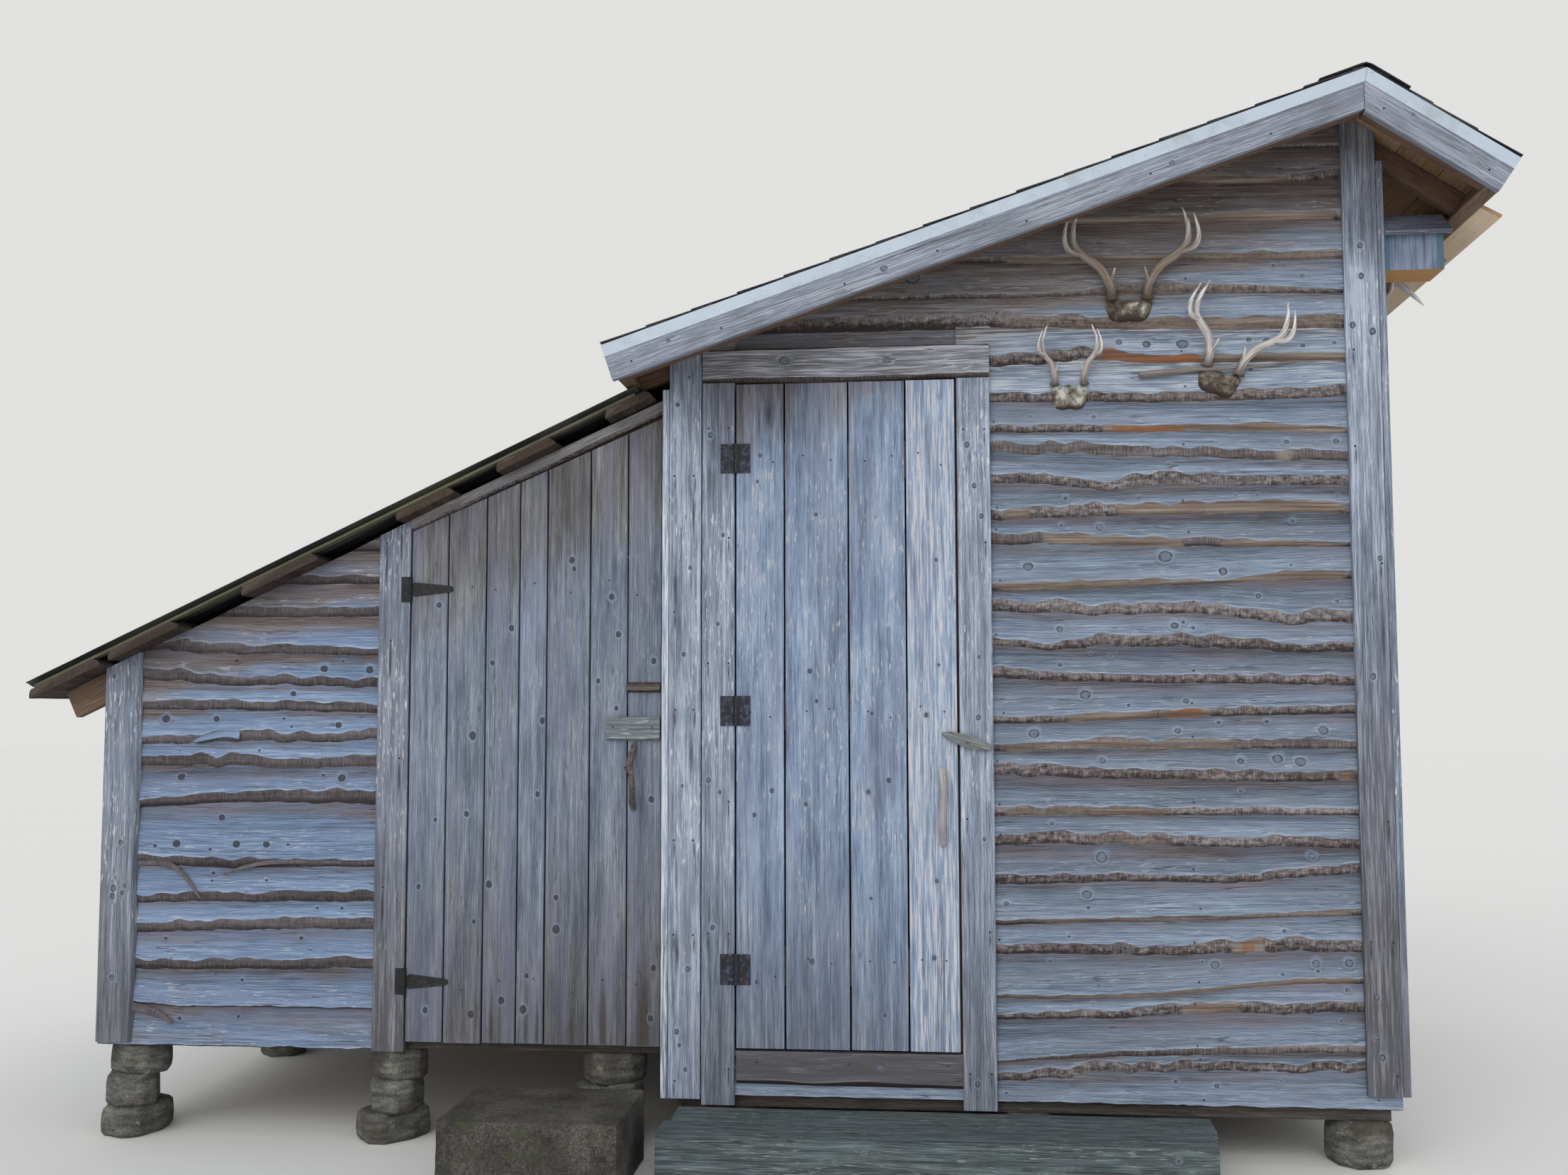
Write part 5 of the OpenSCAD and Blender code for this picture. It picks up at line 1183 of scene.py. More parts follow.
def makeLeanFront():
    draws.seed(leanSidingLook["seed"])
    pile, boards, above = newPile(), [], None
    postEdge = postX + cornerW
    for lows, bands in leanBoards:
        top = topUnder(above) if above else leanUnder(postEdge, leanRafterTop) - 1
        aboveAt = measured(leanStations, above[0]) if above else None
        above = (lows, bands)
        tone = draws.uniform(0.25, 1.0)
        boards.append(addSiding(pile, leanFront, leanStart, lambda z: max(postEdge, leanStart(z) + 6),
            measured(leanStations, lows), measured(leanStations, bands, leanSidingLook["bandSize"]), top,
            tone, draws.uniform(0.62, 0.8), 16, aboveAt, leanFrontWarm))
    cropX, cropY = leanSidingLook["crop"]
    for px, py in leanSidingLook["knots"]:
        s, z = photoSpot(cropX + px / leanSidingLook["cropScale"], cropY + py / leanSidingLook["cropScale"],
            40)
        # dark knots with a pale swirl round them
        knotOnSiding(pile, boards, s, z, draws.uniform(17, 23), 1.1, 0.92)
    for k in range(22):
        knotOnSiding(pile, boards, draws.uniform(-1620, -900), draws.uniform(300, 1480), draws.uniform(9, 15),
            1.2, 0.68)
    for places, wide, bark, tone in leanSidingLook["peels"]:
        addRibbon(pile, places, wide, 5, bark, tone)
    makePiece("lean_to_front_siding", pile, leanSiding, "lean_siding", "lean_front_wall")


makeLeanFront()
makeWall("lean_to_side_siding", leanSide, "lean_side_wall", leanBackY - leanY, at(25),
    at(leanBackY - leanFrameY), leanUnder(-leanW, leanRafterLow), leanSiding, "lean_siding", 53,
    evenWarm(0.1), leanWallZ)
makeWall("lean_to_back_siding", leanBack, "lean_back_wall", leanW, at(0), lambda z: min(leanW, -leanStart(z)),
         leanUnder(0, leanRafterTop) - 3, leanSiding, "lean_siding", 59, evenWarm(0.1), leanWallZ)

# Trim boards
trimLook = {"seed": 3, "leftX": 70, "rightX": 2070.5, "leftZ": sidingZ - 7, "rightZ": sidingZ + 41,
    "casingZ": 145}


def upright(pile, x, y, foot, head, width, thick, across=(-1, 0, 0), **more):
    # an upright board; x and y are the middle of its face
    return addBoard(pile, (x, y, foot), (x, y, head), across, width, thick, **more)


def level(pile, x0, x1, y, z, height, thick, **more):
    # a level board on edge that faces the front
    return addBoard(pile, (x0, y, z), (x1, y, z), (0, 0, 1), height, thick, **more)


def corner(pile, x, y, foot, head, slope=0, width=cornerW - 1, **more):
    more = dict(dict(warm=0.1, splash=0.8, lee=0.25, step=60), **more)
    return upright(pile, x, y, foot, head, width, trimT, skew=(0, slope), **more)


def makeTrim():
    draws.seed(trimLook["seed"])
    pile = newPile()
    leftX, rightX, leftZ, rightZ = (trimLook[key] for key in ("leftX", "rightX", "leftZ", "rightZ"))
    left = corner(pile, leftX, 0, leftZ, roofUnder(leftX, deckT + 1), -tanL, splash=0.25, tone=0.95, lee=0.0)
    right = corner(pile, rightX, 0, rightZ, roofUnder(rightX, deckT + 1), tanR, splash=1.6, splashTop=2300,
        tone=1.1, lee=0.75)
    for board in (left, right):
        for k in range(7):
            u = 90 + k * 345 + draws.uniform(-40, 40)
            for w in (-30, 30):
                if u < board.length - 60 and draws.random() < 0.8:
                    nailBoard(board, u, w + draws.uniform(-5, 5))
                    stainOnBoard(pile, board, u - 26, w, 52, 6, 0.8)
    for k in range(9):
        knotOnBoard(pile, left, draws.uniform(60, 2150), draws.uniform(-30, 30), draws.uniform(12, 22), 1.2,
            0.7)
        knotOnBoard(pile, right, draws.uniform(60, 2500), draws.uniform(-30, 30), draws.uniform(14, 26), 1.2,
            0.76)
    for u, w in ((430, 22), (1010, -20), (1500, 28), (1720, -26)):
        stainOnBoard(pile, left, u, w, draws.uniform(120, 220), draws.uniform(8, 16), 0.8)
    stainOnBoard(pile, right, 1300, -30, 260, 16, 0.7)
    for w in (-36, -6, 28):
        stainOnBoard(pile, right, right.length - 310, w, 230, 22, 0.6)
    # side boards of the corners
    for x, y, low in ((0, cornerW / 2, leftZ), (mainW, cornerW / 2, rightZ), (0, depth - cornerW / 2, leftZ),
                      (mainW, depth - cornerW / 2, leftZ)):
        top = roofUnder(mainW - 10, rafterLow) if x else roofUnder(10, rafterLow + 34)
        corner(pile, x, y, low, top - 3, across=(0, -1 if x else 1, 0), width=cornerW,
            tone=1.7 if y < depth / 2 and not x else None)
    for x, slope in ((leftX, tanL), (rightX, -tanR)):
        corner(pile, x, depth, leftZ, roofUnder(x, deckT + 1), slope, across=(1, 0, 0))
    makePiece("corner_trim", pile, greyTrim, "grey_trim", "corner_boards")

    pile = newPile()
    casings = [corner(pile, x + cornerW / 2, 0, trimLook["casingZ"], headerZ - 1, width=cornerW, lee=0.5)
        for x in (casingX, openX1)]
    for board in casings:
        for k in range(6):
            u = 120 + k * 380 + draws.uniform(-50, 50)
            for w in (-32, 30):
                if draws.random() < 0.7:
                    nailBoard(board, u, w)
                    stainOnBoard(pile, board, u - 24, w, 46, 5, 0.8)
        for k in range(7):
            knotOnBoard(pile, board, draws.uniform(60, 2100), draws.uniform(-32, 32), draws.uniform(12, 22),
                1.2, 0.7)
    header = level(pile, casingX, openX1 + cornerW, 0, headerZ + 52, 104, trimT,
        low=edgeLook(4.0, 15.0, 0.62), high=edgeLook(3.0, 7.0, 0.6), step=22, warm=0.95, tone=1.3, lee=0.45)
    knotOnBoard(pile, header, 250, 12, 22)
    knotOnBoard(pile, header, 560, 6, 19)
    sill = level(pile, openX0 + 6, openX1 - 1, 0, 252, 98, trimT, low=edgeLook(4.0, 14.0, 0.9), step=26,
        warm=0.6, tone=0.1, splash=1.0)
    knotOnBoard(pile, sill, 420, 10, 16)
    for u in (60, 330, 620):
        nailBoard(sill, u, 18, 3)
    makePiece("door_casing", pile, greyTrim, "grey_trim", "door_trim")

    # corner board and door post board of the lean-to
    pile = newPile()
    x, postMiddle = -leanW + 57, postX + 49
    foot = upright(pile, x, leanY, leanWallZ + 12, leanUnder(x, leanRafterTop) - 1, 114, trimT,
        low=edgeLook(3.0, 9.0), skew=(0, -tanS), step=30, warm=0.3, tone=0.3, splash=0.6, moss=0.42)
    post = upright(pile, postMiddle, leanY, leanWallZ, leanUnder(postMiddle, leanRafterTop) - 1, cornerW,
        trimT, skew=(0, -tanS), step=60, warm=0.35, tone=0.2, splash=0.8)
    for k in range(7):
        knotOnBoard(pile, foot, draws.uniform(60, 1150), draws.uniform(-30, 40), draws.uniform(14, 26), 1.2,
            0.72)
    for u, w in ((1530, -20), (1480, 26), (1180, 10), (820, -24), (430, 22)):
        stainOnBoard(pile, post, u, w, draws.uniform(70, 130), 7, 1.0)
        nailBoard(post, u + 60, w)
    makePiece("lean_to_trim", pile, greyTrim, "grey_trim", "lean_front_boards")


makeTrim()

# Doors. A stain is a plank, its place up and across, its half lengths and how much.
plankT, battenT, battenW = 22, 18, 110
mainDoorLook = {"seed": 8, "edges": (226, 371, 563, 734, 881), "gap": 2.6, "z0": 309, "z1": 2284,
    "nailZ": (544, 1296, 2049), "battenZ": (489, 1241.5, 1994), "tones": (0.5, 0.35, 0.62, 1.42),
    # per plank, how much brown and painted shade it takes close under the roof
    "lee": (1.3, 1.0, 1.0, 0.6), "stains": ((0, 1880, -30, 110, 30, 0.75), (0, 1750, -34, 170, 22, 0.45),
    (0, 1905, 28, 90, 26, 0.4), (1, 1900, 34, 100, 34, 0.3), (1, 1880, -20, 170, 22, 0.35),
    (2, 1850, 22, 90, 40, 0.5), (2, 1740, -8, 220, 20, 0.35), (3, 1700, 4, 160, 16, 0.35),
    (3, 1420, 10, 300, 20, 0.3), (1, 1500, 40, 320, 26, 0.25), (2, 1150, 30, 360, 18, 0.25),
    (0, 60, 0, 160, 45, 0.3), (1, 50, 0, 170, 60, 0.35), (2, 70, 0, 150, 50, 0.3), (3, 60, 0, 140, 40, 0.3)),
    }
leanDoorLook = {"seed": 9, "edges": (-784, -669, -549, -445, -359, -225, -109, -6), "gap": 2.3,
    "battenZ": (483, 1671), "tones": (0.6, 0.35, 0.4, 0.75, 0.3, 0.45, 0.25),
    "stains": ((6, 700, 10, 300, 24, 0.5), (5, 1250, 0, 300, 26, 0.35), (6, 1500, 0, 200, 30, 0.35),
    (4, 1300, 0, 240, 30, 0.3), (2, 1100, 0, 200, 24, 0.3), (2, 40, 20, 240, 16, 0.75),
    (3, 50, 10, 300, 18, 0.7), (3, 30, -24, 200, 12, 0.8), (4, 30, -20, 260, 18, 0.7),
    (5, 20, 10, 320, 24, 0.9), (6, 10, 0, 420, 40, 1.0), (1, 30, 0, 160, 20, 0.5)), }


def plankSides(look):
    # each plank's tone and its two sides, with a gap between planks
    edges, gap = look["edges"], look["gap"]
    starts = [edges[0] + 0.1] + [x + gap for x in edges[1:-1]]
    ends = [x - gap for x in edges[1:-1]] + [edges[-1] - 0.1]
    return list(zip(look["tones"], starts, ends))


def makeMainDoor():
    look = mainDoorLook
    draws.seed(look["seed"])
    pile = newPile()
    planks = [upright(pile, (x0 + x1) / 2, 0, look["z0"] + draws.uniform(0, 3),
        look["z1"] - draws.uniform(0, 2), x1 - x0, plankT, tone=tone, step=70, warm=0.1, splash=0.8, lee=lee)
        for (tone, x0, x1), lee in zip(plankSides(look), look["lee"])]
    for plank in planks:
        for k in range(5):
            knotOnBoard(pile, plank, draws.uniform(80, 1850), draws.uniform(-45, 45), draws.uniform(13, 22),
                1.2, draws.uniform(0.62, 0.74))
    for plank, u, w, radiusU, radiusW, amount in look["stains"]:
        stainOnBoard(pile, planks[plank], u, w, radiusU, radiusW, amount)
    for z in look["nailZ"]:
        for plank in planks:
            for w in (-38, 36):
                nailBoard(plank, z - look["z0"] + draws.uniform(-28, 28), w + draws.uniform(-8, 8), 2.8,
                    doorNails)
    makePiece("main_door_planks", pile, plankWood, "door_planks", "main_door", body="main_door")
    pile = newPile()
    for z in look["battenZ"]:
        level(pile, 862, 246, 40, z + battenW / 2, battenW, battenT, warm=0.5)
    makePiece("main_door_back_battens", pile, frameWood, "door_planks", "main_door_battens", body="main_door")


def makeLeanDoor():
    look = leanDoorLook
    draws.seed(look["seed"])
    pile, free = newPile(), leanDoorX + leanDoorW
    planks = [upright(pile, (x0 + x1) / 2, leanY, leanDoorZ + draws.uniform(0, 4),
        leanDoorLine((x0 + x1) / 2) - 1, x1 - x0, plankT, tone=tone, step=70, skew=(0, -doorSlope), warm=0.25,
        splash=0.9, lee=0.6) for tone, x0, x1 in plankSides(look)]
    for plank in planks:
        for k in range(4):
            knotOnBoard(pile, plank, draws.uniform(60, plank.length - 80), draws.uniform(-34, 34),
                draws.uniform(13, 28), 1.2, draws.uniform(0.66, 0.82))
        for z in look["battenZ"]:
            nailBoard(plank, z - leanDoorZ + draws.uniform(-26, 26), draws.uniform(-24, 24), 2.8,
                leanDoorNails)
    for plank, u, w, radiusU, radiusW, amount in look["stains"]:
        stainOnBoard(pile, planks[plank], u, w, radiusU, radiusW, amount)
    makePiece("lean_to_door_planks", pile, leanPlank, "lean_siding", "lean_door", body="lean_to_door")
    pile = newPile()
    for z in look["battenZ"]:
        level(pile, free - 30, leanDoorX + 45, leanY + 40, z, battenW, battenT, warm=0.4)
    makePiece("lean_to_door_back_battens", pile, frameWood, "door_planks", "lean_door_battens",
        body="lean_to_door")
    # cleat and latch bar at the free edge
    pile, barPile, barEdge = newPile(), newPile(), edgeLook(2, 8, 0.9)
    cleat = level(pile, free - 164, free - 1, leanY - battenT, 1244, 70, battenT, low=edgeLook(1.5, 6, 0.2),
        warm=0.2, step=18)
    bar = level(barPile, free - 101, free - 1, leanY - battenT, 1368, 30, battenT, low=barEdge, high=barEdge,
        warm=0.4, step=12)
    for board, u in ((cleat, 20), (cleat, 140), (bar, 18), (bar, 80)):
        nailBoard(board, u, 4, 2.6, leanDoorNails)
    makePiece("lean_to_latch", pile, cleatWood, "bark_wood", "lean_door_latch", body="lean_to_door")
    makePiece("lean_to_latch_bar", barPile, barkWood, "bark_wood", body="lean_to_door")


makeMainDoor()
makeLeanDoor()


# Round limbs: handles and antlers
def addLimb(pile, points, radii, steps, sides, lumps, seed, tintAt, flatY=None):
    path, sizes = splinePath(points, radii, steps)
    first, wide = len(pile.verts), sides + 1
    side = None
    run = 0.0
    for i, (p, r) in enumerate(zip(path, sizes)):
        heading = (path[min(i + 1, len(path) - 1)] - path[max(i - 1, 0)]).normalized()
        side = heading.orthogonal() if side is None else side - heading * side.dot(heading)
        side.normalize()
        other = heading.cross(side)
        run += (p - path[max(i - 1, 0)]).length
        for k in range(wide):
            a = 2 * math.pi * k / sides
            lump = 1 + lumps * (wobble(run / 16 + seed, math.cos(a), math.sin(a))
                                + 0.6 * wobble(run / 6 + seed, math.cos(a) * 2, math.sin(a) * 2))
            point = p + (side * math.cos(a) + other * math.sin(a)) * r * lump
            if flatY is not None:
                point.y = min(point.y, flatY)
            addPoint(pile, point, (run / 1000 + seed, 2 * math.pi * r * k / sides / 1000 + seed),
                tintAt(i / (len(path) - 1)))
    for i in range(len(path) - 1):
        for a in range(first + i * wide, first + i * wide + sides):
            addFace(pile, (a, a + 1, a + wide + 1, a + wide))
    for row, flip in ((0, True), (len(path) - 1, False)):
        sources = range(first + row * wide, first + row * wide + sides)
        addFace(pile, [addPoint(pile, pile.verts[k], pile.grain[k], pile.tint[k], (0.7, 0, 0, 0))
            for k in sources], flip)


def evenTint(*tint):
    return lambda t: tint


def offset(x, y, z, places):
    return [(x + dx, y + dy, z + dz) for dx, dy, dz in places]


# places along each handle from its lower end, in from the planks' face
handles = {"stick": (835, 907, ((2, -3, 0), (0, -16, 22), (-3, -36, 60), (0, -40, 110), (3, -35, 158),
    (1, -16, 194), (0, -3, 215)), (11, 11.5, 12, 13, 13, 13, 13)),
    "branch": (-90, 1004, ((2, -3, 0), (0, -18, 22), (5, -42, 58), (3, -48, 96), (-3, -38, 138),
    (2, -18, 172), (4, -3, 192)), (8, 9.5, 9.5, 9, 10.5, 9, 8)),
    "stub": ((0, -44, 110), (-12, -50, 120), (-16, -52, 128)), }


def makeHandles():
    x, z, places, radii = handles["stick"]
    pile = newPile()
    addLimb(pile, offset(x, 0, z, places), radii, 5, 12, 0.1, 2.0, lambda t: (0.5 + 0.4 * t, 0, 0, 0), -0.2)
    for y, dz in ((-21, 14), (-24, 200)):
        addNail((x + 1, y, z + dz), (0, -1, 0), 3.4, pile=doorNails)
    makePiece("main_door_stick", pile, peeledStick, "stick_wood", "main_door_handle", body="main_door",
        sharp=60)
    x, z, places, radii = handles["branch"]
    pile = newPile()
    addLimb(pile, offset(x, leanY, z, places), radii, 5, 12, 0.12, 7.0, evenTint(0.2, 0.95, 0, 0),
        leanY - 0.2)
    addLimb(pile, offset(x, leanY, z, handles["stub"]), [6, 4.5, 3], 3, 9, 0.12, 1.0,
        evenTint(0.2, 0.95, 0, 0))
    for dz in (12, 182):
        addNail((x + 3, leanY - 13, z + dz), (0, -1, 0), 3, pile=leanDoorNails)
    makePiece("lean_to_branch_handle", pile, stickWood, "stick_wood", "lean_door_handle", body="lean_to_door",
        sharp=60)


makeHandles()

turnButton = {"length": 162, "width": 37, "thick": 16, "tilt": -17, "x": 910, "z": 1207, "gap": 6}


def makeTurnButton():
    pile = newPile()
    tilt = math.radians(turnButton["tilt"])
    rows, long, half = 25, turnButton["length"], turnButton["width"] / 2
    front, back = -turnButton["gap"] - turnButton["thick"], -turnButton["gap"]
    for i in range(rows):
        # its left end is rounded and its right end is cut off
        t = 0.015 + 0.93 * i / (rows - 1)
        u = long * (t - 0.5)
        w = half * math.sin(math.pi * t) ** 0.62 * (1 + 0.05 * wobble(t * 5, 3))
        for v, y in ((-w, back - 2), (-w, front + 5), (-w * 0.72, front + 1.6), (0, front + 0.3),
                (w * 0.72, front + 1.6), (w, front + 5), (w, back - 2), (w * 0.8, back), (-w * 0.8, back),
                (-w, back - 2)):
            x = turnButton["x"] + u * math.cos(tilt) - v * math.sin(tilt)
            z = turnButton["z"] + u * math.sin(tilt) + v * math.cos(tilt)
            addPoint(pile, Vector((x, y, z)), (u / 1000 + 3, (v - y) / 1000 + 5), (0.6, 0, 0, 0),
                (0, 0.5, 0, 0))
    joinRows(pile, 0, rows, 10)
    addFace(pile, range(8, -1, -1))
    addFace(pile, range((rows - 1) * 10, (rows - 1) * 10 + 9))
    makePiece("turn_button_leaf", pile, cleatWood, "stick_wood", "turn_button", body="turn_button", sharp=50)


makeTurnButton()

# Antlers. A branch is its places (out, forward, up), its radii, and how far up its start and end lie.
beam = ((22, 18, 12), (30, 26, 50), (58, 44, 92), (98, 56, 122), (124, 66, 150), (130, 74, 196),
        (118, 72, 246))
antlerLook = {
    "branches": ((beam, (14, 13, 12, 11.5, 10, 6.5, 1.5), 0.0, 1.0),
                 (((104, 58, 126), (136, 84, 132), (150, 92, 168), (142, 84, 226)), (9, 8, 6, 1.5), 0.5, 1.0),
                 (((30, 26, 50), (26, 42, 70), (24, 46, 92)), (7, 5, 1.5), 0.25, 0.9)),
    # each set: its place, turn about the wall's normal, size, spread, bleach and splay,
    # then its plate's half width, top, foot and tone
    "lumps": 0.12,
    "front": ((1401, 2503, 0, 1.08, 1.18, 0.2, 26, (71, 20, -56, 0.3)),
              (1664, 2285, 18, 0.98, 1.0, 0.95, 28, (64, 18, -66, 0.12)),
              (1222, 2255, 0, 0.72, 0.72, 0.65, 34, (56, 20, -68, 0.68))),
    "right": ((345, 2430, 0, 1.0, 1.0, 0.5, 24, (60, 18, -60, 0.5)),
              (475, 2080, 0, 0.85, 1.0, 0.4, 24, (54, 18, -56, 0.4))),
    "plateRings": ((0.0, 25), (0.35, 25), (0.66, 23), (0.86, 17), (0.96, 9), (1.0, 1)),
    "plateOutline": ((-0.82, -0.66), (-0.66, -0.9), (-0.36, -1.0), (0.02, -0.9), (0.4, -1.0), (0.7, -0.86),
    (0.84, -0.56),
                     (0.93, 0.0), (1.0, 0.5), (0.74, 0.92), (0.36, 0.66), (0, 0.76), (-0.36, 0.66), (-0.74,
                     0.92),
                     (-1.0, 0.5), (-0.95, 0.0)),
    # a longer tine of the upper set on the right wall, seen past the corner
    "longTine": (((44, 228, 2632), (90, 246, 2617), (140, 250, 2577), (182, 252, 2534)), (8, 11, 9, 1.5)),
    # the twig behind the second set, in pixels of the photograph
    "twig": (((1606, 530), (1650, 526), (1700, 521), (1760, 519), (1829, 511)), (9, 9.5, 8, 4.5, 3)),
}


def addAntlers(pile, matrix, seed, size, spread, bleachAndHighlight, splay, plate):
    def posed(points, side):
        return [matrix @ Vector(((x * spread * size + splay * max(0.0, 1 - z * size / 200)) * side, -y * size,
            z * size)) for x, y, z in points]

    for side in (1, -1):
        for points, radii, low, high in antlerLook["branches"]:
            def tintAt(t, low=low, high=high):
                return (bleachAndHighlight, low + (high - low) * t, 0, 0)
            addLimb(pile, posed(points, side), [r * size for r in radii], 6, 12, antlerLook["lumps"],
                seed + side, tintAt)
        # rough burr round the foot of the beam
        foot, nextPoint = posed([beam[0], (25, 21, 26)], side)
        addLimb(pile, [foot - (nextPoint - foot) * 0.3, foot, foot + (nextPoint - foot) * 0.5],
                [15 * size, 20 * size, 15 * size], 4, 14, 0.22, seed, evenTint(bleachAndHighlight * 0.5, 0.05, 0, 0))
    # skull plate, lumpy and domed, with a sawn lower edge
    first = len(pile.verts)
    wide, top, foot, plateTone = plate
    rings, outline = antlerLook["plateRings"], antlerLook["plateOutline"]
    for r, rise in rings:
        for x, z in outline:
            bump = 3.4 * wobble(x * r * 3.4 + seed, z * r * 2.6)
            height = (top + foot) / 2 + z * r * (top - foot) / 2
            place = matrix @ Vector((x * r * wide, -(rise * 0.85 + bump * (1 - r * 0.7)) * size, height))
            tone = clamp(plateTone + 0.9 * wobble(x * r * 2.2 + seed, z * r * 2.4, 4.0))
            addPoint(pile, place, (x * r * wide / 1000 + seed, height / 1000),
                (tone, 0.1, 1.0, max(0.0, -z * r * 1.6 - 0.6)))
    joinRings(pile, first, len(rings), len(outline), turned=True)


def makeAntlers():
    pile, seed = newPile(), 0
    for x, z, turn, *rest in antlerLook["front"]:
        place = Matrix.Translation((x, trimT, z)) @ Matrix.Rotation(math.radians(turn), 4, "Y")
        addAntlers(pile, place, seed * 3.7, *rest)
        seed += 1
    for y, z, turn, *rest in antlerLook["right"]:
        addAntlers(pile, Matrix.Translation((mainW - trimT, y, z)) @ Matrix.Rotation(math.pi / 2, 4, "Z"),
            seed * 3.7, *rest)
        seed += 1
    places, radii = antlerLook["longTine"]
    addLimb(pile, offset(mainW, 0, 0, places), radii, 5, 12, antlerLook["lumps"], 6.0,
        lambda t: (0.7, 0.4 + 0.6 * t, 0, 0))
    makePiece("antler_sets", pile, bone, "antler", "antlers", sharp=55)
    pile = newPile()
    places, radii = antlerLook["twig"]
    addLimb(pile, [(s, 3, z) for s, z in (photoSpot(*place) for place in places)], radii, 6, 10, 0.16, 4.0,
        evenTint(0.9, 0.0, 0, 0))
    makePiece("antler_twig", pile, stickWood, "stick_wood", sharp=60)


makeAntlers()
print("shed: doors, handles and antlers made")

# Gable roof
shingleLook = {"seed": 17, "exposure": 140, "tab": 305, "slot": 7, "thick": 4, "length": 205, "top": -7.0,
               "butt": -12.4, "capStep": 145, "capLength": 195}


def addTab(pile, pointAt, r0, r1, y0, y1, tone, curl=0.0):
    # a shingle tab: r0 is its upper end, r1 its lower end, both down the slope; d grows downwards
    d0, d1, thick = shingleLook["top"], shingleLook["butt"], shingleLook["thick"]
    bendR, bendD = r0 + (r1 - r0) * 0.6, d0 + (d1 - d0) * 0.6
    first = len(pile.verts)
    n = 4
    for i in range(n + 1):
        y = y0 + (y1 - y0) * i / n
        ragged = 1.6 * wobble(y / 23, r1 / 70)
        low = r1 + ragged
        ring = [(r0, d0), (bendR, bendD), (low, d1 - curl), (low, d1 - curl + thick), (bendR, bendD + thick),
            (r0, d0 + thick), (r0, d0)]
        for r, d in ring:
            addPoint(pile, Vector(pointAt(r, d, y)), (r / 1000, y / 1000), (tone, 0, 0, 0))
    return first, n + 1, 7


def makeShingles():
    draws.seed(shingleLook["seed"])
    pile = newPile()
    y0, y1 = -gableOut - 2, depth + gableOut + 2
    for pointAt, run, flip in ((leftPoint, runLeft, True), (rightPoint, runRight, False)):
        course = 0
        r1 = run
        while r1 > 20:
            r0 = max(6.0, r1 - shingleLook["length"])
            shift = (course % 2) * shingleLook["tab"] / 2 + draws.uniform(-4, 4)
            y = y0 - shift
            while y < y1:
                a, b = max(y0 + draws.uniform(0, 5), y), min(y1 - draws.uniform(0, 5),
                    y + shingleLook["tab"] - shingleLook["slot"])
                if b - a > 12:
                    first, rows, wide = addTab(pile, pointAt, r0, r1 - draws.uniform(0, 2), a, b,
                        draws.random(), 0.0 if draws.random() < 0.8 else draws.uniform(0, 0.5))
                    joinRows(pile, first, rows, wide, flip)
                    addFace(pile, range(first, first + wide - 1), flip)
                    last = first + (rows - 1) * wide
                    addFace(pile, range(last, last + wide - 1), not flip)
                y += shingleLook["tab"]
            r1 -= shingleLook["exposure"]
            course += 1
        # felt under the tabs
        first = len(pile.verts)
        for y in (y0 + 6, y1 - 6):
            for r in (4, run - 6):
                for d in (-3.4, -0.4):
                    addPoint(pile, Vector(pointAt(r, d, y)), (r / 1000, y / 1000), (0.2, 0, 0, 0))
        for face in ((0, 4, 6, 2), (1, 3, 7, 5), (0, 2, 3, 1), (4, 5, 7, 6), (2, 6, 7, 3)):
            addFace(pile, [first + k for k in face], flip)
    makePiece("shingle_tabs", pile, shingleMatter, "shingle", "roof_shingles", sharp=30)

    pile = newPile()
    y = y0
    while y < y1 - 10:
        end = min(y1, y + shingleLook["capLength"])
        tone = draws.random()
        first = len(pile.verts)
        for yy, lift in ((y + draws.uniform(0, 3), 0.0), (end, 3.6)):
            top, low = -17.9 + lift, -13.2
            crest = (ridgeX, yy, (leftPoint(0, top)[2] + leftPoint(7, top)[2]) / 2 + 1.0)
            under = (apexX(low), yy, roofUnder(apexX(low), low))
            ring = [leftPoint(r, top, yy) for r in (130, 60, 7)] + [crest]
            ring += [rightPoint(r, top, yy) for r in (7, 60, 130)]
            ring += [rightPoint(130, low, yy), under, leftPoint(130, low, yy), leftPoint(130, top, yy)]
            for k, p in enumerate(ring):
                addPoint(pile, Vector(p), (k * 0.05, yy / 1000), (tone, 0, 0, 0))
        for j in range(10):
            q = first + j
            addFace(pile, (q, q + 1, q + 12, q + 11))
        addFace(pile, range(first, first + 10), True)
        addFace(pile, range(first + 11, first + 21))
        y += shingleLook["capStep"]
    makePiece("ridge_caps", pile, shingleMatter, "shingle", "ridge_cap", sharp=30)


roofWoodLook = {"seed": 29, "boardWidths": (135, 165), "nailSteps": (260, 400)}


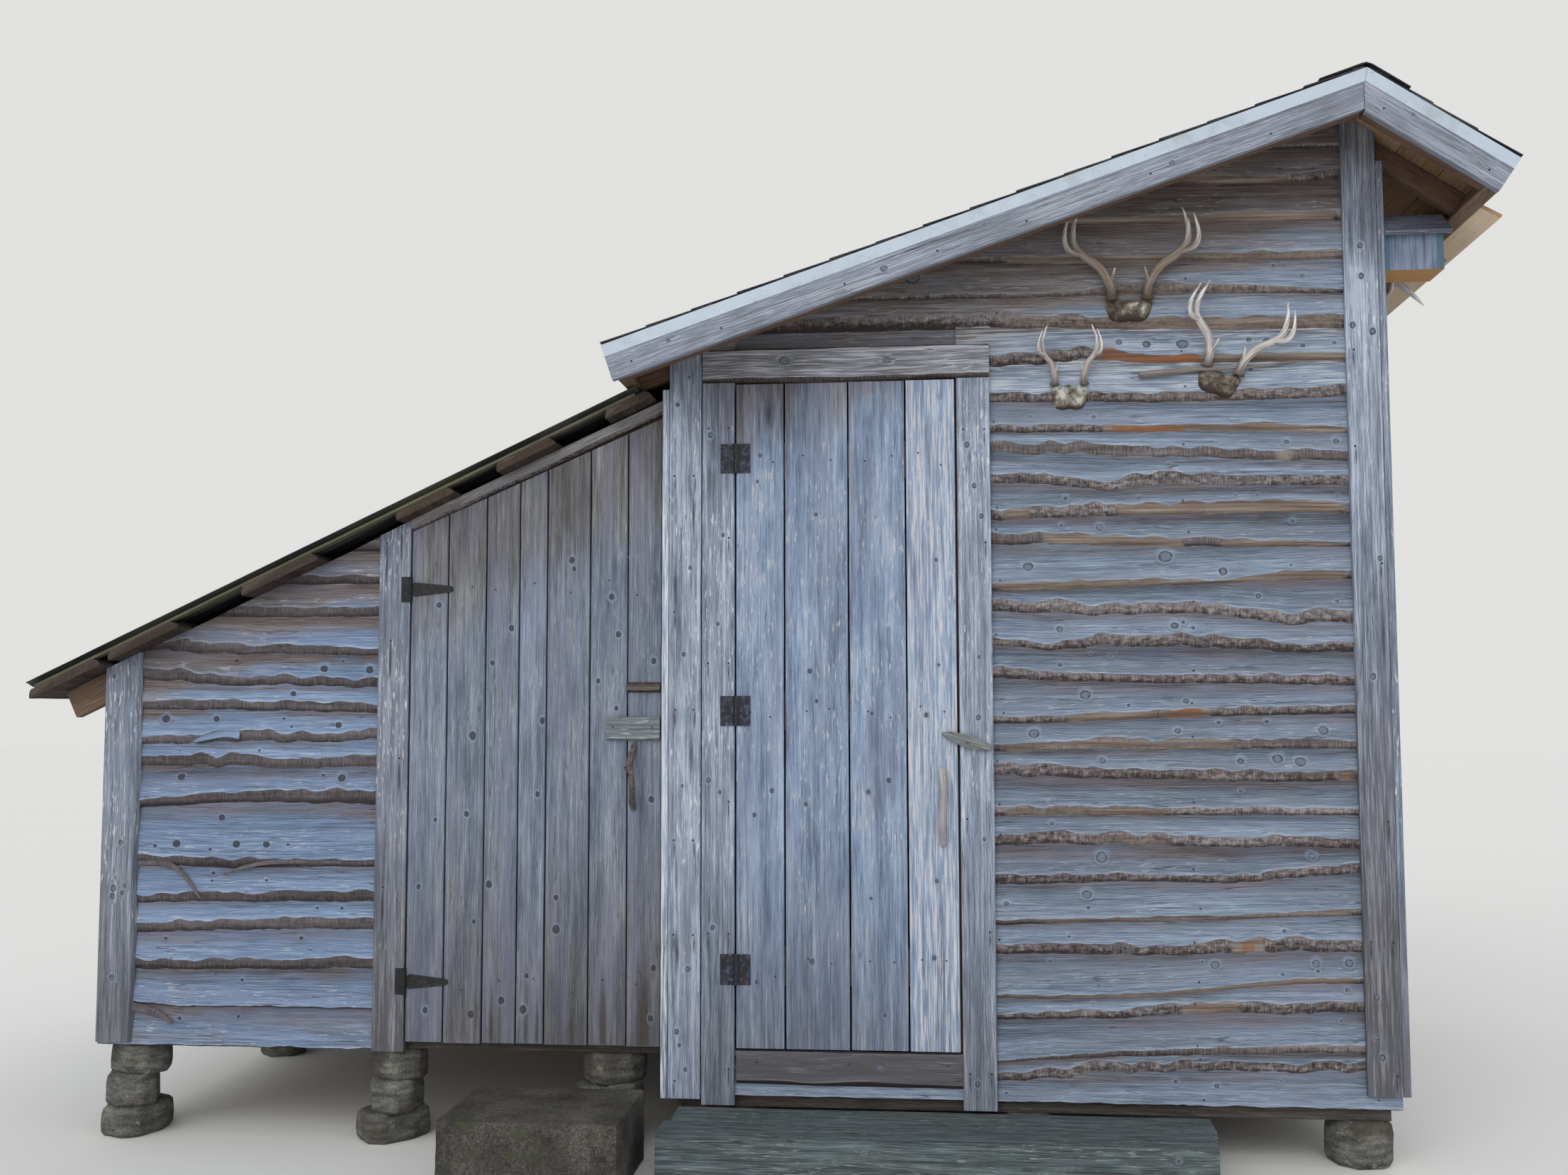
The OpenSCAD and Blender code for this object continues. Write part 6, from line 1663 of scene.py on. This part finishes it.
def makeRoofWood():
    draws.seed(roofWoodLook["seed"])
    # roof boards, laid across the rafters
    pile = newPile()
    y0, y1 = -gableOut + 0.5, depth + gableOut - 0.5
    for pointAt, run, sign in ((leftPoint, runLeft, 1), (rightPoint, runRight, -1)):
        r = run - 0.5
        while r > 12:
            wide = min(draws.uniform(*roofWoodLook["boardWidths"]), r - 6)
            mid = r - wide / 2
            up = (Vector(pointAt(mid - 10, 0)) - Vector(pointAt(mid, 0))).normalized()
            a, b = (y0, y1) if sign < 0 else (y1, y0)
            addBoard(pile, pointAt(mid, 0.4, a), pointAt(mid, 0.4, b), up, wide - 1.2, deckT - 0.8, step=700,
                warm=0.4)
            r -= wide
    makePiece("roof_deck", pile, newWood, "new_wood", "roof_boards")
    # rafters and fly rafters
    pile = newPile()
    upL, upR = Vector((-math.sin(pitchL), 0, math.cos(pitchL))), Vector((math.sin(pitchR), 0,
        math.cos(pitchR)))
    flyY = gableOut - rakeT - studT
    span = depth - 2 * innerFace - studT
    rows = [(innerFace + k * span / 4, rafterLow) for k in range(5)] + [(-flyY - studT, rakeLow),
        (depth + flyY, rakeLow)]
    for y, low in rows:
        mid = (deckT + low) / 2 + 0.5
        deep = low - deckT - 1.2
        x = apexX(mid)
        a = Vector(leftPoint(runLeft - studT - 0.5, mid, y))
        top = Vector((x - 1, y, roofUnder(x - 1, mid)))
        addBoard(pile, a, top, upL, deep, studT, skew=(0, tanL), warm=0.5, step=200)
        top = Vector((x + 1, y, roofUnder(x + 1, mid)))
        addBoard(pile, top, rightPoint(runRight - studT - 0.5, mid, y), upR, deep, studT, skew=(-tanR, 0),
            warm=0.5, step=100)
    makePiece("roof_rafters", pile, frameWood, "frame_wood", "rafters")
    # rake boards of grey wood
    pile = newPile()
    mid = (deckT + rakeLow) / 2
    deep = rakeLow - deckT - 0.4
    x = apexX(mid)
    front = []
    for y, back in ((-gableOut, False), (depth + gableOut, True)):
        a, top = Vector(leftPoint(runLeft, mid, y)), Vector((x - 0.8, y, roofUnder(x - 0.8, mid)))
        c, d = Vector((x + 0.8, y, roofUnder(x + 0.8, mid))), Vector(rightPoint(runRight, mid, y))
        if not back:
            front.append(addBoard(pile, a, top, upL, deep, rakeT, skew=(0, tanL), step=60, tone=0.55,
                warm=0.12))
            front.append(addBoard(pile, c, d, upR, deep, rakeT, skew=(-tanR, 0), step=60, tone=0.6, warm=0.1))
        else:
            addBoard(pile, top, a, upL, deep, rakeT, skew=(-tanL, 0), step=60, warm=0.15)
            addBoard(pile, d, c, upR, deep, rakeT, skew=(0, tanR), step=60, warm=0.15)
    for board in front:
        u = 70
        while u < board.length - 30:
            nailBoard(board, u, draws.uniform(-24, -8))
            if draws.random() < 0.6:
                knotOnBoard(pile, board, min(board.length - 40, u + draws.uniform(40, 160)),
                    draws.uniform(-25, 20), draws.uniform(7, 17))
            u += draws.uniform(*roofWoodLook["nailSteps"])
    makePiece("rake_trim", pile, rakeWood, "rake_wood", "rake_boards")
    # fascias on the rafters' ends
    pile = newPile()
    y0, y1 = rakeT - gableOut + 1, depth + gableOut - rakeT - 1
    mid = (deckT + rafterLow) / 2
    addBoard(pile, leftPoint(runLeft, mid, y1), leftPoint(runLeft, mid, y0), upL, rafterLow - deckT - 1,
        studT - 0.5, step=160, warm=0.3)
    mid = deckT + 89 / 2
    addBoard(pile, rightPoint(runRight, mid, y0), rightPoint(runRight, mid, y1), upR, 88, studT - 0.5,
        step=160, warm=0.3)
    makePiece("eave_fascia_boards", pile, frameWood, "new_wood", "eave_fascias")
    # plain new board along the right eave
    pile = newPile()
    tip = rightPoint(runRight, deckT + 89)
    pitch = math.radians(30)
    across = Vector((-math.cos(pitch), 0, math.sin(pitch)))
    mid = Vector((tip[0] + 30.6, 0, tip[2] + 14 - 33 * math.tan(pitch)))
    addBoard(pile, mid + Vector((0, depth - 0.5, 0)), mid + Vector((0, -99.5, 0)), across, 75, 11.5, step=200,
        tone=0.6)
    makePiece("eave_panel_board", pile, panelWoodLitBelow, "new_wood", "eave_panel")


makeShingles()
makeRoofWood()
repaint(whiteEdge, "drip_edges")
print("shed: gable roof made")

# Lean-to roof
sheetLook = {"seed": 43, "ribs": 33, "perRib": 10, "height": 15, "thick": 1.1, "dents": 1.0,
             "screwRows": (130, 620, 1110, 1600, 2080),
             "slabs": ((0, 232), (252, 480), (672, 922), (1158, 1346), (1468, 1660), (1804, 1954))}


def makeLeanRoof():
    draws.seed(sheetLook["seed"])
    y0, span = leanY - leanOut, leanBackY - leanY + 2 * leanOut
    run0, run1 = 75 / math.cos(pitchS), (leanW + leanEave) / math.cos(pitchS)
    pile = newPile()
    count = sheetLook["ribs"] * sheetLook["perRib"]
    rows = 26
    wide = (count + 1) * 2 + 1
    for i in range(rows + 1):
        t = i / rows
        r = run0 + (run1 - run0) * t
        ring = []
        for k in range(count + 1):
            y = y0 + span * k / count
            d = sheetLook["height"] / 2 * (1 + math.cos(2 * math.pi * k / sheetLook["perRib"]
                + math.pi)) + 0.3
            # foot traffic and age: small dents
            d += sheetLook["dents"] * max(0, wobble(r / 90, y / 60)) * (0.2 + t)
            ring.append((y, d))
        low = [(y, d + sheetLook["thick"]) for y, d in reversed(ring)]
        for y, d in ring + low + ring[:1]:
            addPoint(pile, Vector(leanPoint(r, d, y)), (r / 1000, y / 1000))
    joinRows(pile, 0, rows + 1, wide)
    # close the two ends of the sheet
    for row, flip in ((0, True), (rows, False)):
        for k in range(count):
            a = row * wide + k
            b = row * wide + (2 * count + 1 - k)
            addFace(pile, (a, a + 1, b - 1, b), not flip)
    makePiece("corrugated_sheet", pile, sheetMatter, "roof_sheet", "lean_roof_sheet", sharp=50)
    # screws with washers on the crests
    for r in sheetLook["screwRows"]:
        for rib in range(1, sheetLook["ribs"], 4):
            y = y0 + span * (rib + (0.0 if draws.random() < 0.9 else 0.5)) / sheetLook["ribs"]
            addNail(leanPoint(r, 0.9, y), (-math.sin(pitchS), 0, math.cos(pitchS)), 5, 0.6, pile=screwPile)
    up = Vector((math.cos(pitchS), 0, math.sin(pitchS)))
    pile = newPile()
    for a, b in sheetLook["slabs"]:
        x0, x1 = -1984 + a, -1984 + b
        r0, r1 = -x1 / math.cos(pitchS) + sheathingTop * tanS, -x0 / math.cos(pitchS) + sheathingTop * tanS
        mid = (r0 + r1) / 2
        edge = edgeLook(5, 15, 1.0)
        addBoard(pile, leanPoint(mid, sheathingTop + 0.3, leanBackY + leanOut - 1),
            leanPoint(mid, sheathingTop + 0.3, leanY - leanOut + 1), up, r1 - r0 - 8, 25.5, edge, edge,
            step=50, warm=0.5, ends=0.5)
    makePiece("sheathing_slabs", pile, barkWood, "bark_wood", "lean_sheathing")
    pile = newPile()
    ys = leanY - leanOut
    for i in range(5):
        y = ys + i * (leanBackY + leanOut - 32 - ys) / 4 + 16
        addBoard(pile, leanPoint(2165, 18.4, y), leanPoint(95, 18.4, y), (0, 1, 0), 32, 8.4, step=300,
            warm=0.2)
    makePiece("sheet_strips", pile, stripWood, "new_wood", "lean_roof_strips")
    # rafters with square tails
    pile = newPile()
    back = leanBackY - sidingT
    upS = Vector((-math.sin(pitchS), 0, math.cos(pitchS)))
    deep = 88.6
    mid = leanRafterTop + deep / 2 + 0.3
    run1 = (leanW + 156) / math.cos(pitchS) + leanRafterTop * tanS
    for i in range(5):
        y = leanFrameY + i * (back - leanFrameY - studT) / 4
        x = 1 if i in (0, 4) else trimT
        top = Vector((x, y, leanUnder(x, mid)))
        addBoard(pile, leanPoint(run1, mid, y), top, upS, deep, studT - 0.3, step=200, skew=(0, tanS),
            warm=0.4, moss=0.2)
    makePiece("lean_to_rafters", pile, frameWood, "frame_wood", "lean_rafters")
    # sloping board over the door
    pile = newPile()
    x0, x1 = postX + cornerW + 1, -1
    z0a, z0b = leanDoorLine(x0) + 8, leanUnder(x0, leanRafterTop)
    z1a, z1b = leanDoorLine(x1) + 8, leanUnder(x1, leanRafterTop)
    deep = ((z0b - z0a) + (z1b - z1a)) / 2 * math.cos(pitchS)
    a, b = Vector((x0, leanY, (z0a + z0b) / 2)), Vector((x1, leanY, (z1a + z1b) / 2))
    across = Vector((-(b - a).z, 0, (b - a).x))
    tanMid = (b - a).z / (b - a).x
    addBoard(pile, a, b, across, deep - 1, trimT, edgeLook(3, 10, 0.9), step=26, skew=(tanMid, tanMid),
        warm=0.75)
    makePiece("lean_to_door_head", pile, rakeWood, "bark_wood", "lean_trim_board")


makeLeanRoof()
print("shed: lean-to roof made")

# Frame, floors and sills
frameLook = {"seed": 61, "floorWidths": (120, 150), "leanFloorWidths": (115, 150), "joistD": 140}


def makeFrame():
    draws.seed(frameLook["seed"])
    pile = newPile()
    studFace = innerFace + studD

    def stud(x, y, wide, deep, z0, z1, slope=0.0):
        # x and y are the low corner; the board's face looks to the front
        addBoard(pile, (x + wide / 2, y, z0), (x + wide / 2, y, z1), (-1, 0, 0), wide - 0.5, deep - 0.5,
            step=500, skew=(0, slope), warm=0.5)
    for x in (innerFace, openX0 - 20, openX1 - 18, mainW - innerFace - studT):
        slope = -tanL if x + 19 < apexX(79) else tanR
        stud(x, innerFace + 0.3, studT, studD, floorZ, roofUnder(x + 19, rafterLow + 1), slope)
    for x in (innerFace, mainW / 3, 2 * mainW / 3, mainW - innerFace - studT):
        slope = -tanL if x + 19 < apexX(79) else tanR
        stud(x, depth - innerFace - studD, studT, studD - 0.4, floorZ, roofUnder(x + 19, rafterLow + 1),
            slope)
    plate0, plate1 = roofUnder(innerFace, rafterLow) - studT, roofUnder(mainW - innerFace, rafterLow) - studT
    for i in (1, 2, 3):
        y = innerFace + i * (depth - 2 * innerFace - studT) / 4
        stud(innerFace + 0.3, y, studD, studT, floorZ, plate0)
        stud(mainW - studFace, y, studD - 0.3, studT, floorZ, plate1)
    makePiece("wall_frame_studs", pile, frameWood, "frame_wood", "wall_studs")
    pile = newPile()
    for x, z in ((innerFace + studD / 2, plate0), (mainW - innerFace - studD / 2, plate1)):
        addBoard(pile, (x, depth - studFace, z + studT), (x, studFace, z + studT), (1, 0, 0), studD - 0.6,
            studT, step=500, warm=0.5)
    addBoard(pile, (openX0 + 20, innerFace + 0.3, headerZ + studD / 2),
        (openX1 - 20, innerFace + 0.3, headerZ + studD / 2), (0, 0, 1), studD - 0.5, studD - 0.6, step=300,
        warm=0.5)
    makePiece("wall_frame_plates", pile, frameWood, "frame_wood", "wall_plates")
    # floor joists with their rim, then boards
    pile = newPile()
    top, low = floorZ - 25, floorZ - 25 - frameLook["joistD"]
    for y in (innerFace, depth - innerFace - studT):
        addBoard(pile, (innerFace, y, (top + low) / 2), (mainW - innerFace, y, (top + low) / 2), (0, 0, 1),
            139.4, studT - 0.4, step=300, warm=0.4, moss=0.3)
    for i in range(5):
        x = innerFace + i * (mainW - 2 * innerFace - studT) / 4
        addBoard(pile, (x, depth - innerFace - studT - 1, (top + low) / 2),
            (x, innerFace + studT + 1, (top + low) / 2), (0, 0, 1), 139.4, studT, step=400, warm=0.4)
    makePiece("main_floor_joists", pile, frameWoodPaintedShade, "frame_wood", "floor_joists")
    pile = newPile()
    y = innerFace
    while y < depth - innerFace - 5:
        wide = min(draws.uniform(*frameLook["floorWidths"]), depth - innerFace - y)
        addBoard(pile, (innerFace + 0.3, y + wide / 2, floorZ),
            (mainW - innerFace - 0.3, y + wide / 2, floorZ), (0, 1, 0), wide - 1.6, 24.6, step=300, warm=0.6)
        y += wide
    makePiece("main_floor_boards", pile, frameWood, "frame_wood", "floor_boards")
    # lean-to: sills, floor, studs
    pile = newPile()
    innerX, back = -leanW + sidingT, leanBackY - sidingT
    zMid = (leanWallZ + leanSillTop) / 2
    for y in (leanFrameY + 0.3, back - studD):
        addBoard(pile, (innerX, y, zMid), (-0.5, y, zMid), (0, 0, 1), 88.5, studD - 0.6, step=300, warm=0.4,
            moss=0.3)
    addBoard(pile, (innerX + 0.3, back - studD - 1, zMid), (innerX + 0.3, leanFrameY + studD + 1, zMid),
        (0, 0, 1), 88.5, studD - 0.6, step=300, warm=0.4)
    makePiece("lean_to_sill_beams", pile, frameWoodPaintedShade, "frame_wood", "lean_sills")
    pile = newPile()
    x0, y0, y1 = innerX + studD, leanFrameY + studD, back - studD
    y = y0
    while y < y1 - 5:
        wide = min(draws.uniform(*frameLook["leanFloorWidths"]), y1 - y)
        addBoard(pile, (x0 + 0.3, y + wide / 2, leanSillTop), (-0.3, y + wide / 2, leanSillTop), (0, 1, 0),
            wide - 1.8, 24.6, step=300, warm=0.6)
        y += wide
    low = leanSillTop - 25 - 38
    for y in (y0, y1 - 38, (y0 + y1 - 38) / 2):
        addBoard(pile, (x0, y + 0.3, low + 19), (-0.3, y + 0.3, low + 19), (0, 0, 1), 37.4, 37.4, step=400,
            warm=0.4)
    makePiece("lean_to_floor_boards", pile, frameWood, "frame_wood", "lean_floor")
    pile = newPile()
    for x in (innerX, postX + cornerW - studT, -studT):
        for y in (leanFrameY + 0.3, back - studD):
            stud(x, y, studT, studD - 0.3, leanSillTop, leanUnder(x + 19, leanRafterLow + 1), -tanS)
    for i in (1, 2, 3):
        stud(innerX + 0.3, leanFrameY + i * (back - leanFrameY - studT) / 4, studT, studT, leanSillTop,
            leanUnder(innerX + 19, leanRafterLow + 1), -tanS)
    makePiece("lean_to_frame_studs", pile, frameWood, "frame_wood", "lean_studs")


makeFrame()
print("shed: frame made")


# Stones, step and timbers
def addStone(pile, x, y, z, w, d, h, turn, seed):
    outline = [(-0.5, -0.2), (-0.34, -0.46), (0.1, -0.5), (0.44, -0.32), (0.5, 0.14), (0.3, 0.45),
        (-0.12, 0.5), (-0.45, 0.3)]
    sides = 32
    first = len(pile.verts)
    profile = ((0.0, 0.0), (0.55, 0.0), (0.9, 0.02), (0.98, 0.14), (1.0, 0.4), (0.995, 0.7), (0.96, 0.9),
        (0.86, 1.0), (0.45, 1.0), (0.0, 1.0))
    c, s = math.cos(math.radians(turn)), math.sin(math.radians(turn))
    for r, t in profile:
        for k in range(sides):
            q = k / sides * 8
            i, f = int(q) % 8, q - int(q)
            f = f * f * (3 - 2 * f) * 0.35 + f * 0.65
            px = outline[i][0] * (1 - f) + outline[(i + 1) % 8][0] * f
            py = outline[i][1] * (1 - f) + outline[(i + 1) % 8][1] * f
            rough = 0.965 + 0.035 * wobble(px * 5 + seed, py * 5,
                t * 2.2) - 0.02 * abs(wobble(px * 14 + seed, py * 14, t * 6))
            lx, ly = px * w * r * rough, py * d * r * rough
            addPoint(pile, Vector((x + lx * c - ly * s, y + lx * s + ly * c, z + h * t)),
                (lx / 1000, ly / 1000))
    joinRings(pile, first, len(profile), sides)


timberLook = {"seed": 71, "length": 1524, "depth": 140, "places": ((36, -286, 137), (56, -143, 140))}
# the step's sides: left, right, front, back, foot and top
stepBox = (-535, -35, leanY - 475, leanY - 75, 0, 200)


def makeBase():
    pile = newPile()
    seeds = 0

    def pier(x, y, top, w, d, courses):
        nonlocal seeds
        h = top / courses
        for i in range(courses):
            seeds += 1
            addStone(pile, x + 9 * math.sin(math.radians(140 * i + x)),
                y + 8 * math.cos(math.radians(110 * i + y)), max(0, i * h - 4), w * (1 - 0.07 * i),
                d * (1 - 0.05 * i), h if i == 0 else h + 4, 41 * i + 0.4 * x + 0.2 * y, seeds * 3.1)
    for x in (innerFace + 75, mainW / 2, mainW - innerFace - 75):
        for y in (innerFace + 60, depth / 2, depth - innerFace - 60):
            pier(x, y, floorZ - 25 - 140, 190, 170, 1)
    for x in (-leanW + 90, postX + cornerW / 2, -170):
        for y in (leanFrameY + 50, leanBackY - sidingT - 50):
            pier(x, y, leanWallZ, 230, 170, 3)
    pier(-leanW + 90, depth / 2, leanWallZ, 210, 180, 3)
    makePiece("field_stone_piers", pile, stoneMatter, "stone", "stone_piers", sharp=60)

    # rough step of concrete
    pile = newPile()
    x0, x1, y0, y1, z0, z1 = stepBox
    sizes = (x1 - x0, y1 - y0, z1 - z0)
    centre = Vector(((x0 + x1) / 2, (y0 + y1) / 2, (z0 + z1) / 2))
    half = Vector((sizes[0] / 2, sizes[1] / 2, sizes[2] / 2))

    def soft(p):
        # round the edges, then roughen
        r = 9 + 5 * wobble(p.x / 60, p.y / 60, p.z / 60)
        inner = Vector((max(-half.x + r, min(half.x - r, p.x)), max(-half.y + r, min(half.y - r, p.y)),
            max(-half.z + r, min(half.z - r, p.z))))
        away = p - inner
        if away.length > 0:
            p = inner + away.normalized() * min(away.length, r)
        dent = 2.2 * abs(wobble(p.x / 34 + 5, p.y / 34, p.z / 34)) + 1.2 * abs(wobble(p.x / 11, p.y / 11,
            p.z / 11))
        if p.z > -half.z + 3:
            p = p - p.normalized() * dent
        return p + centre
    for axis, sign in ((0, 1), (0, -1), (1, 1), (1, -1), (2, 1), (2, -1)):
        a, b = (axis + 1) % 3, (axis + 2) % 3
        na, nb = int(half[a] / 7) + 2, int(half[b] / 7) + 2
        first = len(pile.verts)
        for i in range(na + 1):
            for j in range(nb + 1):
                p = Vector((0, 0, 0))
                p[axis], p[a], p[b] = sign * half[axis], half[a] * (2 * i / na - 1), half[b] * (2 * j / nb
                    - 1)
                addPoint(pile, soft(p), (p[a] / 1000, p[b] / 1000))
        joinRows(pile, first, na + 1, nb + 1, sign < 0)
    makePiece("concrete_step", pile, concrete, "concrete", "step_block", sharp=60)

    draws.seed(timberLook["seed"])
    pile = newPile()
    worn = edgeLook(1.6, 7.0, 0.0)
    for x0, y, h in timberLook["places"]:
        lowest = len(pile.verts)
        beam = addBoard(pile, (x0, y, h / 2), (x0 + timberLook["length"], y, h / 2), (0, 0, 1), h,
            timberLook["depth"], worn, worn, step=30, warm=0.2, moss=0.5, tone=0.5, ends=0.8)
        for vertex in pile.verts[lowest:]:
            # nothing goes into the floor
            vertex.z = max(0.0, vertex.z)
        for k in range(5):
            knotOnBoard(pile, beam, draws.uniform(80, 1440), draws.uniform(-45, 45), draws.uniform(8, 15),
                1.2, 0.62)
        if y > -200:
            continue
        for k in range(3):
            stainOnBoard(pile, beam, 250 + 480 * k, 10 * math.sin(k * 2), 240, 7, 0.9)
    makePiece("landscape_timbers", pile, timberWood, "timber_wood", "front_timbers")


makeBase()

# Birdhouse
birdLook = {"seed": 83, "y": 24, "w": 140, "z": 2585, "h": 118, "l": 174, "pitch": 38, "roofT": 13,
            "overhang": 26}


def makeBirdhouse():
    draws.seed(birdLook["seed"])
    b = birdLook
    rise = b["w"] / 2 * math.tan(math.radians(b["pitch"]))
    top, midY = b["z"] + b["h"], b["y"] + b["w"] / 2
    repaint(birdBox, "birdhouse")
    # two roof boards that meet over the middle
    pile = newPile()
    pitch, t, over = math.radians(b["pitch"]), b["roofT"], b["overhang"]
    long = (b["w"] / 2 + over) / math.cos(pitch)
    ridge = Vector((0, midY, top + rise))
    for side in (-1, 1):
        down = Vector((0, side * math.cos(pitch), -math.sin(pitch)))
        out = Vector((0, side * math.sin(pitch), math.cos(pitch)))
        mid = ridge + down * (long / 2) + out * t
        a, c = mid + Vector((mainW, 0, 0)), mid + Vector((mainW + b["l"] + 16, 0, 0))
        if side < 0:
            a, c = c, a
        addBoard(pile, c, a, -down, long - 0.5, t, step=24, tone=0.25, warm=0.2)
    makePiece("birdhouse_roof_boards", pile, birdRoofWood, "bird_wood", "birdhouse_roof")


makeBirdhouse()

# Iron parts
repaint(rustyIron, "main_door_hinges", "fixed_hinge_leaves")
repaint(blackIron, "lean_door_hinges")
repaint(greyScrew, "button_screw")


# screws and nails; the pins are the hinges' own
ironLook = {"seed": 97, "buttPin": 223, "buttZ": (537, 1296.5, 2056), "strapPin": -787,
            "strapZ": (483, 1671), "head": 2.5}


def makeFastenings():
    leafScrews = newPile()

    def screw(x, y, z, pile):
        addNail((x, y - ironLook["head"], z), (0, -1, 0), 4, 0.8, pile, 10)
    pinX = ironLook["buttPin"]
    for z in ironLook["buttZ"]:
        for dz in (-30, 0, 30):
            away = 26 + (6 if dz else -4)
            screw(pinX + away, 0, z + dz, doorNails)
            screw(pinX - away, 0, z + dz, leafScrews)
    pinX = ironLook["strapPin"]
    for z in ironLook["strapZ"]:
        for dx in (26, 62, 104):
            screw(pinX + dx, leanY, z + (7 if dx == 26 else 0), leanDoorNails)
        for dz in (-26, 0, 26):
            screw(pinX - 17, leanY, z + dz, leafScrews)
    makePiece("fixed_leaf_screws", leafScrews, rustyIron, "rusty_iron")
    makePiece("main_door_nails", doorNails, nailIron, "rusty_iron", body="main_door")
    makePiece("lean_to_door_nails", leanDoorNails, nailIron, "black_iron", body="lean_to_door")
    makePiece("sheet_screws", screwPile, greyScrew, "roof_sheet")
    # nails of the siding, over the studs
    draws.seed(ironLook["seed"])
    for s in (1010, 1560, 2040, 2100):
        for lows, bands in frontBoards:
            if draws.random() < 0.65:
                low = between(s, frontStations, lows) + between(s, frontStations, bands)
                if low + 30 < roofUnder(s, deckT + 60):
                    addNail((s + draws.uniform(-14, 14), 12.5, low + draws.uniform(14, 26)), (0, -1, 0), 2.8,
                        0.9)
    makePiece("trim_nails", nailPile, nailIron, "rusty_iron")


makeFastenings()

# Studio
studio = {"world": (0.97, 0.985, 1.0, 1.0), "worldStrength": 0.66, "seen": (0.757, 0.76, 0.745, 1.0),
    "sun": 1.42, "back": 0.5, "spread": 60, "floor": {"plain": (230, 230, 227), "speckle": (200, 200, 198)}}


def makeSun(name, heading, strength):
    data = bpy.data.lights.new(name, "SUN")
    data.energy, data.angle = strength, math.radians(studio["spread"])
    holder = bpy.data.objects.new(name, data)
    holder.rotation_euler = Vector(heading).to_track_quat("-Z", "Y").to_euler()
    bpy.context.scene.collection.objects.link(holder)


def makeStudio():
    global tree
    world = bpy.data.worlds.new("soft_sky")
    world.use_nodes = True
    bpy.context.scene.world = world
    tree = world.node_tree
    tree.nodes.clear()
    back = wire(0, "Background", {"Color": studio["world"], "Strength": studio["worldStrength"]})
    seen = wire(0, "Background", {"Color": studio["seen"], "Strength": 1.0})
    rays = put("LightPath").outputs
    plain = maths("MAXIMUM", Wire(rays["Is Camera Ray"]), Wire(rays["Is Glossy Ray"]))
    plain = maths("MAXIMUM", plain, Wire(rays["Is Transmission Ray"]))
    put("OutputWorld", {"Surface": wire(0, "MixShader", {0: plain, 1: back, 2: seen})})
    makeSun("soft_sun", (0.2, 0.88, -0.46), studio["sun"])
    makeSun("soft_back_light", (-0.3, -0.8, -0.6), studio["back"])

    material, look = newPaint("studio_floor", studio["floor"])
    faint = grainNoise(wire("Object", "TexCoord"), 0.6, 0.6, 0.6, detail=2)
    finishPaint(material, blend(faint * 0.05, look.plain, look.speckle), 0.9, specular=0.1)
    mesh = bpy.data.meshes.new("studio_floor")
    mesh.from_pydata([(-40, -40, 0), (40, -40, 0), (40, 40, 0), (-40, 40, 0)], [], [(0, 1, 2, 3)])
    mesh.materials.append(material)
    floor = bpy.data.objects.new("studio_floor", mesh)
    bpy.context.scene.collection.objects.link(floor)


makeStudio()
bpy.context.scene.view_settings.view_transform = "Standard"
print("shed: finished")
